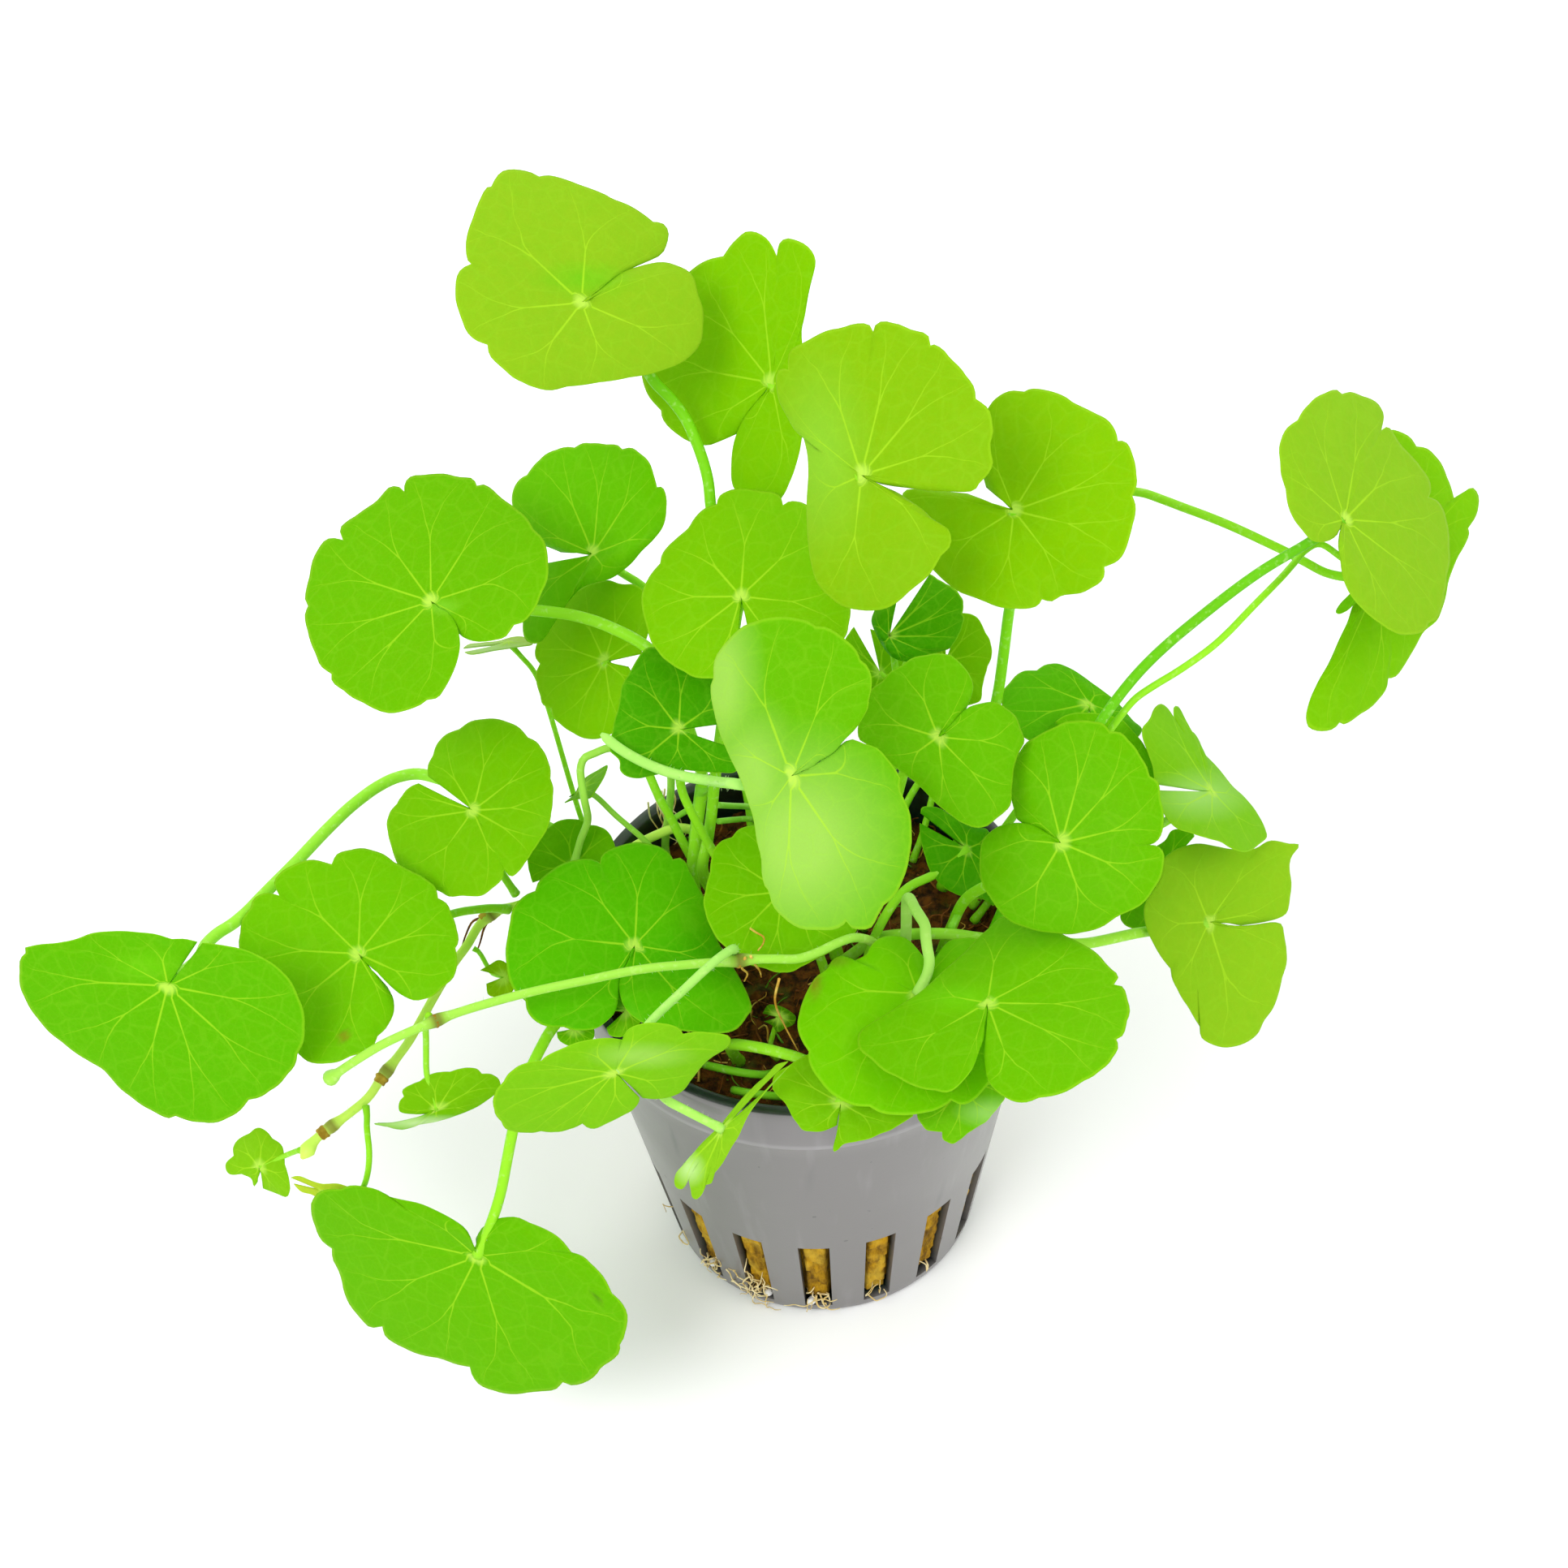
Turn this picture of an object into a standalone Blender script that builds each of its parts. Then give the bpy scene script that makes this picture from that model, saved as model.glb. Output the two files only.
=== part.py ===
"""Brazilian pennywort growing in a slotted aquarium net pot. Built in metres; the numbers below are millimetres."""
import math

import bpy
import numpy as np
from mathutils.bvhtree import BVHTree

# Outlines: window (origin and scale of the view), hub, then the points from one side of the sinus round to the other. n marks a notch, square brackets a guessed stretch.
WINDOWS = {'003':(360,520,3.136),'004':(620,720,3.015),'005':(1040,700,2.613),'006':(0,860,2.24),'007':(260,1240,2.8),'009':(560,960,3.015),'010':(940,1060,3.015),'012':(780,1330,5.058),'002':(1340,440,3.015),'p':(0,0,1.0)}
TRACES = {}
TRACES['L01']=('p',(716,374),"754,345 785,326 800,320 816,312 823,296 823,284 816,275 805,273n 797,267 773,252 751,243 746,240n 724,231 702,223 675,216 664,217n 653,212 629,209 617,212 609,221 605,230n 600,231 591,247 584,263 577,284 574,302 576,321 580,325n 572,329 565,336 561,351 561,367 565,382 574,407 586,419 600,425n 603,437 617,452 632,465 644,471n 656,477 678,481 698,477n 736,472 773,466 812,458 846,443 858,431 865,416 866,382 861,364n 852,338 834,327 816,323 785,329 767,336 739,358")
TRACES['L02']=('p',(952,472),"907,535 886,544 871,549 843,541 825,527 816,515 814,506n 800,489 794,477 791,465 [800,430 815,390 835,355] 852,332 871,321 891,315n 907,295 918,286 935,287 944,293 953,306 957,315n 961,299 969,294 981,296 993,301 1002,312 1005,324 1001,342 996,364 992,388 988,407 [990,440 995,480 992,515] 988,541 986,555n 982,569 975,590 964,612 [950,624 923,621] 904,601 901,572 904,547 910,529 920,511 935,492")
TRACES['L03']=('p',(1062,586),"1086,596 1103,599 1120,601 1141,604 1162,605 1189,606 1201,604 1207,596n 1220,580 1224,567 1222,560n 1220,546 1224,532 1222,515 1217,503 1203,491n 1200,477 1189,460 1176,446 1162,431 1151,424 1147,425n 1146,417 1138,410 1120,405 1103,398 1088,396 1079,400 1076,408n 1071,400 1055,399 1038,403 1021,407 1003,415 986,424 974,432 971,443 971,455n 962,454 957,460 956,474 960,494 969,512 981,532 990,539n 995,560 996,580 995,601 994,622 994,646 996,670 1000,698 1007,718 1021,735 1036,746 1055,751 1076,753 1093,749 1107,741 1120,730n 1129,722 1145,708 1160,685n 1170,675 1172,667 1169,653 1158,646 1148,639 1138,629 1120,617 1107,608 1089,601")
TRACES['L04']=('p',(1250,630),"[1215,600 1205,560 1208,525] 1219,500 1227,491 1244,482 1262,482n 1270,479 1289,481 1310,487 1322,496n 1330,500 1348,508 1365,518 1375,532 1378,543n 1386,544 1394,555 1399,574 1401,594 1396,611n 1399,622 1398,639 1392,660 1386,680 1377,691 1361,699n 1361,708 1355,718 1334,730 1324,732 1306,735 1296,741 1284,739n 1279,746 1265,750 1244,750 1224,746 1203,737 1184,731n 1169,720 1151,704 [1134,680 1120,653 1112,629] 1114,605 1140,604 1190,608")
TRACES['L05']=('p',(732,683),"[690,680 650,660] 631,622 633,603 641,590 649,585n 666,565 682,555 698,551 708,551n 720,546 743,547 762,549 767,553n 778,552 791,560 802,573 806,587 810,600n 816,600 821,613 821,632 816,651 806,664 791,679 778,694 765,705 752,713 733,718 717,724 701,740 688,756 679,772 666,791 657,793 647,788 [645,760 655,720 670,695]")
TRACES['L06']=('p',(532,742),"560,768 567,782 583,790 602,790 622,785 630,775 634,770n 644,767 657,753 663,743 668,729n 674,715 676,699 674,679 669,664 658,652n 647,636 634,625 622,617 609,605 596,597 588,598n 583,590 567,588 551,584 539,584 519,585 507,587 499,595 498,605n 492,600 481,600 472,608 462,619 446,630 427,643 419,652 422,665n 411,663 402,665 392,676 386,689 382,705 378,724 376,740 379,747n 376,756 378,775 384,794 389,807 395,820 408,831n 409,839 424,852 437,861 453,869 468,877n 481,879 504,874 523,866 526,863n 539,860 548,848 558,829 564,813 567,794 564,775 558,762 548,751")
TRACES['L07']=('p',(913,736),"[925,790 960,815 1000,815] 1041,785 1046,770 1048,753 [1043,720 1033,680 1013,640] 992,621 981,618 972,618 965,622n 962,613 953,607 938,605 923,603 907,602 895,606 886,612 883,621n 868,627 855,639 848,651 829,667 816,683 813,694n 800,711 792,727 791,750 797,772 799,783n 806,797 822,815 843,828n 852,833 865,836 877,836 [895,830 908,800]")
TRACES['L08']=('p',(746,815),"[790,806 800,775 800,745] 791,726 781,720 768,720 749,715 733,718 717,724 701,737 679,772 661,794 660,810 665,818n 660,833 665,855 669,868 679,873n 682,884 695,896 711,906 727,911 [752,905 775,880 788,850 775,822]")
TRACES['L09']=('p',(836,899),"[905,890 900,862 885,838 850,815 820,800] 799,798 789,806 779,823 766,846 763,866 756,892 752,915 751,926n 763,937 764,949 773,957 786,959 802,956 839,949 865,951 885,952 908,950 [912,925]")
TRACES['L10']=('p',(975,957),"998,947 1011,936 1028,926 1041,911 1055,897 1064,883 1070,871 1071,861n 1074,846 1073,830 1066,816 1060,813n 1056,803 1045,790 1031,780 1018,773 1005,771n 998,766 985,763 965,760 945,761 929,767n 919,770 905,780 892,795 882,810 879,823 879,834n 876,843 877,863 882,886 889,909 899,932 912,959 920,982 929,1012 933,1038 938,1058 939,1078 942,1092n 947,1098 952,1115 962,1128 978,1140 995,1146 1011,1146 1028,1145 1038,1141 1043,1136n 1048,1143 1061,1145 1073,1143 1081,1131 1089,1115n 1098,1108 1108,1095 1116,1075 1121,1052 1124,1038n 1123,1019 1121,1002 1114,985 1109,972 1110,959n 1104,949 1094,936 1081,922 1064,916 1048,911 1025,929 1011,939 998,946")
TRACES['L11']=('p',(1155,909),"1166,899 1182,884 1193,868 1199,845 1195,832 1185,819 1172,807n 1155,805 1140,807 1124,811 1109,821 1097,828 1086,840 1074,849 1069,861 1061,880 1057,895 1059,911 1069,918 1082,930 1097,941 1113,953 1128,964 1143,979 1159,995 1174,1006 1185,1014 1205,1020 1217,1018n 1228,1008 1239,1000 1245,991 1247,968 1249,949 1254,930 1262,914 1258,899 1252,884 1239,872 1224,865 1208,867 1193,872 1182,882 1170,895")
TRACES['L12']=('p',(1095,785),"1146,707 1158,715 1172,723 1182,732 1187,742 1186,756n 1188,761 1184,777 1177,790 1170,799 1158,803 [1130,815 1100,810] 1076,773 1074,763 [1085,740 1110,715]")
TRACES['L13']=('p',(1085,830),"1052,772 1041,789 1035,815 1045,850 1080,868 1110,855 1115,825 1105,795 1086,780 1072,775")
TRACES['L14']=('p',(1165,815),"1186,755 1200,758 1208,766 1213,777 1220,790 1222,808 1217,821n 1212,839 1210,850 1208,863 1180,870 1140,860 1125,820 1135,780 1165,760")
TRACES['L15']=('p',(1342,868),"[1322,934] 1262,909 1245,890 1234,865 1235,853 1245,840 1258,828 1277,826n 1289,819 1304,818 1323,826 1346,842 1369,859 1381,870 1396,888 1407,899 [1380,928 1352,934]")
TRACES['L16']=('p',(1350,960),"1300,889 1316,880 1339,878 1365,881 1384,888 1394,899 1407,914 1419,937 1428,976 1415,1020 1370,1045 1320,1040 1285,1000 1280,940")
TRACES['L17']=('p',(1308,1039),"1293,1025 1273,1018 1254,1010 1249,995 1245,979 1243,964 1244,949n 1254,930 1264,916 1277,907 1293,899 1300,895n 1316,889 1339,888 1358,891 1368,901n 1381,903 1396,918 1411,941 1417,956n 1427,964 1430,983 1434,1006 1432,1025 1425,1037 1417,1041n 1427,1043 1434,1052 1432,1075 1423,1094 1411,1110 1400,1119 1377,1129 1362,1140 1339,1148 1316,1151 [1270,1145] 1239,1131 1220,1106 1214,1098n 1208,1079 1207,1060 1208,1044 1210,1037n 1216,1029 1231,1018 1251,1014 1270,1016 1289,1025")
TRACES['L18']=('p',(1492,976),"[1423,966 1420,945] 1407,899 1415,888 1423,872 1430,867 1438,872 1446,884n 1447,870 1451,870 1459,884 1465,899n 1471,903 1478,914 1481,926 1488,933 1503,949 1518,968 1534,983 1549,1002 1559,1022 1561,1031 1553,1039 1541,1048 1530,1050 1515,1044 1503,1037 1488,1033 1469,1027 1453,1022 1442,1014 [1434,1002 1426,984 1423,974]")
TRACES['L19']=('p',(1488,1136),"1530,1140 1557,1136 1576,1131 1585,1125 1589,1110 1591,1090 1589,1071 1591,1056 1601,1041 1587,1039 1564,1036 1545,1046 1518,1046 1499,1043 1476,1039 1465,1041 1446,1048 1434,1058 1432,1075 1423,1094 1411,1113 1409,1125 1413,1144 1419,1159 1430,1178 1442,1194n 1444,1205 1453,1224 1465,1243 1478,1265n 1480,1278 1492,1286 1511,1291 1530,1287 1549,1274 1557,1259 1568,1243 1576,1221 1580,1205n 1585,1186 1585,1167n 1582,1152 1578,1138 1549,1140 1522,1144")
TRACES['L20']=('p',(1191,1046),"1134,1002 1136,995 1155,995 [1174,1006 1205,1020 1216,1022 1225,1050 1226,1090] 1224,1117 1220,1113 1205,1106 1185,1104 1170,1098 1159,1090 1147,1075 1140,1056 1134,1033 1133,1014")
TRACES['L21']=('p',(1217,1237),"1212,1279 1205,1299 1199,1315 1189,1329 1176,1342 1166,1346 1152,1344n 1139,1342 1119,1335 1104,1327n 1089,1319 1073,1305 1061,1296 1057,1286 1059,1272 1073,1261 1093,1249 1113,1236 1132,1224 1152,1206 1172,1188 1192,1170 1205,1156 1219,1143 1232,1131 1249,1127 1265,1128 1282,1131 1295,1140 1302,1146n 1312,1153 1328,1160 1345,1170 1358,1181 1368,1193 1378,1203 1373,1213n 1383,1216 1389,1229 1392,1246 1389,1259 1383,1276 1376,1281n 1378,1289 1371,1304 1361,1315 1348,1325 1336,1332n 1315,1344 1298,1350 1280,1353n 1265,1358 1249,1357 1235,1350 1225,1342 1217,1329 1214,1312 1213,1292")
TRACES['L22']=('p',(1131,1225),"1140,1199 1139,1183 1129,1168 1116,1156 1099,1153 1083,1156 1073,1166 1068,1176 1053,1183n 1036,1178 1025,1184 1020,1193 1006,1203 996,1219 985,1246 983,1266 988,1282 996,1296n 996,1305 1003,1322 1016,1339 1033,1354 1053,1362 1071,1364n 1083,1370 1103,1374 1126,1373 1149,1369 1169,1359 1172,1356n 1185,1361 1202,1354 1215,1339 [1235,1310 1245,1270 1240,1220] 1205,1158 1185,1156 1169,1160 1156,1176 1146,1193 1136,1213")
TRACES['L23']=('010',(290,905),"275,985 245,998 220,1007 185,1008 150,1003 125,975 105,945 85,905 60,880 35,850n 42,800 100,760 140,735 165,722 [250,700 350,720 450,800 520,880] 560,950n 520,975 480,1000 440,1015 400,1033 350,1045 300,1055 280,1075 262,1083 275,1020 285,960")
TRACES['L25']=('010',(740,840),"[620,830] 572,945 585,975 610,1003 640,1007 665,1010n 668,1035 680,1045 705,1053 730,1040 760,1015n 790,995 830,970 860,935 885,905n 900,880 [900,830 870,780 800,750 700,750 650,780]")
TRACES['L26']=('009',(1215,420),"[1330,330 1260,230 1180,180] 1105,172 1060,185 1030,215n 985,235 960,270 948,350n 935,400 925,455 932,500 955,560n 985,605 1030,640 1090,690n 1140,700 1200,718 1250,716 1285,700n 1340,670 1400,640 1440,612 1485,580n 1500,545 [1490,480 1440,400 1390,370]")
TRACES['L27']=('009',(670,620),"640,690 618,730 612,775 622,825 645,865 685,898 [760,925] 850,935 900,942 960,946 1010,943 1045,930 1075,900 1090,880n 1105,858 1098,825 1080,780 1055,730 1030,692 1000,640 985,612 965,572 948,525 938,480n 925,435 905,395 880,350 858,308 835,292 812,297n 800,278 770,256 730,241 680,235 620,245 580,260 548,283 541,312n 515,299 460,298 400,315 350,345 312,383 298,415n 270,427 240,452 215,487 205,530 197,590 190,640 193,700 205,750 228,792 262,826n 266,852 283,882 312,906 350,920 405,922n 430,931 480,933 530,925 562,902 592,872 606,822 600,762 610,720 632,682")
TRACES['L28']=('009',(640,860),"565,925 575,950 600,958 630,955 665,930 700,890 710,850 680,800 630,780 580,800 560,860")
TRACES['L29']=('009',(440,330),"290,385 275,330 272,290 285,245 300,215 322,188n 350,182n 380,158 440,148 488,160 500,170n 535,175 570,195 592,232n 600,270 [590,340 550,420 470,470 380,460 320,420]")
TRACES['L30']=('006',(1308,312),"1180,215 1182,185 1195,158n 1205,130 1225,105 1268,85n 1300,65 1345,57 1390,62 1430,80 1458,108n 1485,125 1505,155 1518,190 1520,222n 1527,250 1525,290 1520,330 1510,365n 1490,395 1470,425 1450,455n 1435,475 1410,493 1392,475n 1385,500 1360,525 1330,545 1290,548n 1275,546 1240,548 1215,535 [1150,515 1110,480] 1090,440 1078,405n 1068,350 1075,318 1095,292n 1108,272 1128,248 1155,235")
TRACES['L31']=('006',(990,708),"1070,800 1085,830 1087,865 1070,905 1042,935n 1030,960 1000,980 965,990n 930,1005 890,1010 850,1003 825,985n [760,900 700,800] 660,685 662,650 670,610 690,580n 700,555 735,538 770,545n 757,510 775,482 810,460 860,447 915,458n 930,432 970,418 1010,416 1055,430 1088,452n 1110,465 1160,490 1200,520 1210,552n 1235,570 1250,605 1262,640 1265,675 1258,690n 1262,730 1250,775 1222,797n 1195,822 1170,832 1145,835 1110,820 1085,800")
TRACES['L32']=('006',(465,793),"560,675 600,680 650,688n 690,700 740,725 790,765 815,805 835,855 842,900 838,945 822,985n 815,1010 790,1045 760,1075 720,1100 688,1110n 660,1140 630,1160 590,1172 540,1170 485,1155n 470,1160 430,1145 380,1115 335,1080 310,1055n 285,1025 240,1000 190,965 140,925 105,888n 80,850 60,810 53,765 57,720 75,697 68,688n 110,680 160,675 200,668 250,650 310,643 370,645 430,652 475,665n 510,665 545,672")
TRACES['L33']=('007',(920,860),"915,800 935,765 970,740 1010,728 1055,727 1098,745n 1130,758 1175,780 1210,805 1243,848n 1280,860 1320,895 1355,935 1385,990n 1415,1020 1435,1060 1435,1105 1425,1145 1410,1168n 1410,1190 1390,1215 1350,1245 1325,1275 1280,1300 1240,1307 1215,1298n 1190,1320 1140,1327 1045,1337 980,1328 925,1303 900,1270 893,1245n 850,1235 800,1218 740,1205 690,1190 640,1165 600,1135 590,1105n 550,1107 520,1080 485,1040 460,985 440,910 420,870 415,835n 385,810 360,765 348,720 345,680n 355,655 385,635 440,630n 480,618 530,622 580,635 610,655n 660,667 720,680 780,705 840,738 875,765 893,795 905,830")
TRACES['L34']=('007',(172,552),"180,628 225,645 262,657 272,635 268,590 255,545n 252,510 243,478 212,455n 190,430 160,418 133,437n 95,458 77,485 78,515n 50,545 62,578 105,578n 140,595 148,622 160,605")
TRACES['L35']=('007',(778,352),"740,370 700,371 650,361 650,330 665,310n 660,290 690,270 720,258n 745,240 780,228 825,225n 870,213 915,215 935,232n 970,235 995,255 1000,280 985,300n 920,345 850,375 775,398 700,410 640,418 560,405 620,403 700,387 750,374")
TRACES['L36']=('009',(595,1085),"700,1185 750,1188 810,1178 850,1155 885,1110 920,1065 960,1030 1015,995 1028,972 1020,955 985,946 940,940 890,940 850,946n 840,930 800,912 740,905 680,912 640,935 625,968n 580,962 520,965 450,980 390,1005 340,1030 320,1047n 275,1052 240,1065 205,1090 180,1125n 150,1165 143,1205 150,1240 172,1272n 190,1298 230,1310 290,1313 320,1308n 380,1311 440,1296 475,1280n 490,1292 520,1298 580,1272 620,1252 660,1230 685,1200 688,1183")
TRACES['L37']=('012',(560,310),"984,-93 884,8 800,110 740,190 700,260 660,350 610,430 560,520 500,600 490,645 450,660n 430,715 395,748 370,735 358,680 345,610n 305,685 270,675 258,640 265,590 300,545 350,495 400,430 470,360 545,285 610,205 700,105 790,10 867,-43 884,-85 968,-115")
TRACES['L38']=('009',(185,735),"95,710 130,690 165,672 200,690 225,740 215,790 190,802 155,810 125,800 118,760")
TRACES['L39']=('002',(952,605),"925,660 905,678 865,688 830,680 800,645 765,600 745,550 735,490n 718,430 715,390 712,340 720,300 740,265 780,232n 800,200 830,165 875,135 925,122 945,135n 975,130 1010,140 1050,155 1085,180 1100,215 1092,270n 1115,258 1130,275 1160,320 1200,365 1240,410 1270,460 1275,500 1268,520n 1300,535 1325,575 1340,640 1345,700 1345,760 1335,815n 1330,860 1315,930 1300,970 1268,990n 1255,1015 1210,1030 1170,1032 1120,1012 1060,970 1010,925 975,880 950,825 940,760 932,700 937,655")
TRACES['L40']=('002',(1090,800),"1000,900 985,925 965,985 930,1060 890,1150 850,1220 820,1290 812,1340 825,1380 860,1390 915,1380 935,1360n 950,1365 1010,1330 1070,1285 1110,1230 1117,1195n 1140,1190 1180,1140 1215,1080 1250,1020 1300,975 1325,910 1345,820 1370,755 1400,700 1418,655 1415,635n 1440,595 1452,560 1450,510 1430,483 1400,500 1362,522n 1330,430 1300,375 1260,340 1222,330n 1200,300 1165,280 1130,268 [1060,300 1000,400 960,520 950,650 960,760]")
TRACES['L41']=('002',(1050,830),"1000,905 960,945 928,955 922,945 950,905 985,880 [1000,800 1040,740 1110,740 1150,800 1150,870 1110,930 1050,950]")
TRACES['L42']=('004',(290,765),"228,812 262,800 290,797 325,793 342,770 372,722 385,690 388,672 350,692 315,712 300,725 283,745 268,775 245,790")
TRACES['L43']=('003',(838,855),"660,875 680,860 740,855 800,846 850,832 890,830 925,845 930,858 880,868 830,876 770,885 720,895 685,898 665,890")
TRACES['L44']=('007',(400,640),"275,590 300,585 340,600 380,612 440,612 500,640 520,680 480,710 420,700 350,650 310,638 285,612")
TRACES['L45']=('009',(445,930),"380,940 385,965 410,985 440,993 480,985 515,965 520,935 500,900 450,880 400,895")
TRACES['L46']=('p',(1432,1075),"1472,1030 1468,1024 1455,1021 1443,1024 1436,1035 1400,1060 1385,1100 1381,1133 1388,1141 1400,1145 1415,1142 1450,1120 1470,1080")
TRACES['L47']=('009',(1205,885),"1145,870 1165,840 1195,840 1225,850 1250,865 1268,885 1260,910 1230,925 1200,940 1180,915 1150,900")

# Leaves: hub height, tilt, azimuth of the face, cup, wave, bends (direction, amount), lifted lobe, stalk (root, radius, points it passes).
LEAVES = {}
LEAVES['L01']=(104,27,130,.05,.020,[(300,.10)],1,((-5,7),.60,"876,625 872,590 860,550 838,505 803,466"))
LEAVES['L02']=(92,46,225,.04,.030,[(0,.25)],1,((1,9),.50,""))
LEAVES['L03']=(100,40,215,.04,.022,[(180,.35)],-1,((5,6),.60,""))
LEAVES['L04']=(90,30,235,.05,.035,[],1,((12,5),.58,"1228,862 1236,810 1243,755"))
LEAVES['L05']=(76,39,235,.10,.030,[],1,((-9,8),.48,"795,725 768,707"))
LEAVES['L06']=(84,21,240,.03,.015,[],1,((-8,-2),.62,"853,1072 857,1035 861,1000 866,965 [862,900 838,835] 799,798 779,786 752,773 719,761 686,755 658,752"))
LEAVES['L07']=(84,15,210,.05,.018,[],1,((-5,0),.60,"866,1075 872,1035 877,1000 880,968"))
LEAVES['L08']=(66,36,235,.05,.030,[],1,((-11,2),.48,"840,1035 825,1005 812,982 801,957"))
LEAVES['L09']=(74,28,150,.08,.030,[],1,((-8,3),.48,"849,995 839,969"))
LEAVES['L10']=(90,35,190,.02,.015,[(180,.40)],-1,((0,-4),.62,""))
LEAVES['L11']=(74,30,140,.08,.025,[],1,((9,0),.52,""))
LEAVES['L12']=(62,24,200,.10,.04,[],1,((7,11),.40,""))
LEAVES['L13']=(54,28,190,.08,.04,[],1,((9,9),.36,""))
LEAVES['L14']=(54,38,190,.08,.03,[],1,((13,9),.40,""))
LEAVES['L15']=(62,20,120,.06,.03,[(350,.35)],1,((15,5),.45,""))
LEAVES['L16']=(61,35,165,.06,.02,[],1,((16,1),.45,""))
LEAVES['L17']=(66,36,205,.06,.022,[],1,((11,-5),.58,"1172,1143 1192,1106"))
LEAVES['L18']=(58,44,95,.06,.05,[],1,((17,-3),.48,""))
LEAVES['L19']=(46,48,140,.05,.03,[],1,((4,-3),.60,"1083,1156 1126,1151 1172,1151 1210,1156 [1270,1164] 1331,1163 1411,1148"))
LEAVES['L20']=(52,34,130,.08,.02,[],1,((8,-4),.50,"1083,1143 1116,1096 1152,1077"))
LEAVES['L21']=(68,14,300,.03,.020,[(215,.22)],-1,((12,-11),.60,""))
LEAVES['L22']=(58,8,200,.05,.020,[],1,((6,-8),.58,"1119,1106 1131,1126 1139,1137 1141,1160 1145,1190"))
LEAVES['L23']=(54,24,190,.02,.03,[],1,((-11,-11),.58,"902,1287 941,1292 965,1298 988,1305"))
LEAVES['L25']=(53,42,170,.02,.03,[(20,.3)],1,((14,-8),.45,""))
LEAVES['L26']=(60,24,140,.06,.018,[],1,((1,-9),.50,""))
LEAVES['L27']=(56,16,160,.06,.020,[],-1,((-10,-7),.58,""))
LEAVES['L28']=(52,20,190,.06,.02,[],1,((-14,-5),.30,""))
LEAVES['L29']=(53,22,190,.08,.03,[],1,((-12,10),.42,"749,922 729,930 717,937 716,959 720,985 724,1012"))
LEAVES['L30']=(63,30,235,.06,.040,[],1,('C5',.42,""))
LEAVES['L31']=(58,18,200,.05,.020,[],1,('C5',.45,"585,1121 558,1126"))
LEAVES['L32']=(62,63,200,.03,.018,[],-1,((-15,5),.66,"525,955 500,955 473,965 437,990 402,1023 366,1061 330,1097 295,1132 257,1159"))
LEAVES['L33']=(27,72,201,.04,.020,[(200,.12)],1,((-15,-3),.58,"680,1268 667,1290 658,1308 [645,1350] 631,1397 624,1433 617,1469 608,1499"))
LEAVES['L34']=(34,60,216,.06,.05,[],1,('C17',.30,"351,1424"))
LEAVES['L35']=(43,82,176,.05,.03,[],1,('A11',.32,"525,1285 525,1300 526,1324"))
LEAVES['L36']=(62,80,169,.04,.05,[],1,('A4',.44,"880,1185 840,1222 799,1262"))
LEAVES['L37']=(51,48,215,.0,.0,[(120,.5)],1,((-16,-8),.48,"[795,1335] 819,1353 845,1368"))
LEAVES['L38']=(47,35,170,.05,.05,[],1,('C7',.25,""))
LEAVES['L39']=(78,43,112,.04,.020,[],1,((14,-1),.55,"[1338,915] 1384,851 1423,808 1489,752 1552,705 1615,667"))
LEAVES['L40']=(72,38,130,.04,.03,[(330,.2)],1,((9,13),.50,"[1205,640 1262,590 1330,588] 1400,606 1449,622 1512,646 1585,680 1648,710"))
LEAVES['L41']=(72,45,240,.05,.03,[],1,((18,3),.38,"[1356,915] 1402,858 1439,835 1496,795 1546,745 1585,705 1605,682 1622,669"))
LEAVES['L42']=(60,39,300,.0,.05,[],1,((-13,7),.32,"796,1037 786,1028 759,1005 731,979"))
LEAVES['L43']=(64,36,350,.0,.03,[],1,((-14,0),.30,"660,831 645,812"))
LEAVES['L44']=(27,75,215,.0,.03,[],1,('C13',.32,"452,1390 455,1422 452,1450 [449,1474 434,1482]"))
LEAVES['L45']=(50.5,15,180,.0,.03,[],1,((-17,-3),.28,""))
LEAVES['L46']=(42,40,190,.05,.03,[],1,((18,1),.40,""))
LEAVES['L47']=(49,20,170,.05,.05,[],1,((-4,-14),.28,""))
RUNNERS = {}
RUNNERS['A']=((9,-10),.46,"1050,1183,55 1024,1181,58 985,1181,60 935,1181,61.5 912,1184,62 878,1186,62 842,1189,62 792,1194,61.5 726,1207,60.5 643,1225,58 560,1249,54.5 522,1264,52.5 473,1286,50 429,1313,47.5 402,1332,46")
RUNNERS['C']=((-13,12),.50,"850,1020,50 832,1028,50.5 792,1037,51 740,1070,50 690,1095,49 634,1117,48 600,1128,47.5 580,1159,46 567,1175,45.5 531,1235,43 520,1255,42 500,1289,40.5 473,1324,39 453,1353,38 429,1373,37 393,1400,36 378,1417,35.5 371,1430,35 372,1441,34")
RUNNERS['S']=((-2,4),.55,"973,1012,57 957,985,63.5 935,972,67.5 908,966,70 869,961,71.3 832,954,72.5 799,942,74 769,926,75.5 746,909,77 730,894,78")

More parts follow.
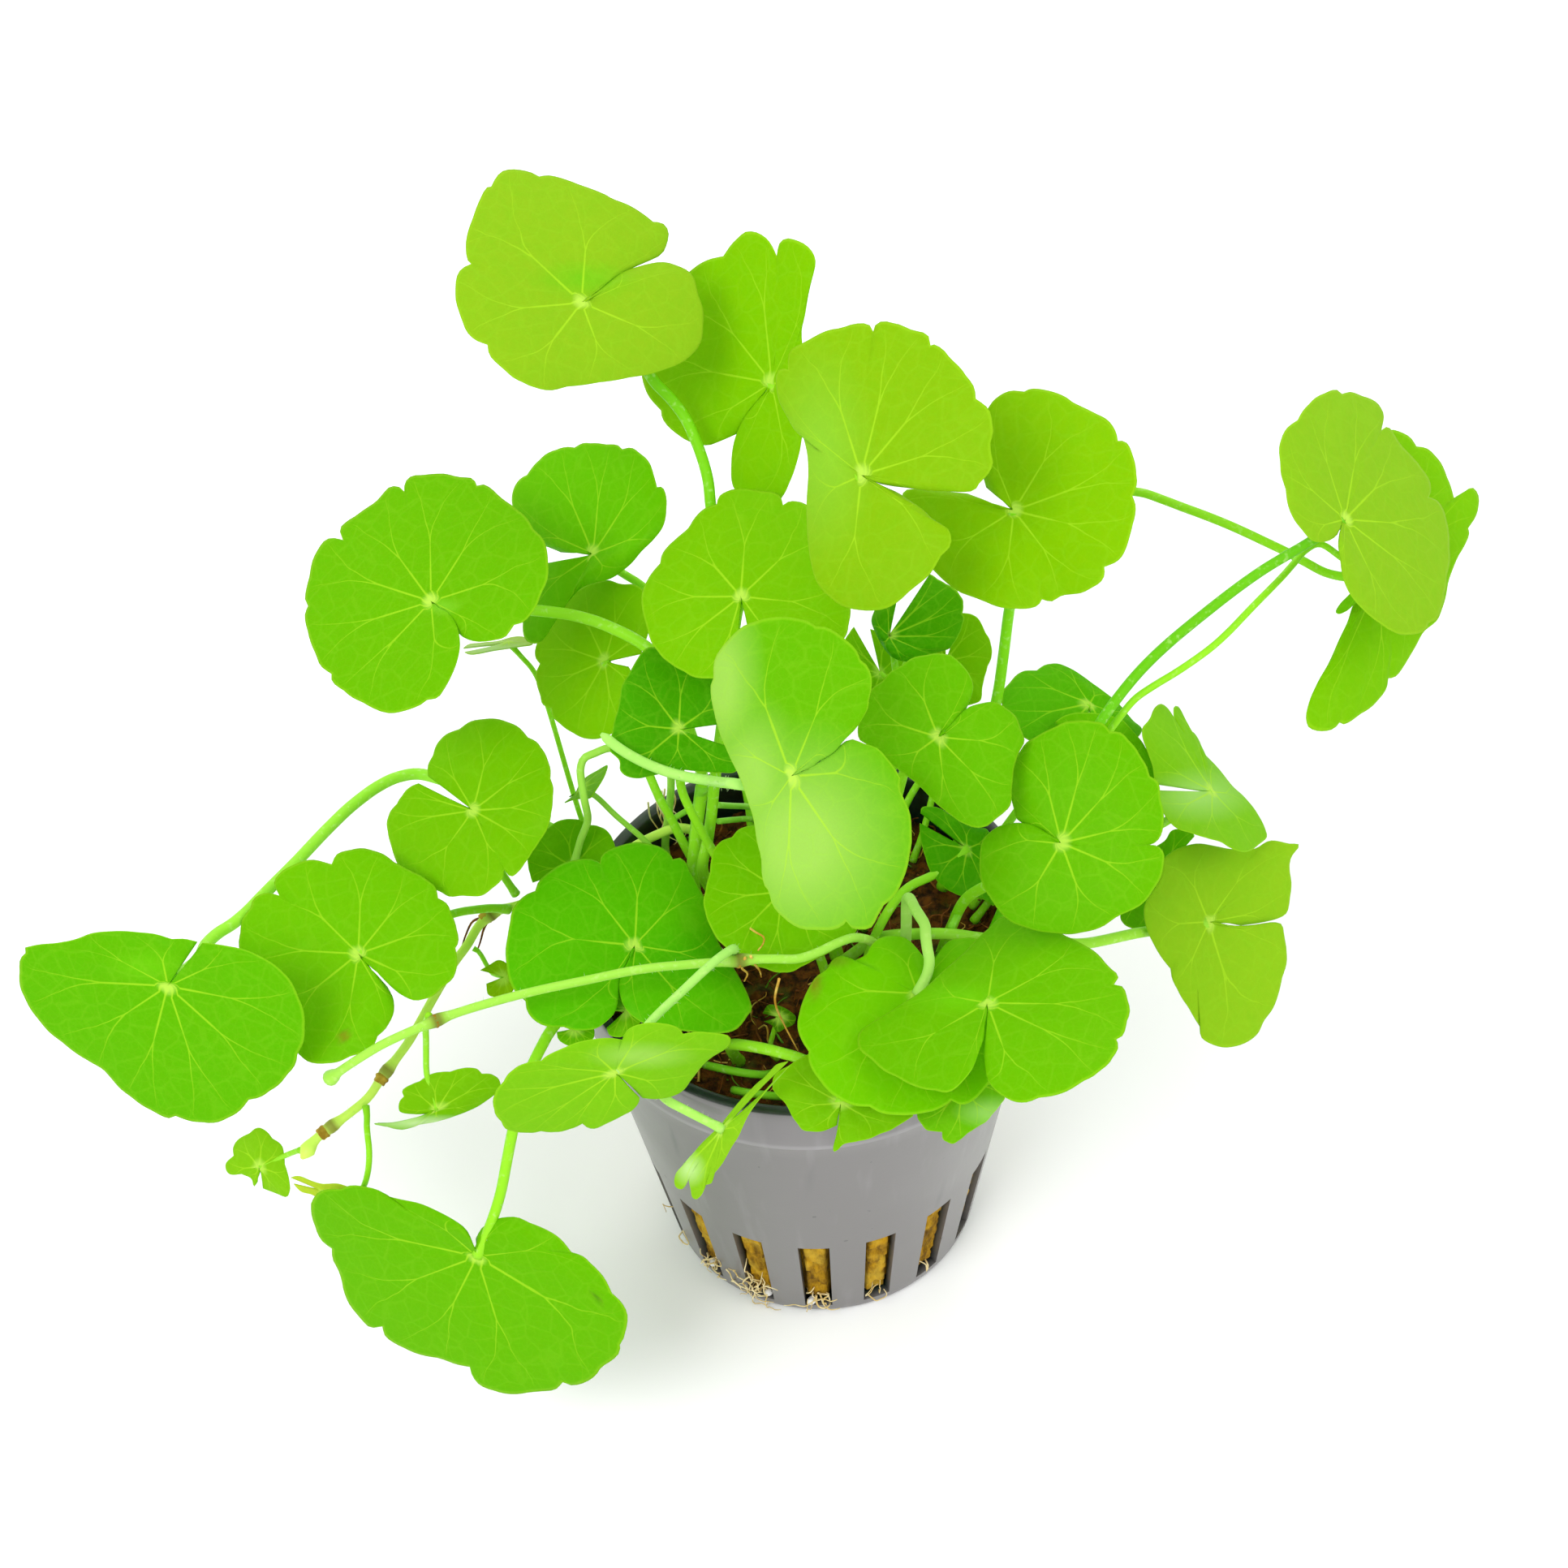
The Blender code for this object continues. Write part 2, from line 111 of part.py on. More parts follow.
# Leaf pairs (front, back) where the first covers the second.
OVER = {tuple(w.split(">")) for w in """
L10>L07 L10>L09 L10>L26 L10>L11 L10>L21 L10>L20 L10>L12 L10>L13
L07>L08 L07>L02 L07>L09 L07>L05 L07>L43 L03>L04 L03>L02 L03>L07 L03>L12 L03>L13
L01>L02 L01>L05 L01>L43 L06>L05 L05>L08 L06>L08 L06>L43 L05>L43 L06>L42 L06>L07 L05>L07
L11>L12 L11>L13 L11>L14 L11>L15 L11>L20 
L12>L13 L14>L13 L04>L14 L04>L13 L04>L12 L04>L15 L15>L14 L15>L13
L17>L16 L16>L15 L17>L18 L17>L20 L17>L46 L17>L19 L17>L21 L18>L46 L18>L19 L19>L46
L21>L22 L21>L25 L22>L23 L22>L25 L22>L26 L20>L25 L21>L20 L22>L20 L22>L47 L23>L47 L26>L47
L27>L28 L27>L29 L27>L45 L27>L38 L26>L28 L26>L45 L26>L27 L36>L27 L36>L45 L36>L37 L29>L28
L32>L31 L32>L30 L31>L30 L30>L29 L31>L29 L30>L42 L31>L38 L31>L45 L30>L38 L29>L38 L29>L42
L33>L44 L33>L34 L44>L34 L31>L35 L32>L35 L09>L08 L09>L42 L08>L42 L08>L43 L09>L29 L09>L26 L09>L28
L39>L40 L39>L41 L41>L40 L01>L05 L02>L43 L39>L18 L10>L17 L27>L31 L27>L30 L36>L31 L36>L33 L36>L35
""".split()}
NO_MEET = set()
FIRM = set()

# The view point from which every outline below is given, in millimetres, the pot's base centre at the origin.
EYE = np.array([0.27, -197.767, 290.044])
REACH, MID = 3600.99, 966.0
DIP, TURN, LEAN = 0.837, -0.009, -0.066
AHEAD = np.array([math.sin(TURN) * math.cos(DIP), math.cos(TURN) * math.cos(DIP), -math.sin(DIP)])
_SIDE = np.array([math.cos(TURN), -math.sin(TURN), 0.0])
_OVER = np.cross(_SIDE, AHEAD)
ACROSS = math.cos(LEAN) * _SIDE + math.sin(LEAN) * _OVER
UPWARD = -math.sin(LEAN) * _SIDE + math.cos(LEAN) * _OVER


def ray(u, v):
    u, v = np.asarray(u, float), np.asarray(v, float)
    return AHEAD + ((u - MID) / REACH)[..., None] * ACROSS - ((v - MID) / REACH)[..., None] * UPWARD


def seen_at(p):
    d = np.asarray(p) - EYE
    z = d @ AHEAD
    return MID + REACH * (d @ ACROSS) / z, MID - REACH * (d @ UPWARD) / z, z


def at_height(u, v, z):
    d = ray(u, v)
    return EYE + d * ((z - EYE[2]) / d[..., 2])[..., None]


def at_depth(u, v, depth):
    return EYE + ray(u, v) * np.asarray(depth, float)[..., None]


def on_plane(u, v, h, n):
    d = ray(u, v)
    return EYE + d * ((n @ (h - EYE)) / (d @ n))[..., None]


def facing(tilt, az):
    t, a = math.radians(tilt), math.radians(az)
    return np.array([math.sin(t) * math.sin(a), math.sin(t) * math.cos(a), math.cos(t)])


def outline(key):
    """Hub and outline of a leaf: (u, v), then (u, v), notch and guessed flags of each point."""
    win, hub, text = TRACES[key]
    x0, y0, sc = WINDOWS[win]
    pts, notch, guess, hid = [], [], [], False
    for w in text.split():
        if w[0] == "[":
            hid, w = True, w[1:]
        end = w[-1] == "]"
        w = w.rstrip("]")
        nn = w[-1] == "n"
        w = w.rstrip("n")
        x, y = (float(q) for q in w.split(","))
        pts.append((x0 + x / sc, y0 + y / sc))
        notch.append(nn)
        guess.append(hid)
        if end:
            hid = False
    return np.array([x0 + hub[0] / sc, y0 + hub[1] / sc]), np.array(pts), np.array(notch), np.array(guess)


def thin_out(pts, keep):
    """Drops the point that matters least to the outline until keep are left."""
    idx = list(range(len(pts)))
    while len(idx) > keep:
        p = pts[idx]
        a, b, c = p[:-2], p[1:-1], p[2:]
        area = abs((b[:, 0] - a[:, 0]) * (c[:, 1] - a[:, 1]) - (c[:, 0] - a[:, 0]) * (b[:, 1] - a[:, 1]))
        del idx[1 + int(np.argmin(area))]
    return np.array(idx)


# Leaves whose sinus is a closed slit.
CLOSED = ("L04", "L06", "L07", "L15", "L18", "L21", "L27")


class Blade:
    def __init__(self, key, shift=0.0):
        self.key = key
        (self.height, self.tilt, self.az, self.cup, self.wave, self.bends, self.lobe, self.stalk) = LEAVES[key]
        self.hub_uv, self.uv, self.notch, self.guess = outline(key)
        self.normal = facing(self.tilt, self.az)
        self.move(shift)

    def move(self, shift):
        self.shift = shift
        h = at_height(self.hub_uv[0], self.hub_uv[1], self.height)
        d = ray(self.hub_uv[0], self.hub_uv[1])
        self.flat_hub = h + d / np.linalg.norm(d) * shift
        q = on_plane(self.uv[:, 0], self.uv[:, 1], self.flat_hub, self.normal)
        self.size = float(np.mean(np.linalg.norm(q - self.flat_hub, axis=1)))
        self.hub = self.point(self.hub_uv[None], np.zeros(1), np.zeros(1))[0]

    def point(self, uv, s, side):
        """The blade's point seen at uv. s runs 0 at the hub to 1 at the edge, side is -1 and 1 along the two sides of the sinus."""
        p = on_plane(uv[..., 0], uv[..., 1], self.flat_hub, self.normal)
        du, dv = uv[..., 0] - self.hub_uv[0], uv[..., 1] - self.hub_uv[1]
        ang = np.arctan2(-dv, du)
        reach = np.hypot(du, dv) / (np.mean(np.hypot(*(self.uv - self.hub_uv).T)) + 1e-9)
        off = self.cup * np.sin(math.pi * 0.92 * s) - 0.35 * self.cup * s**3
        off = off + self.wave * s**2 * (np.sin(3 * ang + self.height) + 0.6 * np.sin(5 * ang + 2 * self.height))
        for deg, k in self.bends:
            along = reach * np.cos(ang - math.radians(deg))
            off = off - k * np.maximum(0.0, along - 0.15) ** 2
        off = off + self.lobe * 0.085 * np.minimum(reach, 1.0) * np.sign(side) * np.abs(side) ** 2
        d = ray(uv[..., 0], uv[..., 1])
        return p - d / np.linalg.norm(d, axis=-1, keepdims=True) * (off * self.size)[..., None]

    def sides(self, n):
        """Of n outline points: how near each is to an end of the outline, -1 at the first, 1 at the last."""
        t = np.linspace(0.0, 1.0, n)
        return np.where(t < 0.5, -np.clip(1 - t / 0.22, 0, 1), np.clip(1 - (1 - t) / 0.22, 0, 1))

    def spokes(self, uv, s, tame=0.0):
        """Where the spoke to each outline point uv is seen at s: inside, the spokes keep their order and leave the sinus open."""
        d = uv - self.hub_uv
        th, r = np.unwrap(np.arctan2(-d[:, 1], d[:, 0])), np.hypot(d[:, 0], d[:, 1])
        sign = 1.0 if th[-1] > th[0] else -1.0
        up = np.maximum.accumulate(th * sign)
        down = np.minimum.accumulate((th * sign)[::-1])[::-1]
        even = sign * 0.5 * (up + down)
        mix = 0.1 + 0.12 * tame
        even = (1 - mix) * even + mix * np.linspace(even[0], even[-1], len(even))
        mid, half = 0.5 * (even[0] + even[-1]), 0.5 * abs(even[-1] - even[0])
        lim = math.pi - (0.05 if self.key in CLOSED else 0.14) - 0.12 * tame
        even = mid + (even - mid) * min(1.0, lim / max(half, 1e-6))
        k = np.clip((s - 0.5) / 0.5, 0.0, 1.0)
        k = k * k * (3 - 2 * k) * (1.0 - tame)
        a = even + (th - even) * k
        return self.hub_uv + np.stack([np.cos(a), -np.sin(a)], axis=-1) * (r * s)[:, None]

    def coarse(self, keep, rings, tame=0.0):
        idx = thin_out(self.uv, keep)
        uv = self.uv[idx]
        side = self.sides(len(self.uv))[idx]
        pts = [self.hub[None]]
        bends = self.bends
        self.bends = [(deg, k * (1.0 - 0.75 * tame)) for deg, k in bends]
        for s in rings:
            pts.append(self.point(self.spokes(uv, s, tame), np.full(len(uv), s), side))
        self.bends = bends
        return np.vstack(pts), fan(len(uv), len(rings), turns_left(uv, self.hub_uv))


def turns_left(uv, hub):
    a, b = uv[:-1] - hub, uv[1:] - hub
    return (a[:, 0] * b[:, 1] - a[:, 1] * b[:, 0]).sum() < 0


def fan(n, rings, left):
    """Triangles of a fan of n spokes and the given rings round point 0, facing the eye."""
    f = []
    for i in range(n - 1):
        f.append((0, 1 + i, 2 + i))
        for r in range(rings - 1):
            a, b = 1 + r * n + i, 1 + (r + 1) * n + i
            f += [(a, b, b + 1), (a, b + 1, a + 1)]
    f = np.array(f)
    return f if left else f[:, ::-1]


GRID = 8.0
SIZE = 243


def depth_map(pts, tris):
    """The nearest depth of the triangles at each cell of a coarse grid over the view."""
    u, v, z = seen_at(pts)
    u, v = u / GRID, v / GRID
    out = np.full((SIZE, SIZE), np.inf)
    for a, b, c in tris:
        x0, x1 = max(0, int(min(u[a], u[b], u[c]) - 0.5)), min(SIZE - 1, int(max(u[a], u[b], u[c]) + 1.5))
        y0, y1 = max(0, int(min(v[a], v[b], v[c]) - 0.5)), min(SIZE - 1, int(max(v[a], v[b], v[c]) + 1.5))
        if x1 < x0 or y1 < y0:
            continue
        den = (v[b] - v[c]) * (u[a] - u[c]) + (u[c] - u[b]) * (v[a] - v[c])
        if abs(den) < 1e-6:
            continue
        xs, ys = np.meshgrid(np.arange(x0, x1 + 1), np.arange(y0, y1 + 1))
        wa = ((v[b] - v[c]) * (xs - u[c]) + (u[c] - u[b]) * (ys - v[c])) / den
        wb = ((v[c] - v[a]) * (xs - u[c]) + (u[a] - u[c]) * (ys - v[c])) / den
        wc = 1 - wa - wb
        zz = wa * z[a] + wb * z[b] + wc * z[c]
        m = (wa > -0.05) & (wb > -0.05) & (wc > -0.05)
        part = out[y0 : y1 + 1, x0 : x1 + 1]
        part[m] = np.minimum(part[m], zz[m])
    return out


def least_round(m, k=1):
    out = m.copy()
    for dy in range(-k, k + 1):
        for dx in range(-k, k + 1):
            out = np.minimum(out, np.roll(np.roll(m, dy, 0), dx, 1))
    return out


def most_round(m, k=1):
    return -least_round(-m, k)


COARSE_KEEP, COARSE_RINGS = 17, (0.5, 1.0)
BLADE_GAP = 1.1


def settle(blades, over):
    """Moves the leaves along their lines of sight until each that lies over another clears it."""
    keys = list(blades)
    maps = {}
    for k in keys:
        p, t = blades[k].coarse(20, (0.5, 1.0))
        maps[k] = depth_map(p, t)
    start = {k: blades[k].shift for k in keys}
    cover = {k: np.isfinite(maps[k]) for k in keys}
    pairs = []
    for i, a in enumerate(keys):
        for b in keys[i + 1 :]:
            if (a, b) in NO_MEET or (b, a) in NO_MEET:
                continue
            both = cover[a] & least_round(np.where(cover[b], 0.0, 1.0), 0).astype(bool) == 0
            near = most_round(cover[a].astype(float), 1).astype(bool) & most_round(cover[b].astype(float), 1).astype(bool)
            if not near.any():
                continue
            da = least_round(maps[a], 1)[near]
            db = least_round(maps[b], 1)[near]
            da2 = most_round(np.where(np.isfinite(maps[a]), maps[a], -np.inf), 1)[near]
            db2 = most_round(np.where(np.isfinite(maps[b]), maps[b], -np.inf), 1)[near]
            ok = np.isfinite(da) & np.isfinite(db) & np.isfinite(da2) & np.isfinite(db2)
            if not ok.any():
                continue
            da, db, da2, db2 = da[ok], db[ok], da2[ok], db2[ok]
            if (b, a) in over:
                front, back = b, a
            elif (a, b) in over or np.median(db - da) > 0:
                front, back = a, b
            else:
                front, back = b, a
            gap = (db - da2).min() if front == a else (da - db2).min()
            pairs.append((front, back, float(gap)))
    shift = {k: 0.0 for k in keys}
    for _ in range(400):
        worst = 0.0
        for f, b, g in pairs:
            need = BLADE_GAP - (g + shift[b] - shift[f])
            if need > 0:
                wf = 0.5 if f not in FIRM else (0.0 if b not in FIRM else 0.5)
                wb = 1.0 - wf if b not in FIRM or f in FIRM else 0.0
                if f not in FIRM and b in FIRM:
                    wf = 1.0
                shift[f] -= wf * need * 0.8
                shift[b] += wb * need * 0.8
                worst = max(worst, need)
        for k in keys:
            shift[k] *= 0.9995
        if worst < 0.05:
            break
    for k in keys:
        blades[k].move(start[k] + shift[k])
    return pairs, shift, worst


POT_H, POT_R, POT_BASE_R, LIP_R, LIP_H = 48.0, 25.0, 18.0, 24.4, 6.1
POT_WALL, POT_FLOOR = 1.2, 1.5
PLUG_TOP = 43.0


def wall_radius(z):
    return POT_BASE_R + (LIP_R - POT_BASE_R) * np.clip(z, 0, POT_H) / (POT_H - LIP_H)


def pot_clear(p, r):
    """How far each point, as a ball of radius r, goes into the pot's wall, the plug or the floor."""
    p = np.atleast_2d(p)
    rad = np.hypot(p[:, 0], p[:, 1])
    z = p[:, 2]
    inner = np.minimum(wall_radius(z), LIP_R) - POT_WALL
    deep = np.zeros(len(p))
    inside = rad < inner + POT_WALL * 0.5
    low = z < POT_H + r + 0.5
    deep = np.where(low & inside, np.maximum(deep, rad - (inner - r - 0.4)), deep)
    deep = np.where(low & ~inside, np.maximum(deep, (POT_R + r + 0.4) - rad), deep)
    top = np.where(low & ~inside, (POT_H + r + 0.45) - z, 1e9)
    deep = np.where(low & ~inside, np.minimum(deep, np.maximum(top, 0)), deep)
    over_wall = low & inside & (deep > 0)
    deep = np.where(over_wall, np.minimum(deep, np.maximum(POT_H + r + 0.45 - z, 0)), deep)
    deep = np.where(inside & (z < PLUG_TOP + r + 0.25), np.maximum(deep, 0.02 * (PLUG_TOP + r + 0.25 - z)), deep)
    deep = np.maximum(deep, r + 0.5 - z)
    return np.maximum(deep, 0.0)


def spline(keys, step=1.2, least=10):
    """A smooth curve through the keys, sampled about every step."""
    k = np.asarray(keys, float)
    gap = np.maximum(np.linalg.norm(np.diff(k, axis=0), axis=1), 1e-3)
    t = np.concatenate([[0], np.cumsum(gap**0.5)])
    m = np.zeros_like(k)
    for i in range(len(k)):
        if i == 0:
            m[i] = (k[1] - k[0]) / (t[1] - t[0])
        elif i == len(k) - 1:
            m[i] = (k[-1] - k[-2]) / (t[-1] - t[-2])
        else:
            a, b = t[i] - t[i - 1], t[i + 1] - t[i]
            m[i] = ((k[i] - k[i - 1]) / a * b + (k[i + 1] - k[i]) / b * a) / (a + b)
    n = max(least, int(gap.sum() / step) + 1)
    grid = np.linspace(0, t[-1], 4 * n)
    i = np.clip(np.searchsorted(t, grid, side="right") - 1, 0, len(k) - 2)
    h = (t[i + 1] - t[i])[:, None]
    x = ((grid - t[i]) / (t[i + 1] - t[i]))[:, None]
    p = (
        (2 * x**3 - 3 * x**2 + 1) * k[i]
        + (x**3 - 2 * x**2 + x) * h * m[i]
        + (-2 * x**3 + 3 * x**2) * k[i + 1]
        + (x**3 - x**2) * h * m[i + 1]
    )
    arc = np.concatenate([[0], np.cumsum(np.linalg.norm(np.diff(p, axis=0), axis=1))])
    w = np.linspace(0, arc[-1], n)
    return np.stack([np.interp(w, arc, p[:, j]) for j in range(3)], axis=1)


def tube(path, radius, sides=6, ends=(1.0, 1.0)):
    """Vertices and faces of a closed round tube along the path, its frame carried along without twist."""
    path = np.asarray(path, float)
    n = len(path)
    rad = np.broadcast_to(np.asarray(radius, float), (n,)).copy()
    tan = np.gradient(path, axis=0)
    tan /= np.linalg.norm(tan, axis=1)[:, None] + 1e-12
    side = np.cross(tan[0], [0.0, 0.0, 1.0])
    if np.linalg.norm(side) < 1e-3:
        side = np.array([1.0, 0.0, 0.0])
    verts = []
    for i in range(n):
        side = side - tan[i] * (side @ tan[i])
        side /= np.linalg.norm(side) + 1e-12
        up = np.cross(tan[i], side)
        a = np.arange(sides) * 2 * math.pi / sides
        verts.append(path[i] + rad[i] * (np.cos(a)[:, None] * side + np.sin(a)[:, None] * up))
    v = np.vstack(verts + [path[:1], path[-1:]])
    f = []
    for i in range(n - 1):
        for j in range(sides):
            a, b = i * sides + j, i * sides + (j + 1) % sides
            f += [(a, b, b + sides), (a, b + sides, a + sides)]
    for j in range(sides):
        f.append((n * sides, (j + 1) % sides, j))
        e = (n - 1) * sides
        f.append((n * sides + 1, e + j, e + (j + 1) % sides))
    return v, np.array(f)


def stalk_marks(text):
    """The (u, v) points a stalk passes, with whether each can be seen."""
    out, hid = [], False
    for w in text.replace("[", " [ ").replace("]", " ] ").split():
        if w == "[":
            hid = True
        elif w == "]":
            hid = False
        else:
            out.append(tuple(float(q) for q in w.split(",")) + (not hid,))
    return out


def runner_keys(key):
    base, radius, text = RUNNERS[key]
    pts = [tuple(float(q) for q in w.split(",")) for w in text.split()]
    return base, radius, np.array([at_height(np.array(u), np.array(v), z) for u, v, z in pts]), np.array(pts)


class Field:
    """Everything a stalk keeps clear of, as one tree of triangles."""

    def __init__(self):
        self.parts = {}

    def add(self, name, v, f):
        self.parts[name] = (np.asarray(v, float), np.asarray(f, int))

    def tree(self, leave=()):
        vs, fs, n = [], [], 0
        for name, (v, f) in self.parts.items():
            if name in leave:
                continue
            vs.append(v)
            fs.append(f + n)
            n += len(v)
        return BVHTree.FromPolygons(np.vstack(vs).tolist(), np.vstack(fs).tolist())


def route_cost(keys, case, stop):
    """How bad a stalk route is: its bends, its length, what it touches and where it shows."""
    blade, tree, front, own, marks, from_runner = case
    radius, top, b = blade.stalk[1], blade.hub, keys[0]
    p = spline(keys)
    w = np.linalg.norm(p - top, axis=1)
    wb = np.linalg.norm(p - b, axis=1)
    uu, vv, dd = seen_at(p)
    iu = np.clip(np.round(uu / GRID).astype(int), 0, SIZE - 1)
    iv = np.clip(np.round(vv / GRID).astype(int), 0, SIZE - 1)
    cost = 60 * (pot_clear(p, radius) ** 2).sum()
    cost += 0.15 * np.linalg.norm(np.diff(p, axis=0), axis=1).sum()
    cost += 6.0 * (np.diff(p, 2, axis=0) ** 2).sum()
    hidden_ok = np.ones(len(p), bool)
    mu = np.array([m[:2] for m in marks if m[2]])
    if len(mu):
        near = np.sqrt(((np.stack([uu, vv], 1)[:, None] - mu[None]) ** 2).sum(2)).min(1)
        hidden_ok = near > 34
    shows = hidden_ok & (w > 3.0) & (dd < front[iv, iu] - 0.3)
    cost += 0.9 * shows.sum()
    over = (w > 2.0) & (dd < own[iv, iu] - 0.2)
    cost += 1.5 * over.sum()
    if cost > stop:
        return cost, p
    need = radius + 0.62
    for q in range(len(p)):
        if wb[q] < 1.0 and from_runner:
            continue
        hit = tree.find_nearest(p[q].tolist(), need)
        if hit[0] is not None:
            cost += 40 * (need - hit[3]) ** 2 + 2.0
            if cost > stop:
                break
    return cost, p


def route(blade, field, fronts, own, luck):
    """The best of many stalk routes, then eased aside a little at a time wherever it still touches."""
    base, radius, text = blade.stalk
    tree = field.tree(leave=(blade.key, blade.key + "_stalk"))
    front = fronts[blade.key]
    n, top = blade.normal, blade.hub
    marks = stalk_marks(text)
    starts = []
    if isinstance(base, str):
        root = runner_keys(base[0])[2][int(base[1:])]
        if base[0] in RUNNER_AT:
            line = RUNNER_AT[base[0]]
            root = line[np.argmin(np.linalg.norm(line - root, axis=1))]
        rr = RUNNERS[base[0]][1]
        toward = top - root
        for ang in range(0, 360, 45):
            a = math.radians(ang)
            d = np.array([math.cos(a), math.sin(a), 0.35]) + 0.5 * toward / (np.linalg.norm(toward) + 1e-9)
            d /= np.linalg.norm(d)
            starts.append((root + d * (rr + radius + 0.35), root + d * (rr + radius + 2.0)))
    else:
        for dx, dy in ((0, 0), (2, 0), (-2, 0), (0, 2), (0, -2), (3, 3), (-3, -3), (3, -3), (-3, 3)):
            b = np.array([base[0] + dx, base[1] + dy, PLUG_TOP + 0.35])
            if math.hypot(b[0], b[1]) > 20.5 - radius:
                b[:2] *= (20.5 - radius) / math.hypot(b[0], b[1])
            starts.append((b, b + [0.08 * b[0], 0.08 * b[1], 3.5]))
    case = (blade, tree, front, own[blade.key], marks, isinstance(base, str))
    bulges = [(0.0, 0.0)] + [(r * math.cos(a), r * math.sin(a)) for r in (5.0, 11.0) for a in np.arange(8) * math.pi / 4]
    pre = 2.2 if blade.size > 5 else 1.2
    best = (1e18, None, None)
    for b, b2 in starts:
        trials = []
        if marks:
            uv = np.array([m[:2] for m in marks])
            bu, bv, _ = seen_at(b2)
            line = np.vstack([[bu, bv], uv, blade.hub_uv])
            arc = np.concatenate([[0], np.cumsum(np.linalg.norm(np.diff(line, axis=0), axis=1))])
            f = arc[1:-1] / arc[-1]
            iu = np.clip(np.round(uv[:, 0] / GRID).astype(int), 0, SIZE - 1)
            iv = np.clip(np.round(uv[:, 1] / GRID).astype(int), 0, SIZE - 1)
            lim = np.where([m[2] for m in marks], front[iv, iu] - radius - 0.5, 1e9)
            for power in (0.5, 0.8, 1.2, 1.9):
                for lift in (-6.0, -2.0, 2.0, 7.0, 13.0):
                    z = b2[2] + (top[2] - b2[2]) * f**power + lift * np.sin(math.pi * f)
                    pts = at_height(uv[:, 0], uv[:, 1], z)
                    dep = seen_at(pts)[2]
                    pull = np.clip(dep - lim, 0.0, 6.0)
                    if len(pull) > 2:
                        soft = pull.copy()
                        soft[1:-1] = np.maximum(pull[1:-1], 0.5 * (pull[:-2] + pull[2:]))
                        pull = soft
                    pts = at_depth(uv[:, 0], uv[:, 1], dep - pull)
                    for sway in ((0, 0), (5, 0), (-5, 0), (0, 5), (0, -5)):
                        mid = (b2 + pts[0]) / 2 + np.array([sway[0], sway[1], 0])
                        keys = [b, b2] + ([mid] if np.linalg.norm(pts[0] - b2) > 8 else [])
                        kinds = ["root", "free"] + ["free"] * (len(keys) - 2)
                        keys += list(pts)
                        kinds += ["ray" if m[2] else "free" for m in marks]
                        d = top - pts[-1]
                        dist = np.linalg.norm(d)
                        if dist > 6:
                            keys.append(top - n * min(pre, dist * 0.25) - d / dist * 2.0)
                            kinds.append("free")
                        trials.append((keys + [top], kinds + ["top"]))
        else:
            for bulge in bulges:
                for frac in (0.35, 0.65):
                    for lift in (-4.0, 1.0, 6.0):
                        mid = b2 + (top - b2) * frac + np.array([bulge[0], bulge[1], lift])
                        d = top - mid
                        d[2] = 0
                        back = d / (np.linalg.norm(d) + 1e-9)
                        trials.append(([b, b2, mid, top - n * pre - back, top], ["root", "free", "free", "free", "top"]))
        for keys, kinds in trials:
            cost, p = route_cost(keys, case, best[0])
            if cost < best[0]:
                best = (cost, p, keys, kinds)
    cost, p, keys, kinds = best
    loose = [i for i, k in enumerate(kinds) if k in ("free", "ray")]
    step = 2.5
    for go in range(260 if cost > 9 else 60):
        if go % 65 == 64:
            step *= 0.7
        i = loose[luck.integers(len(loose))]
        move = luck.normal(0, step, 3)
        if kinds[i] == "ray":
            d = keys[i] - EYE
            move = d / np.linalg.norm(d) * move[0]
        trial = list(keys)
        trial[i] = keys[i] + move
        if luck.random() < 0.4 and i + 1 < len(keys) - 1 and kinds[i] == kinds[i + 1]:
            trial[i + 1] = keys[i + 1] + move
        if min(q[2] for q in trial) < 2:
            continue
        c2, p2 = route_cost(trial, case, cost)
        if c2 < cost:
            cost, p, keys = c2, p2, trial
    return cost, p


RUNNER_AT = {}


def ease_runner(name, base, radius, pts, field, luck):
    """A runner's path from the plug through its points, eased along the lines of sight until nothing touches it."""
    tree = field.tree()
    b = np.array([base[0], base[1], PLUG_TOP + 0.35])
    keys = [b, b + [0.1 * base[0], 0.1 * base[1], 3.0]] + list(pts)

    def cost_of(k, stop):
        p = spline(k)
        c = 60 * (pot_clear(p, radius) ** 2).sum() + 6.0 * (np.diff(p, 2, axis=0) ** 2).sum()
        for q in p[1:]:
            if c > stop:
                break
            hit = tree.find_nearest(q.tolist(), radius + 0.7)
            if hit[0] is not None:
                c += 40 * (radius + 0.7 - hit[3]) ** 2 + 1.0
        return c, p

    cost, path = cost_of(keys, 1e18)
    for go in range(500):
        i = 1 + luck.integers(len(keys) - 1)
        move = luck.normal(0, 2.0 if go < 250 else 0.8, 3)
        if i > 3:
            d = keys[i] - EYE
            move = d / np.linalg.norm(d) * move[0] * 0.7
        trial = list(keys)
        trial[i] = keys[i] + move
        if luck.random() < 0.4 and 3 < i < len(keys) - 1:
            trial[i + 1] = keys[i + 1] + move
        c2, p2 = cost_of(trial, cost)
        if c2 < cost:
            cost, path, keys = c2, p2, trial
    return path


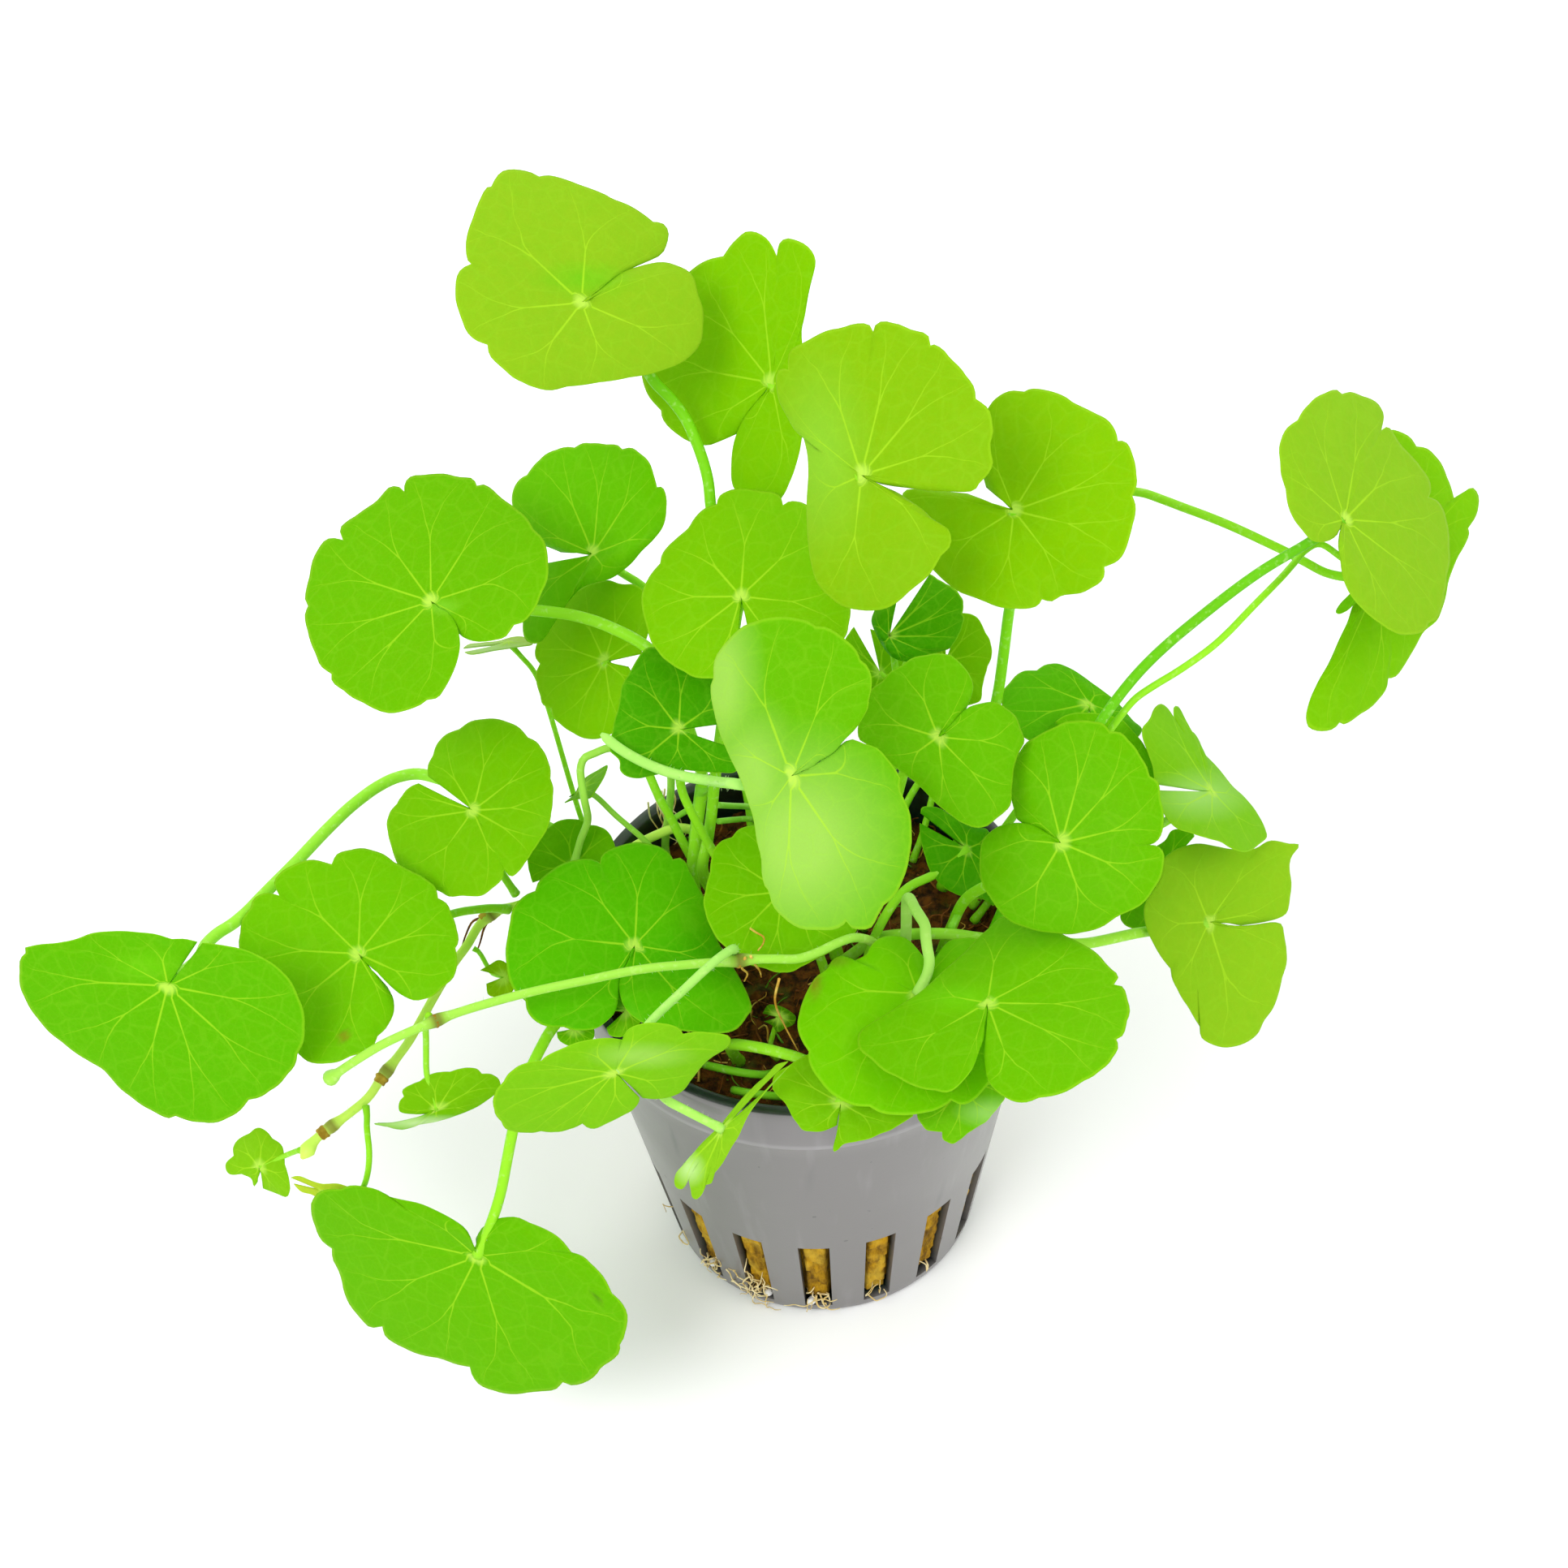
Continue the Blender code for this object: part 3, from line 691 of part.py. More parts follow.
def grow():
    """All blades, runners and stalks, settled."""
    blades = {k: Blade(k) for k in LEAVES}
    settle(blades, OVER)
    field = Field()
    maps = {}
    for k, b in blades.items():
        v, f = b.coarse(COARSE_KEEP, COARSE_RINGS)
        field.add(k, v, f)
        maps[k] = depth_map(v, f)
    keys = list(blades)
    fronts = {}
    for k in keys:
        m = np.full((SIZE, SIZE), np.inf)
        for j in keys:
            if j != k:
                m = np.minimum(m, maps[j])
        fronts[k] = m
    full = np.full((SIZE, SIZE), np.inf)
    for j in keys:
        full = np.minimum(full, maps[j])
    full = least_round(full, 1)
    luck = np.random.default_rng(11)
    runners = {}
    for name in RUNNERS:
        base, radius, pts, raw = runner_keys(name)
        if name != "B":
            for q in range(len(pts)):
                iu, iv = int(round(raw[q, 0] / GRID)), int(round(raw[q, 1] / GRID))
                lim = full[iv, iu] - radius - 0.7
                _, _, dd = seen_at(pts[q])
                if q > {"A": 0, "S": 2}.get(name, 99) and dd > lim and np.isfinite(lim):
                    pts[q] = at_depth(raw[q : q + 1, 0], raw[q : q + 1, 1], np.array([lim]))[0]
        path = ease_runner(name, base, radius, pts, field, luck)
        runners[name] = (path, radius)
        RUNNER_AT[name] = path
        v, f = tube(path[::2], radius, 5)
        field.add("run" + name, v, f)
    order = sorted(keys, key=lambda k: (0 if stalk_marks(blades[k].stalk[2]) else 1, -blades[k].stalk[1]))
    stalks, costs = {}, {}
    for turn in range(2):
        for k in order:
            if turn and costs[k] < WELL:
                continue
            cost, p = route(blades[k], field, fronts, maps, luck)
            costs[k] = cost
            stalks[k] = p
            v, f = tube(p[::2] if len(p) > 12 else p, blades[k].stalk[1], 5)
            field.add(k + "_stalk", v, f)
    return blades, runners, stalks, costs, field


WELL = 12.0


MM = 0.001
BLADE_T = 0.4
SLOTS, SLOT_FIRST, SLOT_HALF, SLOT_Z = 17, -0.071, 0.085, (1.7, 17.0)
COLLECTION = "brazilian_pennywort_in_net_pot"

for old in list(bpy.data.objects):
    bpy.data.objects.remove(old, do_unlink=True)
shown = bpy.data.collections.new(COLLECTION)
bpy.context.scene.collection.children.link(shown)
cutters = bpy.data.collections.new("cutters")
bpy.context.scene.collection.children.link(cutters)
cutters.hide_render = True


def finish(name, rgb, rough, alpha=1.0):
    m = bpy.data.materials.new(name)
    m.use_nodes = True
    p = m.node_tree.nodes["Principled BSDF"]
    p.inputs["Base Color"].default_value = (*rgb, 1.0)
    p.inputs["Roughness"].default_value = rough
    p.inputs["Alpha"].default_value = alpha
    return m


LEAF = finish("leaf_green", (0.16, 0.62, 0.01), 0.45)
STEM = finish("stem_green", (0.30, 0.70, 0.05), 0.5)
GREY = finish("pot_grey", (0.12, 0.13, 0.15), 0.35)
WOOL = finish("rockwool", (0.30, 0.20, 0.08), 0.95)


def put(name, v, f, material, where=None):
    mesh = bpy.data.meshes.new(name)
    mesh.from_pydata((np.asarray(v) * MM).tolist(), [], [tuple(int(i) for i in t) for t in f])
    mesh.materials.append(material)
    mesh.update()
    ob = bpy.data.objects.new(name, mesh)
    (where or shown).objects.link(ob)
    return ob


def thick(v, f, t):
    """A sheet made solid: t thick, half to each side."""
    v, f = np.asarray(v, float), np.asarray(f, int)
    n = np.zeros_like(v)
    c = np.cross(v[f[:, 1]] - v[f[:, 0]], v[f[:, 2]] - v[f[:, 0]])
    for k in range(3):
        np.add.at(n, f[:, k], c)
    n /= np.linalg.norm(n, axis=1)[:, None] + 1e-12
    m = len(v)
    seen = {(int(a), int(b)) for t3 in f for a, b in ((t3[0], t3[1]), (t3[1], t3[2]), (t3[2], t3[0]))}
    rim = []
    for a, b in seen:
        if (b, a) not in seen:
            rim += [(b, a, a + m), (b, a + m, b + m)]
    rim.sort()
    return np.vstack([v + n * t / 2, v - n * t / 2]), np.vstack([f, f[:, ::-1] + m, np.array(rim)])


def thin_path(p, most):
    idx = list(range(len(p)))
    while len(idx) > most:
        q = p[idx]
        area = np.linalg.norm(np.cross(q[1:-1] - q[:-2], q[2:] - q[:-2]), axis=1)
        span = np.linalg.norm(q[2:] - q[:-2], axis=1)
        del idx[1 + int(np.argmin(area + 0.02 * span**2))]
    return p[idx]


def baked(ob):
    """The object with its modifiers' result as its mesh."""
    bpy.context.view_layer.update()
    graph = bpy.context.evaluated_depsgraph_get()
    mesh = bpy.data.meshes.new_from_object(ob.evaluated_get(graph))
    ob.modifiers.clear()
    ob.data = mesh
    return ob


def faults(mesh):
    """How many edges don't join exactly two faces, and how many shells there are beyond one."""
    owners = {}
    for poly in mesh.polygons:
        for e in poly.edge_keys:
            owners.setdefault(e, []).append(poly.index)
    group = list(range(len(mesh.polygons)))

    def top_of(i):
        while group[i] != i:
            group[i] = group[group[i]]
            i = group[i]
        return i

    for own in owners.values():
        for i in own[1:]:
            group[top_of(i)] = top_of(own[0])
    return sum(1 for own in owners.values() if len(own) != 2) + len({top_of(i) for i in range(len(group))}) - 1


def leaf_solid(name, blade, path, keep, rings, tame, solver="EXACT"):
    v, f = blade.coarse(keep, rings, tame)
    leaf = put(name, *thick(v, f, BLADE_T), LEAF)
    stalk = put("stalk", *tube(path, blade.stalk[1], 5), LEAF, cutters)
    m = leaf.modifiers.new("join", "BOOLEAN")
    m.operation, m.solver, m.object = "UNION", solver, stalk
    m.use_self = solver == "EXACT"
    baked(leaf)
    bpy.data.objects.remove(stalk, do_unlink=True)
    leaf.data.name = name
    leaf.data.materials.clear()
    leaf.data.materials.append(LEAF)
    return leaf


blades, runners, stalks, costs, field = grow()

for key, blade in blades.items():
    path = stalks[key]
    length = np.linalg.norm(np.diff(path, axis=0), axis=1).sum()
    count = max(4, min(11, int(length / 7) + 3))
    first = COARSE_KEEP if blade.size > 4 else 11
    tries = [(first, COARSE_RINGS, 0.0), (first - 2, COARSE_RINGS, 0.0), (first - 3, (0.6, 1.0), 0.0)]
    tries += [(n, r, 1.0) for n in (first, first - 3, 11, 9) for r in (COARSE_RINGS, (0.6, 1.0))]
    tries += [(n, (1.0,), 1.0) for n in (13, 11, 9, 7)]
    tries = [(count, *t) for t in tries] + [(n, *t) for n in (count + 2, max(4, count - 2), count + 4) for t in tries[:7]]
    tries = [(*t, "EXACT") for t in tries] + [(count, n, r, 1.0, "MANIFOLD") for n in (13, 10, 8) for r in (COARSE_RINGS, (1.0,))]
    for count, keep, rings, tame, solver in tries:
        leaf = leaf_solid("leaf_" + key[1:], blade, thin_path(path, count), keep, rings, tame, solver)
        if not faults(leaf.data):
            break
        bpy.data.objects.remove(leaf, do_unlink=True)

RUNNER_NAMES = {"A": "runner_front", "C": "runner_left", "S": "stem_stub"}
for key, (path, radius) in runners.items():
    p = thin_path(path, 26 if key in "AC" else 12)
    r = np.full(len(p), radius)
    r[-1] *= 0.55
    if key != "S":
        r[-2] *= 1.6
    put(RUNNER_NAMES[key], *tube(p, r, 6), STEM)

# The pot: one turned wall with a solid floor and a rim, its slots cut through.
Z_LIP = POT_H - LIP_H
profile = [
    (0.0, POT_FLOOR), (wall_radius(POT_FLOOR) - POT_WALL, POT_FLOOR), (LIP_R - POT_WALL, Z_LIP),
    (LIP_R - POT_WALL + 0.2, POT_H - 0.4), (LIP_R - POT_WALL + 0.6, POT_H), (POT_R - 0.4, POT_H), (POT_R, POT_H - 0.5),
    (POT_R - 0.2, Z_LIP), (LIP_R + 0.05, Z_LIP - 0.4), (POT_BASE_R + 0.5, 0.6), (POT_BASE_R, 0.0), (0.0, 0.0),
]
TURNS = 68
v, f = [], []
ring = {}
for i, (r, z) in enumerate(profile):
    if r == 0.0:
        ring[i] = [len(v)]
        v.append((0.0, 0.0, z))
    else:
        ring[i] = list(range(len(v), len(v) + TURNS))
        for k in range(TURNS):
            a = SLOT_FIRST + 2 * math.pi * (k + 0.5) / TURNS
            v.append((r * math.sin(a), -r * math.cos(a), z))
for i in range(len(profile) - 1):
    a, b = ring[i], ring[i + 1]
    for k in range(TURNS):
        k2 = (k + 1) % TURNS
        if len(a) == 1:
            f.append((a[0], b[k], b[k2]))
        elif len(b) == 1:
            f.append((a[k], b[0], a[k2]))
        else:
            f += [(a[k], b[k], b[k2]), (a[k], b[k2], a[k2])]
pot = put("net_pot", v, f, GREY)
for s in range(SLOTS):
    a = SLOT_FIRST + s * 2 * math.pi / SLOTS
    out = np.array([math.sin(a), -math.cos(a), 0.0])
    side = np.array([math.cos(a), math.sin(a), 0.0])
    v = []
    for rr in (14.5, 26.0):
        for w in (-1, 1):
            for z in SLOT_Z:
                half = SLOT_HALF * float(wall_radius(z))
                v.append(out * rr + side * w * half + np.array([0, 0, z]))
    box = [(0, 1, 3), (0, 3, 2), (4, 6, 7), (4, 7, 5), (0, 4, 5), (0, 5, 1), (2, 3, 7), (2, 7, 6), (0, 2, 6), (0, 6, 4), (1, 5, 7), (1, 7, 3)]
    v, box = np.array(v), np.array(box)
    if np.linalg.det(v[box] - v.mean(0)).sum() < 0:
        box = box[:, ::-1]
    cutter = put("slot", v, box, GREY, cutters)
    cutter.display_type = "WIRE"
    m = pot.modifiers.new("slot", "BOOLEAN")
    m.operation, m.solver, m.object = "DIFFERENCE", "MANIFOLD", cutter
    baked(pot)
    bpy.data.objects.remove(cutter, do_unlink=True)

# The rockwool plug, a little smaller than the pot's inside.
PLUG = [(0.0, PLUG_TOP), (14.0, PLUG_TOP), (LIP_R - POT_WALL - 1.2, PLUG_TOP - 1.2)]
PLUG += [(float(wall_radius(z)) - POT_WALL - 0.5, z) for z in (38.0, 20.0, POT_FLOOR + 0.35)] + [(0.0, POT_FLOOR + 0.35)]
v, f, ring = [], [], {}
for i, (r, z) in enumerate(PLUG):
    if r == 0.0:
        ring[i] = [len(v)]
        v.append((0.0, 0.0, z))
    else:
        ring[i] = list(range(len(v), len(v) + 34))
        v += [(r * math.sin(k * math.pi / 17), -r * math.cos(k * math.pi / 17), z) for k in range(34)]
for i in range(len(PLUG) - 1):
    a, b = ring[i], ring[i + 1]
    for k in range(34):
        k2 = (k + 1) % 34
        if len(a) == 1:
            f.append((a[0], b[k], b[k2]))
        elif len(b) == 1:
            f.append((a[k], b[0], a[k2]))
        else:
            f += [(a[k], b[k], b[k2]), (a[k], b[k2], a[k2])]
put("rockwool_plug", v, f, WOOL)
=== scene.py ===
"""Brazilian pennywort in its net pot: fine blades, stalks, runners, pot, rockwool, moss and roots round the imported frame."""
import math

import bpy
import numpy as np
from mathutils import Matrix, Vector
from mathutils.bvhtree import BVHTree


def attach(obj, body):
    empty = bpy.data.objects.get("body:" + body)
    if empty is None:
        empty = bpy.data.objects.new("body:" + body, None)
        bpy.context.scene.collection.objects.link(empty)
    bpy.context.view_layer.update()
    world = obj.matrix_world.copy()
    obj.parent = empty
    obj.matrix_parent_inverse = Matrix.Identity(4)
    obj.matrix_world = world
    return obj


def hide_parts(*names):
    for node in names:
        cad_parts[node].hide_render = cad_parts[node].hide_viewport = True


# Outlines: window (origin and scale of the view), hub, then the points from one side of the sinus round to the other. n marks a notch, square brackets a guessed stretch.
WINDOWS = {'003':(360,520,3.136),'004':(620,720,3.015),'005':(1040,700,2.613),'006':(0,860,2.24),'007':(260,1240,2.8),'009':(560,960,3.015),'010':(940,1060,3.015),'012':(780,1330,5.058),'002':(1340,440,3.015),'p':(0,0,1.0)}
TRACES = {}
TRACES['L01']=('p',(716,374),"754,345 785,326 800,320 816,312 823,296 823,284 816,275 805,273n 797,267 773,252 751,243 746,240n 724,231 702,223 675,216 664,217n 653,212 629,209 617,212 609,221 605,230n 600,231 591,247 584,263 577,284 574,302 576,321 580,325n 572,329 565,336 561,351 561,367 565,382 574,407 586,419 600,425n 603,437 617,452 632,465 644,471n 656,477 678,481 698,477n 736,472 773,466 812,458 846,443 858,431 865,416 866,382 861,364n 852,338 834,327 816,323 785,329 767,336 739,358")
TRACES['L02']=('p',(952,472),"907,535 886,544 871,549 843,541 825,527 816,515 814,506n 800,489 794,477 791,465 [800,430 815,390 835,355] 852,332 871,321 891,315n 907,295 918,286 935,287 944,293 953,306 957,315n 961,299 969,294 981,296 993,301 1002,312 1005,324 1001,342 996,364 992,388 988,407 [990,440 995,480 992,515] 988,541 986,555n 982,569 975,590 964,612 [950,624 923,621] 904,601 901,572 904,547 910,529 920,511 935,492")
TRACES['L03']=('p',(1062,586),"1086,596 1103,599 1120,601 1141,604 1162,605 1189,606 1201,604 1207,596n 1220,580 1224,567 1222,560n 1220,546 1224,532 1222,515 1217,503 1203,491n 1200,477 1189,460 1176,446 1162,431 1151,424 1147,425n 1146,417 1138,410 1120,405 1103,398 1088,396 1079,400 1076,408n 1071,400 1055,399 1038,403 1021,407 1003,415 986,424 974,432 971,443 971,455n 962,454 957,460 956,474 960,494 969,512 981,532 990,539n 995,560 996,580 995,601 994,622 994,646 996,670 1000,698 1007,718 1021,735 1036,746 1055,751 1076,753 1093,749 1107,741 1120,730n 1129,722 1145,708 1160,685n 1170,675 1172,667 1169,653 1158,646 1148,639 1138,629 1120,617 1107,608 1089,601")
TRACES['L04']=('p',(1250,630),"[1215,600 1205,560 1208,525] 1219,500 1227,491 1244,482 1262,482n 1270,479 1289,481 1310,487 1322,496n 1330,500 1348,508 1365,518 1375,532 1378,543n 1386,544 1394,555 1399,574 1401,594 1396,611n 1399,622 1398,639 1392,660 1386,680 1377,691 1361,699n 1361,708 1355,718 1334,730 1324,732 1306,735 1296,741 1284,739n 1279,746 1265,750 1244,750 1224,746 1203,737 1184,731n 1169,720 1151,704 [1134,680 1120,653 1112,629] 1114,605 1140,604 1190,608")
TRACES['L05']=('p',(732,683),"[690,680 650,660] 631,622 633,603 641,590 649,585n 666,565 682,555 698,551 708,551n 720,546 743,547 762,549 767,553n 778,552 791,560 802,573 806,587 810,600n 816,600 821,613 821,632 816,651 806,664 791,679 778,694 765,705 752,713 733,718 717,724 701,740 688,756 679,772 666,791 657,793 647,788 [645,760 655,720 670,695]")
TRACES['L06']=('p',(532,742),"560,768 567,782 583,790 602,790 622,785 630,775 634,770n 644,767 657,753 663,743 668,729n 674,715 676,699 674,679 669,664 658,652n 647,636 634,625 622,617 609,605 596,597 588,598n 583,590 567,588 551,584 539,584 519,585 507,587 499,595 498,605n 492,600 481,600 472,608 462,619 446,630 427,643 419,652 422,665n 411,663 402,665 392,676 386,689 382,705 378,724 376,740 379,747n 376,756 378,775 384,794 389,807 395,820 408,831n 409,839 424,852 437,861 453,869 468,877n 481,879 504,874 523,866 526,863n 539,860 548,848 558,829 564,813 567,794 564,775 558,762 548,751")
TRACES['L07']=('p',(913,736),"[925,790 960,815 1000,815] 1041,785 1046,770 1048,753 [1043,720 1033,680 1013,640] 992,621 981,618 972,618 965,622n 962,613 953,607 938,605 923,603 907,602 895,606 886,612 883,621n 868,627 855,639 848,651 829,667 816,683 813,694n 800,711 792,727 791,750 797,772 799,783n 806,797 822,815 843,828n 852,833 865,836 877,836 [895,830 908,800]")
TRACES['L08']=('p',(746,815),"[790,806 800,775 800,745] 791,726 781,720 768,720 749,715 733,718 717,724 701,737 679,772 661,794 660,810 665,818n 660,833 665,855 669,868 679,873n 682,884 695,896 711,906 727,911 [752,905 775,880 788,850 775,822]")
TRACES['L09']=('p',(836,899),"[905,890 900,862 885,838 850,815 820,800] 799,798 789,806 779,823 766,846 763,866 756,892 752,915 751,926n 763,937 764,949 773,957 786,959 802,956 839,949 865,951 885,952 908,950 [912,925]")
TRACES['L10']=('p',(975,957),"998,947 1011,936 1028,926 1041,911 1055,897 1064,883 1070,871 1071,861n 1074,846 1073,830 1066,816 1060,813n 1056,803 1045,790 1031,780 1018,773 1005,771n 998,766 985,763 965,760 945,761 929,767n 919,770 905,780 892,795 882,810 879,823 879,834n 876,843 877,863 882,886 889,909 899,932 912,959 920,982 929,1012 933,1038 938,1058 939,1078 942,1092n 947,1098 952,1115 962,1128 978,1140 995,1146 1011,1146 1028,1145 1038,1141 1043,1136n 1048,1143 1061,1145 1073,1143 1081,1131 1089,1115n 1098,1108 1108,1095 1116,1075 1121,1052 1124,1038n 1123,1019 1121,1002 1114,985 1109,972 1110,959n 1104,949 1094,936 1081,922 1064,916 1048,911 1025,929 1011,939 998,946")
TRACES['L11']=('p',(1155,909),"1166,899 1182,884 1193,868 1199,845 1195,832 1185,819 1172,807n 1155,805 1140,807 1124,811 1109,821 1097,828 1086,840 1074,849 1069,861 1061,880 1057,895 1059,911 1069,918 1082,930 1097,941 1113,953 1128,964 1143,979 1159,995 1174,1006 1185,1014 1205,1020 1217,1018n 1228,1008 1239,1000 1245,991 1247,968 1249,949 1254,930 1262,914 1258,899 1252,884 1239,872 1224,865 1208,867 1193,872 1182,882 1170,895")
TRACES['L12']=('p',(1095,785),"1146,707 1158,715 1172,723 1182,732 1187,742 1186,756n 1188,761 1184,777 1177,790 1170,799 1158,803 [1130,815 1100,810] 1076,773 1074,763 [1085,740 1110,715]")
TRACES['L13']=('p',(1085,830),"1052,772 1041,789 1035,815 1045,850 1080,868 1110,855 1115,825 1105,795 1086,780 1072,775")
TRACES['L14']=('p',(1165,815),"1186,755 1200,758 1208,766 1213,777 1220,790 1222,808 1217,821n 1212,839 1210,850 1208,863 1180,870 1140,860 1125,820 1135,780 1165,760")
TRACES['L15']=('p',(1342,868),"[1322,934] 1262,909 1245,890 1234,865 1235,853 1245,840 1258,828 1277,826n 1289,819 1304,818 1323,826 1346,842 1369,859 1381,870 1396,888 1407,899 [1380,928 1352,934]")
TRACES['L16']=('p',(1350,960),"1300,889 1316,880 1339,878 1365,881 1384,888 1394,899 1407,914 1419,937 1428,976 1415,1020 1370,1045 1320,1040 1285,1000 1280,940")
TRACES['L17']=('p',(1308,1039),"1293,1025 1273,1018 1254,1010 1249,995 1245,979 1243,964 1244,949n 1254,930 1264,916 1277,907 1293,899 1300,895n 1316,889 1339,888 1358,891 1368,901n 1381,903 1396,918 1411,941 1417,956n 1427,964 1430,983 1434,1006 1432,1025 1425,1037 1417,1041n 1427,1043 1434,1052 1432,1075 1423,1094 1411,1110 1400,1119 1377,1129 1362,1140 1339,1148 1316,1151 [1270,1145] 1239,1131 1220,1106 1214,1098n 1208,1079 1207,1060 1208,1044 1210,1037n 1216,1029 1231,1018 1251,1014 1270,1016 1289,1025")
TRACES['L18']=('p',(1492,976),"[1423,966 1420,945] 1407,899 1415,888 1423,872 1430,867 1438,872 1446,884n 1447,870 1451,870 1459,884 1465,899n 1471,903 1478,914 1481,926 1488,933 1503,949 1518,968 1534,983 1549,1002 1559,1022 1561,1031 1553,1039 1541,1048 1530,1050 1515,1044 1503,1037 1488,1033 1469,1027 1453,1022 1442,1014 [1434,1002 1426,984 1423,974]")
TRACES['L19']=('p',(1488,1136),"1530,1140 1557,1136 1576,1131 1585,1125 1589,1110 1591,1090 1589,1071 1591,1056 1601,1041 1587,1039 1564,1036 1545,1046 1518,1046 1499,1043 1476,1039 1465,1041 1446,1048 1434,1058 1432,1075 1423,1094 1411,1113 1409,1125 1413,1144 1419,1159 1430,1178 1442,1194n 1444,1205 1453,1224 1465,1243 1478,1265n 1480,1278 1492,1286 1511,1291 1530,1287 1549,1274 1557,1259 1568,1243 1576,1221 1580,1205n 1585,1186 1585,1167n 1582,1152 1578,1138 1549,1140 1522,1144")
TRACES['L20']=('p',(1191,1046),"1134,1002 1136,995 1155,995 [1174,1006 1205,1020 1216,1022 1225,1050 1226,1090] 1224,1117 1220,1113 1205,1106 1185,1104 1170,1098 1159,1090 1147,1075 1140,1056 1134,1033 1133,1014")
TRACES['L21']=('p',(1217,1237),"1212,1279 1205,1299 1199,1315 1189,1329 1176,1342 1166,1346 1152,1344n 1139,1342 1119,1335 1104,1327n 1089,1319 1073,1305 1061,1296 1057,1286 1059,1272 1073,1261 1093,1249 1113,1236 1132,1224 1152,1206 1172,1188 1192,1170 1205,1156 1219,1143 1232,1131 1249,1127 1265,1128 1282,1131 1295,1140 1302,1146n 1312,1153 1328,1160 1345,1170 1358,1181 1368,1193 1378,1203 1373,1213n 1383,1216 1389,1229 1392,1246 1389,1259 1383,1276 1376,1281n 1378,1289 1371,1304 1361,1315 1348,1325 1336,1332n 1315,1344 1298,1350 1280,1353n 1265,1358 1249,1357 1235,1350 1225,1342 1217,1329 1214,1312 1213,1292")
TRACES['L22']=('p',(1131,1225),"1140,1199 1139,1183 1129,1168 1116,1156 1099,1153 1083,1156 1073,1166 1068,1176 1053,1183n 1036,1178 1025,1184 1020,1193 1006,1203 996,1219 985,1246 983,1266 988,1282 996,1296n 996,1305 1003,1322 1016,1339 1033,1354 1053,1362 1071,1364n 1083,1370 1103,1374 1126,1373 1149,1369 1169,1359 1172,1356n 1185,1361 1202,1354 1215,1339 [1235,1310 1245,1270 1240,1220] 1205,1158 1185,1156 1169,1160 1156,1176 1146,1193 1136,1213")
TRACES['L23']=('010',(290,905),"275,985 245,998 220,1007 185,1008 150,1003 125,975 105,945 85,905 60,880 35,850n 42,800 100,760 140,735 165,722 [250,700 350,720 450,800 520,880] 560,950n 520,975 480,1000 440,1015 400,1033 350,1045 300,1055 280,1075 262,1083 275,1020 285,960")
TRACES['L25']=('010',(740,840),"[620,830] 572,945 585,975 610,1003 640,1007 665,1010n 668,1035 680,1045 705,1053 730,1040 760,1015n 790,995 830,970 860,935 885,905n 900,880 [900,830 870,780 800,750 700,750 650,780]")
TRACES['L26']=('009',(1215,420),"[1330,330 1260,230 1180,180] 1105,172 1060,185 1030,215n 985,235 960,270 948,350n 935,400 925,455 932,500 955,560n 985,605 1030,640 1090,690n 1140,700 1200,718 1250,716 1285,700n 1340,670 1400,640 1440,612 1485,580n 1500,545 [1490,480 1440,400 1390,370]")
TRACES['L27']=('009',(670,620),"640,690 618,730 612,775 622,825 645,865 685,898 [760,925] 850,935 900,942 960,946 1010,943 1045,930 1075,900 1090,880n 1105,858 1098,825 1080,780 1055,730 1030,692 1000,640 985,612 965,572 948,525 938,480n 925,435 905,395 880,350 858,308 835,292 812,297n 800,278 770,256 730,241 680,235 620,245 580,260 548,283 541,312n 515,299 460,298 400,315 350,345 312,383 298,415n 270,427 240,452 215,487 205,530 197,590 190,640 193,700 205,750 228,792 262,826n 266,852 283,882 312,906 350,920 405,922n 430,931 480,933 530,925 562,902 592,872 606,822 600,762 610,720 632,682")
TRACES['L28']=('009',(640,860),"565,925 575,950 600,958 630,955 665,930 700,890 710,850 680,800 630,780 580,800 560,860")
TRACES['L29']=('009',(440,330),"290,385 275,330 272,290 285,245 300,215 322,188n 350,182n 380,158 440,148 488,160 500,170n 535,175 570,195 592,232n 600,270 [590,340 550,420 470,470 380,460 320,420]")
TRACES['L30']=('006',(1308,312),"1180,215 1182,185 1195,158n 1205,130 1225,105 1268,85n 1300,65 1345,57 1390,62 1430,80 1458,108n 1485,125 1505,155 1518,190 1520,222n 1527,250 1525,290 1520,330 1510,365n 1490,395 1470,425 1450,455n 1435,475 1410,493 1392,475n 1385,500 1360,525 1330,545 1290,548n 1275,546 1240,548 1215,535 [1150,515 1110,480] 1090,440 1078,405n 1068,350 1075,318 1095,292n 1108,272 1128,248 1155,235")
TRACES['L31']=('006',(990,708),"1070,800 1085,830 1087,865 1070,905 1042,935n 1030,960 1000,980 965,990n 930,1005 890,1010 850,1003 825,985n [760,900 700,800] 660,685 662,650 670,610 690,580n 700,555 735,538 770,545n 757,510 775,482 810,460 860,447 915,458n 930,432 970,418 1010,416 1055,430 1088,452n 1110,465 1160,490 1200,520 1210,552n 1235,570 1250,605 1262,640 1265,675 1258,690n 1262,730 1250,775 1222,797n 1195,822 1170,832 1145,835 1110,820 1085,800")
TRACES['L32']=('006',(465,793),"560,675 600,680 650,688n 690,700 740,725 790,765 815,805 835,855 842,900 838,945 822,985n 815,1010 790,1045 760,1075 720,1100 688,1110n 660,1140 630,1160 590,1172 540,1170 485,1155n 470,1160 430,1145 380,1115 335,1080 310,1055n 285,1025 240,1000 190,965 140,925 105,888n 80,850 60,810 53,765 57,720 75,697 68,688n 110,680 160,675 200,668 250,650 310,643 370,645 430,652 475,665n 510,665 545,672")
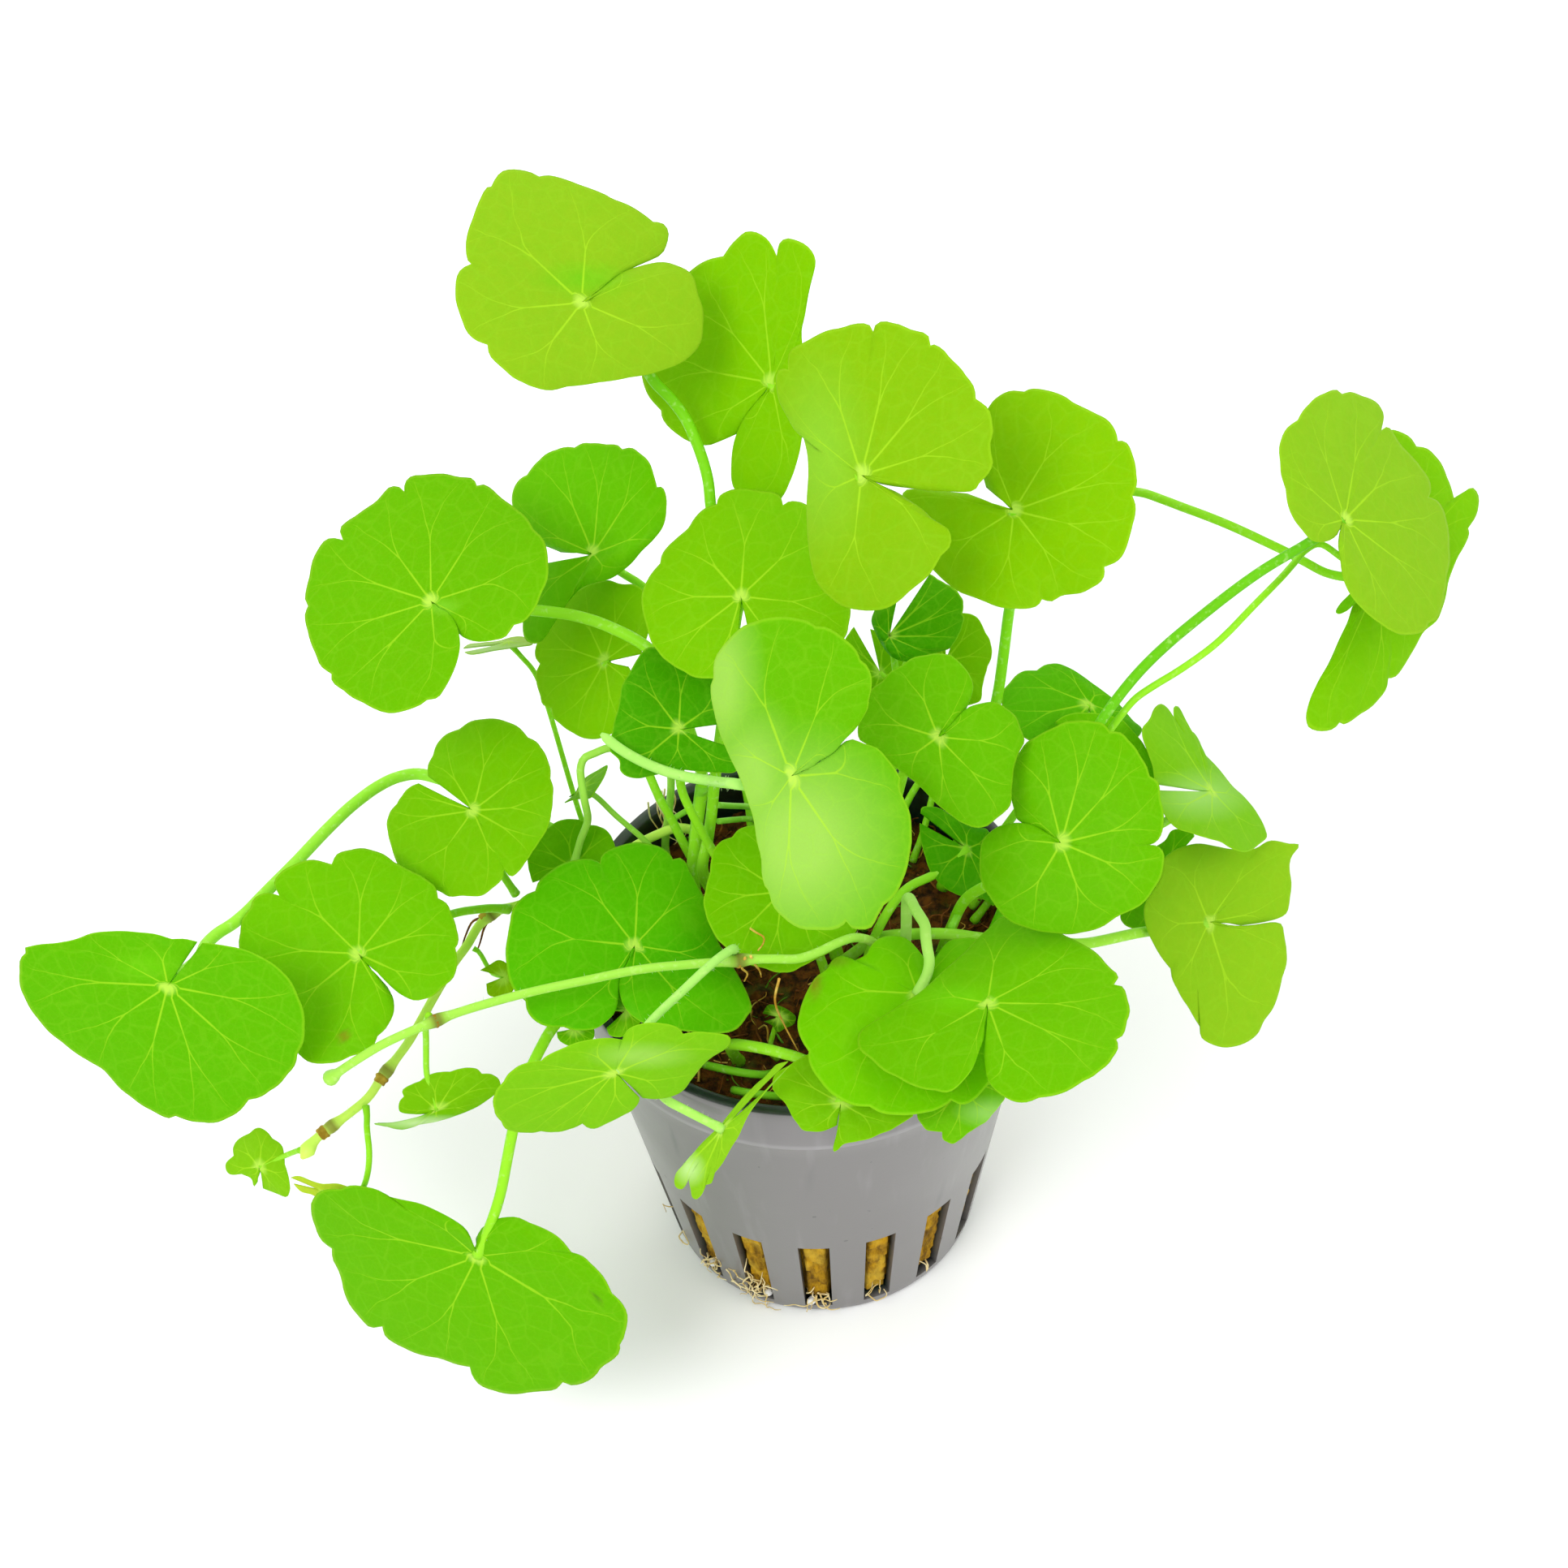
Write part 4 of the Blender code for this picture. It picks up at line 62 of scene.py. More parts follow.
TRACES['L33']=('007',(920,860),"915,800 935,765 970,740 1010,728 1055,727 1098,745n 1130,758 1175,780 1210,805 1243,848n 1280,860 1320,895 1355,935 1385,990n 1415,1020 1435,1060 1435,1105 1425,1145 1410,1168n 1410,1190 1390,1215 1350,1245 1325,1275 1280,1300 1240,1307 1215,1298n 1190,1320 1140,1327 1045,1337 980,1328 925,1303 900,1270 893,1245n 850,1235 800,1218 740,1205 690,1190 640,1165 600,1135 590,1105n 550,1107 520,1080 485,1040 460,985 440,910 420,870 415,835n 385,810 360,765 348,720 345,680n 355,655 385,635 440,630n 480,618 530,622 580,635 610,655n 660,667 720,680 780,705 840,738 875,765 893,795 905,830")
TRACES['L34']=('007',(172,552),"180,628 225,645 262,657 272,635 268,590 255,545n 252,510 243,478 212,455n 190,430 160,418 133,437n 95,458 77,485 78,515n 50,545 62,578 105,578n 140,595 148,622 160,605")
TRACES['L35']=('007',(778,352),"740,370 700,371 650,361 650,330 665,310n 660,290 690,270 720,258n 745,240 780,228 825,225n 870,213 915,215 935,232n 970,235 995,255 1000,280 985,300n 920,345 850,375 775,398 700,410 640,418 560,405 620,403 700,387 750,374")
TRACES['L36']=('009',(595,1085),"700,1185 750,1188 810,1178 850,1155 885,1110 920,1065 960,1030 1015,995 1028,972 1020,955 985,946 940,940 890,940 850,946n 840,930 800,912 740,905 680,912 640,935 625,968n 580,962 520,965 450,980 390,1005 340,1030 320,1047n 275,1052 240,1065 205,1090 180,1125n 150,1165 143,1205 150,1240 172,1272n 190,1298 230,1310 290,1313 320,1308n 380,1311 440,1296 475,1280n 490,1292 520,1298 580,1272 620,1252 660,1230 685,1200 688,1183")
TRACES['L37']=('012',(560,310),"984,-93 884,8 800,110 740,190 700,260 660,350 610,430 560,520 500,600 490,645 450,660n 430,715 395,748 370,735 358,680 345,610n 305,685 270,675 258,640 265,590 300,545 350,495 400,430 470,360 545,285 610,205 700,105 790,10 867,-43 884,-85 968,-115")
TRACES['L38']=('009',(185,735),"95,710 130,690 165,672 200,690 225,740 215,790 190,802 155,810 125,800 118,760")
TRACES['L39']=('002',(952,605),"925,660 905,678 865,688 830,680 800,645 765,600 745,550 735,490n 718,430 715,390 712,340 720,300 740,265 780,232n 800,200 830,165 875,135 925,122 945,135n 975,130 1010,140 1050,155 1085,180 1100,215 1092,270n 1115,258 1130,275 1160,320 1200,365 1240,410 1270,460 1275,500 1268,520n 1300,535 1325,575 1340,640 1345,700 1345,760 1335,815n 1330,860 1315,930 1300,970 1268,990n 1255,1015 1210,1030 1170,1032 1120,1012 1060,970 1010,925 975,880 950,825 940,760 932,700 937,655")
TRACES['L40']=('002',(1090,800),"1000,900 985,925 965,985 930,1060 890,1150 850,1220 820,1290 812,1340 825,1380 860,1390 915,1380 935,1360n 950,1365 1010,1330 1070,1285 1110,1230 1117,1195n 1140,1190 1180,1140 1215,1080 1250,1020 1300,975 1325,910 1345,820 1370,755 1400,700 1418,655 1415,635n 1440,595 1452,560 1450,510 1430,483 1400,500 1362,522n 1330,430 1300,375 1260,340 1222,330n 1200,300 1165,280 1130,268 [1060,300 1000,400 960,520 950,650 960,760]")
TRACES['L41']=('002',(1050,830),"1000,905 960,945 928,955 922,945 950,905 985,880 [1000,800 1040,740 1110,740 1150,800 1150,870 1110,930 1050,950]")
TRACES['L42']=('004',(290,765),"228,812 262,800 290,797 325,793 342,770 372,722 385,690 388,672 350,692 315,712 300,725 283,745 268,775 245,790")
TRACES['L43']=('003',(838,855),"660,875 680,860 740,855 800,846 850,832 890,830 925,845 930,858 880,868 830,876 770,885 720,895 685,898 665,890")
TRACES['L44']=('007',(400,640),"275,590 300,585 340,600 380,612 440,612 500,640 520,680 480,710 420,700 350,650 310,638 285,612")
TRACES['L45']=('009',(445,930),"380,940 385,965 410,985 440,993 480,985 515,965 520,935 500,900 450,880 400,895")
TRACES['L46']=('p',(1432,1075),"1472,1030 1468,1024 1455,1021 1443,1024 1436,1035 1400,1060 1385,1100 1381,1133 1388,1141 1400,1145 1415,1142 1450,1120 1470,1080")
TRACES['L47']=('009',(1205,885),"1145,870 1165,840 1195,840 1225,850 1250,865 1268,885 1260,910 1230,925 1200,940 1180,915 1150,900")

# Leaves: hub height, tilt, azimuth of the face, cup, wave, bends (direction, amount), lifted lobe, stalk (root, radius, points it passes).
LEAVES = {}
LEAVES['L01']=(104,27,130,.05,.020,[(300,.10)],1,((-5,7),.60,"876,625 872,590 860,550 838,505 803,466"))
LEAVES['L02']=(92,46,225,.04,.030,[(0,.25)],1,((1,9),.50,""))
LEAVES['L03']=(100,40,215,.04,.022,[(180,.35)],-1,((5,6),.60,""))
LEAVES['L04']=(90,30,235,.05,.035,[],1,((12,5),.58,"1228,862 1236,810 1243,755"))
LEAVES['L05']=(76,39,235,.10,.030,[],1,((-9,8),.48,"795,725 768,707"))
LEAVES['L06']=(84,21,240,.03,.015,[],1,((-8,-2),.62,"853,1072 857,1035 861,1000 866,965 [862,900 838,835] 799,798 779,786 752,773 719,761 686,755 658,752"))
LEAVES['L07']=(84,15,210,.05,.018,[],1,((-5,0),.60,"866,1075 872,1035 877,1000 880,968"))
LEAVES['L08']=(66,36,235,.05,.030,[],1,((-11,2),.48,"840,1035 825,1005 812,982 801,957"))
LEAVES['L09']=(74,28,150,.08,.030,[],1,((-8,3),.48,"849,995 839,969"))
LEAVES['L10']=(90,35,190,.02,.015,[(180,.40)],-1,((0,-4),.62,""))
LEAVES['L11']=(74,30,140,.08,.025,[],1,((9,0),.52,""))
LEAVES['L12']=(62,24,200,.10,.04,[],1,((7,11),.40,""))
LEAVES['L13']=(54,28,190,.08,.04,[],1,((9,9),.36,""))
LEAVES['L14']=(54,38,190,.08,.03,[],1,((13,9),.40,""))
LEAVES['L15']=(62,20,120,.06,.03,[(350,.35)],1,((15,5),.45,""))
LEAVES['L16']=(61,35,165,.06,.02,[],1,((16,1),.45,""))
LEAVES['L17']=(66,36,205,.06,.022,[],1,((11,-5),.58,"1172,1143 1192,1106"))
LEAVES['L18']=(58,44,95,.06,.05,[],1,((17,-3),.48,""))
LEAVES['L19']=(46,48,140,.05,.03,[],1,((4,-3),.60,"1083,1156 1126,1151 1172,1151 1210,1156 [1270,1164] 1331,1163 1411,1148"))
LEAVES['L20']=(52,34,130,.08,.02,[],1,((8,-4),.50,"1083,1143 1116,1096 1152,1077"))
LEAVES['L21']=(68,14,300,.03,.020,[(215,.22)],-1,((12,-11),.60,""))
LEAVES['L22']=(58,8,200,.05,.020,[],1,((6,-8),.58,"1119,1106 1131,1126 1139,1137 1141,1160 1145,1190"))
LEAVES['L23']=(54,24,190,.02,.03,[],1,((-11,-11),.58,"902,1287 941,1292 965,1298 988,1305"))
LEAVES['L25']=(53,42,170,.02,.03,[(20,.3)],1,((14,-8),.45,""))
LEAVES['L26']=(60,24,140,.06,.018,[],1,((1,-9),.50,""))
LEAVES['L27']=(56,16,160,.06,.020,[],-1,((-10,-7),.58,""))
LEAVES['L28']=(52,20,190,.06,.02,[],1,((-14,-5),.30,""))
LEAVES['L29']=(53,22,190,.08,.03,[],1,((-12,10),.42,"749,922 729,930 717,937 716,959 720,985 724,1012"))
LEAVES['L30']=(63,30,235,.06,.040,[],1,('C5',.42,""))
LEAVES['L31']=(58,18,200,.05,.020,[],1,('C5',.45,"585,1121 558,1126"))
LEAVES['L32']=(62,63,200,.03,.018,[],-1,((-15,5),.66,"525,955 500,955 473,965 437,990 402,1023 366,1061 330,1097 295,1132 257,1159"))
LEAVES['L33']=(27,72,201,.04,.020,[(200,.12)],1,((-15,-3),.58,"680,1268 667,1290 658,1308 [645,1350] 631,1397 624,1433 617,1469 608,1499"))
LEAVES['L34']=(34,60,216,.06,.05,[],1,('C17',.30,"351,1424"))
LEAVES['L35']=(43,82,176,.05,.03,[],1,('A11',.32,"525,1285 525,1300 526,1324"))
LEAVES['L36']=(62,80,169,.04,.05,[],1,('A4',.44,"880,1185 840,1222 799,1262"))
LEAVES['L37']=(51,48,215,.0,.0,[(120,.5)],1,((-16,-8),.48,"[795,1335] 819,1353 845,1368"))
LEAVES['L38']=(47,35,170,.05,.05,[],1,('C7',.25,""))
LEAVES['L39']=(78,43,112,.04,.020,[],1,((14,-1),.55,"[1338,915] 1384,851 1423,808 1489,752 1552,705 1615,667"))
LEAVES['L40']=(72,38,130,.04,.03,[(330,.2)],1,((9,13),.50,"[1205,640 1262,590 1330,588] 1400,606 1449,622 1512,646 1585,680 1648,710"))
LEAVES['L41']=(72,45,240,.05,.03,[],1,((18,3),.38,"[1356,915] 1402,858 1439,835 1496,795 1546,745 1585,705 1605,682 1622,669"))
LEAVES['L42']=(60,39,300,.0,.05,[],1,((-13,7),.32,"796,1037 786,1028 759,1005 731,979"))
LEAVES['L43']=(64,36,350,.0,.03,[],1,((-14,0),.30,"660,831 645,812"))
LEAVES['L44']=(27,75,215,.0,.03,[],1,('C13',.32,"452,1390 455,1422 452,1450 [449,1474 434,1482]"))
LEAVES['L45']=(50.5,15,180,.0,.03,[],1,((-17,-3),.28,""))
LEAVES['L46']=(42,40,190,.05,.03,[],1,((18,1),.40,""))
LEAVES['L47']=(49,20,170,.05,.05,[],1,((-4,-14),.28,""))
RUNNERS = {}
RUNNERS['A']=((9,-10),.46,"1050,1183,55 1024,1181,58 985,1181,60 935,1181,61.5 912,1184,62 878,1186,62 842,1189,62 792,1194,61.5 726,1207,60.5 643,1225,58 560,1249,54.5 522,1264,52.5 473,1286,50 429,1313,47.5 402,1332,46")
RUNNERS['C']=((-13,12),.50,"850,1020,50 832,1028,50.5 792,1037,51 740,1070,50 690,1095,49 634,1117,48 600,1128,47.5 580,1159,46 567,1175,45.5 531,1235,43 520,1255,42 500,1289,40.5 473,1324,39 453,1353,38 429,1373,37 393,1400,36 378,1417,35.5 371,1430,35 372,1441,34")
RUNNERS['S']=((-2,4),.55,"973,1012,57 957,985,63.5 935,972,67.5 908,966,70 869,961,71.3 832,954,72.5 799,942,74 769,926,75.5 746,909,77 730,894,78")

# Leaf pairs (front, back) where the first covers the second.
OVER = {tuple(w.split(">")) for w in """
L10>L07 L10>L09 L10>L26 L10>L11 L10>L21 L10>L20 L10>L12 L10>L13
L07>L08 L07>L02 L07>L09 L07>L05 L07>L43 L03>L04 L03>L02 L03>L07 L03>L12 L03>L13
L01>L02 L01>L05 L01>L43 L06>L05 L05>L08 L06>L08 L06>L43 L05>L43 L06>L42 L06>L07 L05>L07
L11>L12 L11>L13 L11>L14 L11>L15 L11>L20 
L12>L13 L14>L13 L04>L14 L04>L13 L04>L12 L04>L15 L15>L14 L15>L13
L17>L16 L16>L15 L17>L18 L17>L20 L17>L46 L17>L19 L17>L21 L18>L46 L18>L19 L19>L46
L21>L22 L21>L25 L22>L23 L22>L25 L22>L26 L20>L25 L21>L20 L22>L20 L22>L47 L23>L47 L26>L47
L27>L28 L27>L29 L27>L45 L27>L38 L26>L28 L26>L45 L26>L27 L36>L27 L36>L45 L36>L37 L29>L28
L32>L31 L32>L30 L31>L30 L30>L29 L31>L29 L30>L42 L31>L38 L31>L45 L30>L38 L29>L38 L29>L42
L33>L44 L33>L34 L44>L34 L31>L35 L32>L35 L09>L08 L09>L42 L08>L42 L08>L43 L09>L29 L09>L26 L09>L28
L39>L40 L39>L41 L41>L40 L01>L05 L02>L43 L39>L18 L10>L17 L27>L31 L27>L30 L36>L31 L36>L33 L36>L35
""".split()}
NO_MEET = set()
FIRM = set()

# The view point from which every outline below is given, in millimetres, the pot's base centre at the origin.
EYE = np.array([0.27, -197.767, 290.044])
REACH, MID = 3600.99, 966.0
DIP, TURN, LEAN = 0.837, -0.009, -0.066
AHEAD = np.array([math.sin(TURN) * math.cos(DIP), math.cos(TURN) * math.cos(DIP), -math.sin(DIP)])
_SIDE = np.array([math.cos(TURN), -math.sin(TURN), 0.0])
_OVER = np.cross(_SIDE, AHEAD)
ACROSS = math.cos(LEAN) * _SIDE + math.sin(LEAN) * _OVER
UPWARD = -math.sin(LEAN) * _SIDE + math.cos(LEAN) * _OVER


def ray(u, v):
    u, v = np.asarray(u, float), np.asarray(v, float)
    return AHEAD + ((u - MID) / REACH)[..., None] * ACROSS - ((v - MID) / REACH)[..., None] * UPWARD


def seen_at(p):
    d = np.asarray(p) - EYE
    z = d @ AHEAD
    return MID + REACH * (d @ ACROSS) / z, MID - REACH * (d @ UPWARD) / z, z


def at_height(u, v, z):
    d = ray(u, v)
    return EYE + d * ((z - EYE[2]) / d[..., 2])[..., None]


def at_depth(u, v, depth):
    return EYE + ray(u, v) * np.asarray(depth, float)[..., None]


def on_plane(u, v, h, n):
    d = ray(u, v)
    return EYE + d * ((n @ (h - EYE)) / (d @ n))[..., None]


def facing(tilt, az):
    t, a = math.radians(tilt), math.radians(az)
    return np.array([math.sin(t) * math.sin(a), math.sin(t) * math.cos(a), math.cos(t)])


def outline(key):
    """Hub and outline of a leaf: (u, v), then (u, v), notch and guessed flags of each point."""
    win, hub, text = TRACES[key]
    x0, y0, sc = WINDOWS[win]
    pts, notch, guess, hid = [], [], [], False
    for w in text.split():
        if w[0] == "[":
            hid, w = True, w[1:]
        end = w[-1] == "]"
        w = w.rstrip("]")
        nn = w[-1] == "n"
        w = w.rstrip("n")
        x, y = (float(q) for q in w.split(","))
        pts.append((x0 + x / sc, y0 + y / sc))
        notch.append(nn)
        guess.append(hid)
        if end:
            hid = False
    return np.array([x0 + hub[0] / sc, y0 + hub[1] / sc]), np.array(pts), np.array(notch), np.array(guess)


def thin_out(pts, keep):
    """Drops the point that matters least to the outline until keep are left."""
    idx = list(range(len(pts)))
    while len(idx) > keep:
        p = pts[idx]
        a, b, c = p[:-2], p[1:-1], p[2:]
        area = abs((b[:, 0] - a[:, 0]) * (c[:, 1] - a[:, 1]) - (c[:, 0] - a[:, 0]) * (b[:, 1] - a[:, 1]))
        del idx[1 + int(np.argmin(area))]
    return np.array(idx)


# Leaves whose sinus is a closed slit.
CLOSED = ("L04", "L06", "L07", "L15", "L18", "L21", "L27")


class Blade:
    def __init__(self, key, shift=0.0):
        self.key = key
        (self.height, self.tilt, self.az, self.cup, self.wave, self.bends, self.lobe, self.stalk) = LEAVES[key]
        self.hub_uv, self.uv, self.notch, self.guess = outline(key)
        self.normal = facing(self.tilt, self.az)
        self.move(shift)

    def move(self, shift):
        self.shift = shift
        h = at_height(self.hub_uv[0], self.hub_uv[1], self.height)
        d = ray(self.hub_uv[0], self.hub_uv[1])
        self.flat_hub = h + d / np.linalg.norm(d) * shift
        q = on_plane(self.uv[:, 0], self.uv[:, 1], self.flat_hub, self.normal)
        self.size = float(np.mean(np.linalg.norm(q - self.flat_hub, axis=1)))
        self.hub = self.point(self.hub_uv[None], np.zeros(1), np.zeros(1))[0]

    def point(self, uv, s, side):
        """The blade's point seen at uv. s runs 0 at the hub to 1 at the edge, side is -1 and 1 along the two sides of the sinus."""
        p = on_plane(uv[..., 0], uv[..., 1], self.flat_hub, self.normal)
        du, dv = uv[..., 0] - self.hub_uv[0], uv[..., 1] - self.hub_uv[1]
        ang = np.arctan2(-dv, du)
        reach = np.hypot(du, dv) / (np.mean(np.hypot(*(self.uv - self.hub_uv).T)) + 1e-9)
        off = self.cup * np.sin(math.pi * 0.92 * s) - 0.35 * self.cup * s**3
        off = off + self.wave * s**2 * (np.sin(3 * ang + self.height) + 0.6 * np.sin(5 * ang + 2 * self.height))
        for deg, k in self.bends:
            along = reach * np.cos(ang - math.radians(deg))
            off = off - k * np.maximum(0.0, along - 0.15) ** 2
        off = off + self.lobe * 0.085 * np.minimum(reach, 1.0) * np.sign(side) * np.abs(side) ** 2
        d = ray(uv[..., 0], uv[..., 1])
        return p - d / np.linalg.norm(d, axis=-1, keepdims=True) * (off * self.size)[..., None]

    def sides(self, n):
        """Of n outline points: how near each is to an end of the outline, -1 at the first, 1 at the last."""
        t = np.linspace(0.0, 1.0, n)
        return np.where(t < 0.5, -np.clip(1 - t / 0.22, 0, 1), np.clip(1 - (1 - t) / 0.22, 0, 1))

    def spokes(self, uv, s, tame=0.0):
        """Where the spoke to each outline point uv is seen at s: inside, the spokes keep their order and leave the sinus open."""
        d = uv - self.hub_uv
        th, r = np.unwrap(np.arctan2(-d[:, 1], d[:, 0])), np.hypot(d[:, 0], d[:, 1])
        sign = 1.0 if th[-1] > th[0] else -1.0
        up = np.maximum.accumulate(th * sign)
        down = np.minimum.accumulate((th * sign)[::-1])[::-1]
        even = sign * 0.5 * (up + down)
        mix = 0.1 + 0.12 * tame
        even = (1 - mix) * even + mix * np.linspace(even[0], even[-1], len(even))
        mid, half = 0.5 * (even[0] + even[-1]), 0.5 * abs(even[-1] - even[0])
        lim = math.pi - (0.05 if self.key in CLOSED else 0.14) - 0.12 * tame
        even = mid + (even - mid) * min(1.0, lim / max(half, 1e-6))
        k = np.clip((s - 0.5) / 0.5, 0.0, 1.0)
        k = k * k * (3 - 2 * k) * (1.0 - tame)
        a = even + (th - even) * k
        return self.hub_uv + np.stack([np.cos(a), -np.sin(a)], axis=-1) * (r * s)[:, None]

    def coarse(self, keep, rings, tame=0.0):
        idx = thin_out(self.uv, keep)
        uv = self.uv[idx]
        side = self.sides(len(self.uv))[idx]
        pts = [self.hub[None]]
        bends = self.bends
        self.bends = [(deg, k * (1.0 - 0.75 * tame)) for deg, k in bends]
        for s in rings:
            pts.append(self.point(self.spokes(uv, s, tame), np.full(len(uv), s), side))
        self.bends = bends
        return np.vstack(pts), fan(len(uv), len(rings), turns_left(uv, self.hub_uv))


def turns_left(uv, hub):
    a, b = uv[:-1] - hub, uv[1:] - hub
    return (a[:, 0] * b[:, 1] - a[:, 1] * b[:, 0]).sum() < 0


def fan(n, rings, left):
    """Triangles of a fan of n spokes and the given rings round point 0, facing the eye."""
    f = []
    for i in range(n - 1):
        f.append((0, 1 + i, 2 + i))
        for r in range(rings - 1):
            a, b = 1 + r * n + i, 1 + (r + 1) * n + i
            f += [(a, b, b + 1), (a, b + 1, a + 1)]
    f = np.array(f)
    return f if left else f[:, ::-1]


GRID = 8.0
SIZE = 243


def depth_map(pts, tris):
    """The nearest depth of the triangles at each cell of a coarse grid over the view."""
    u, v, z = seen_at(pts)
    u, v = u / GRID, v / GRID
    out = np.full((SIZE, SIZE), np.inf)
    for a, b, c in tris:
        x0, x1 = max(0, int(min(u[a], u[b], u[c]) - 0.5)), min(SIZE - 1, int(max(u[a], u[b], u[c]) + 1.5))
        y0, y1 = max(0, int(min(v[a], v[b], v[c]) - 0.5)), min(SIZE - 1, int(max(v[a], v[b], v[c]) + 1.5))
        if x1 < x0 or y1 < y0:
            continue
        den = (v[b] - v[c]) * (u[a] - u[c]) + (u[c] - u[b]) * (v[a] - v[c])
        if abs(den) < 1e-6:
            continue
        xs, ys = np.meshgrid(np.arange(x0, x1 + 1), np.arange(y0, y1 + 1))
        wa = ((v[b] - v[c]) * (xs - u[c]) + (u[c] - u[b]) * (ys - v[c])) / den
        wb = ((v[c] - v[a]) * (xs - u[c]) + (u[a] - u[c]) * (ys - v[c])) / den
        wc = 1 - wa - wb
        zz = wa * z[a] + wb * z[b] + wc * z[c]
        m = (wa > -0.05) & (wb > -0.05) & (wc > -0.05)
        part = out[y0 : y1 + 1, x0 : x1 + 1]
        part[m] = np.minimum(part[m], zz[m])
    return out


def least_round(m, k=1):
    out = m.copy()
    for dy in range(-k, k + 1):
        for dx in range(-k, k + 1):
            out = np.minimum(out, np.roll(np.roll(m, dy, 0), dx, 1))
    return out


def most_round(m, k=1):
    return -least_round(-m, k)


COARSE_KEEP, COARSE_RINGS = 17, (0.5, 1.0)
BLADE_GAP = 1.1


def settle(blades, over):
    """Moves the leaves along their lines of sight until each that lies over another clears it."""
    keys = list(blades)
    maps = {}
    for k in keys:
        p, t = blades[k].coarse(20, (0.5, 1.0))
        maps[k] = depth_map(p, t)
    start = {k: blades[k].shift for k in keys}
    cover = {k: np.isfinite(maps[k]) for k in keys}
    pairs = []
    for i, a in enumerate(keys):
        for b in keys[i + 1 :]:
            if (a, b) in NO_MEET or (b, a) in NO_MEET:
                continue
            both = cover[a] & least_round(np.where(cover[b], 0.0, 1.0), 0).astype(bool) == 0
            near = most_round(cover[a].astype(float), 1).astype(bool) & most_round(cover[b].astype(float), 1).astype(bool)
            if not near.any():
                continue
            da = least_round(maps[a], 1)[near]
            db = least_round(maps[b], 1)[near]
            da2 = most_round(np.where(np.isfinite(maps[a]), maps[a], -np.inf), 1)[near]
            db2 = most_round(np.where(np.isfinite(maps[b]), maps[b], -np.inf), 1)[near]
            ok = np.isfinite(da) & np.isfinite(db) & np.isfinite(da2) & np.isfinite(db2)
            if not ok.any():
                continue
            da, db, da2, db2 = da[ok], db[ok], da2[ok], db2[ok]
            if (b, a) in over:
                front, back = b, a
            elif (a, b) in over or np.median(db - da) > 0:
                front, back = a, b
            else:
                front, back = b, a
            gap = (db - da2).min() if front == a else (da - db2).min()
            pairs.append((front, back, float(gap)))
    shift = {k: 0.0 for k in keys}
    for _ in range(400):
        worst = 0.0
        for f, b, g in pairs:
            need = BLADE_GAP - (g + shift[b] - shift[f])
            if need > 0:
                wf = 0.5 if f not in FIRM else (0.0 if b not in FIRM else 0.5)
                wb = 1.0 - wf if b not in FIRM or f in FIRM else 0.0
                if f not in FIRM and b in FIRM:
                    wf = 1.0
                shift[f] -= wf * need * 0.8
                shift[b] += wb * need * 0.8
                worst = max(worst, need)
        for k in keys:
            shift[k] *= 0.9995
        if worst < 0.05:
            break
    for k in keys:
        blades[k].move(start[k] + shift[k])
    return pairs, shift, worst


POT_H, POT_R, POT_BASE_R, LIP_R, LIP_H = 48.0, 25.0, 18.0, 24.4, 6.1
POT_WALL, POT_FLOOR = 1.2, 1.5
PLUG_TOP = 43.0


def wall_radius(z):
    return POT_BASE_R + (LIP_R - POT_BASE_R) * np.clip(z, 0, POT_H) / (POT_H - LIP_H)


def pot_clear(p, r):
    """How far each point, as a ball of radius r, goes into the pot's wall, the plug or the floor."""
    p = np.atleast_2d(p)
    rad = np.hypot(p[:, 0], p[:, 1])
    z = p[:, 2]
    inner = np.minimum(wall_radius(z), LIP_R) - POT_WALL
    deep = np.zeros(len(p))
    inside = rad < inner + POT_WALL * 0.5
    low = z < POT_H + r + 0.5
    deep = np.where(low & inside, np.maximum(deep, rad - (inner - r - 0.4)), deep)
    deep = np.where(low & ~inside, np.maximum(deep, (POT_R + r + 0.4) - rad), deep)
    top = np.where(low & ~inside, (POT_H + r + 0.45) - z, 1e9)
    deep = np.where(low & ~inside, np.minimum(deep, np.maximum(top, 0)), deep)
    over_wall = low & inside & (deep > 0)
    deep = np.where(over_wall, np.minimum(deep, np.maximum(POT_H + r + 0.45 - z, 0)), deep)
    deep = np.where(inside & (z < PLUG_TOP + r + 0.25), np.maximum(deep, 0.02 * (PLUG_TOP + r + 0.25 - z)), deep)
    deep = np.maximum(deep, r + 0.5 - z)
    return np.maximum(deep, 0.0)


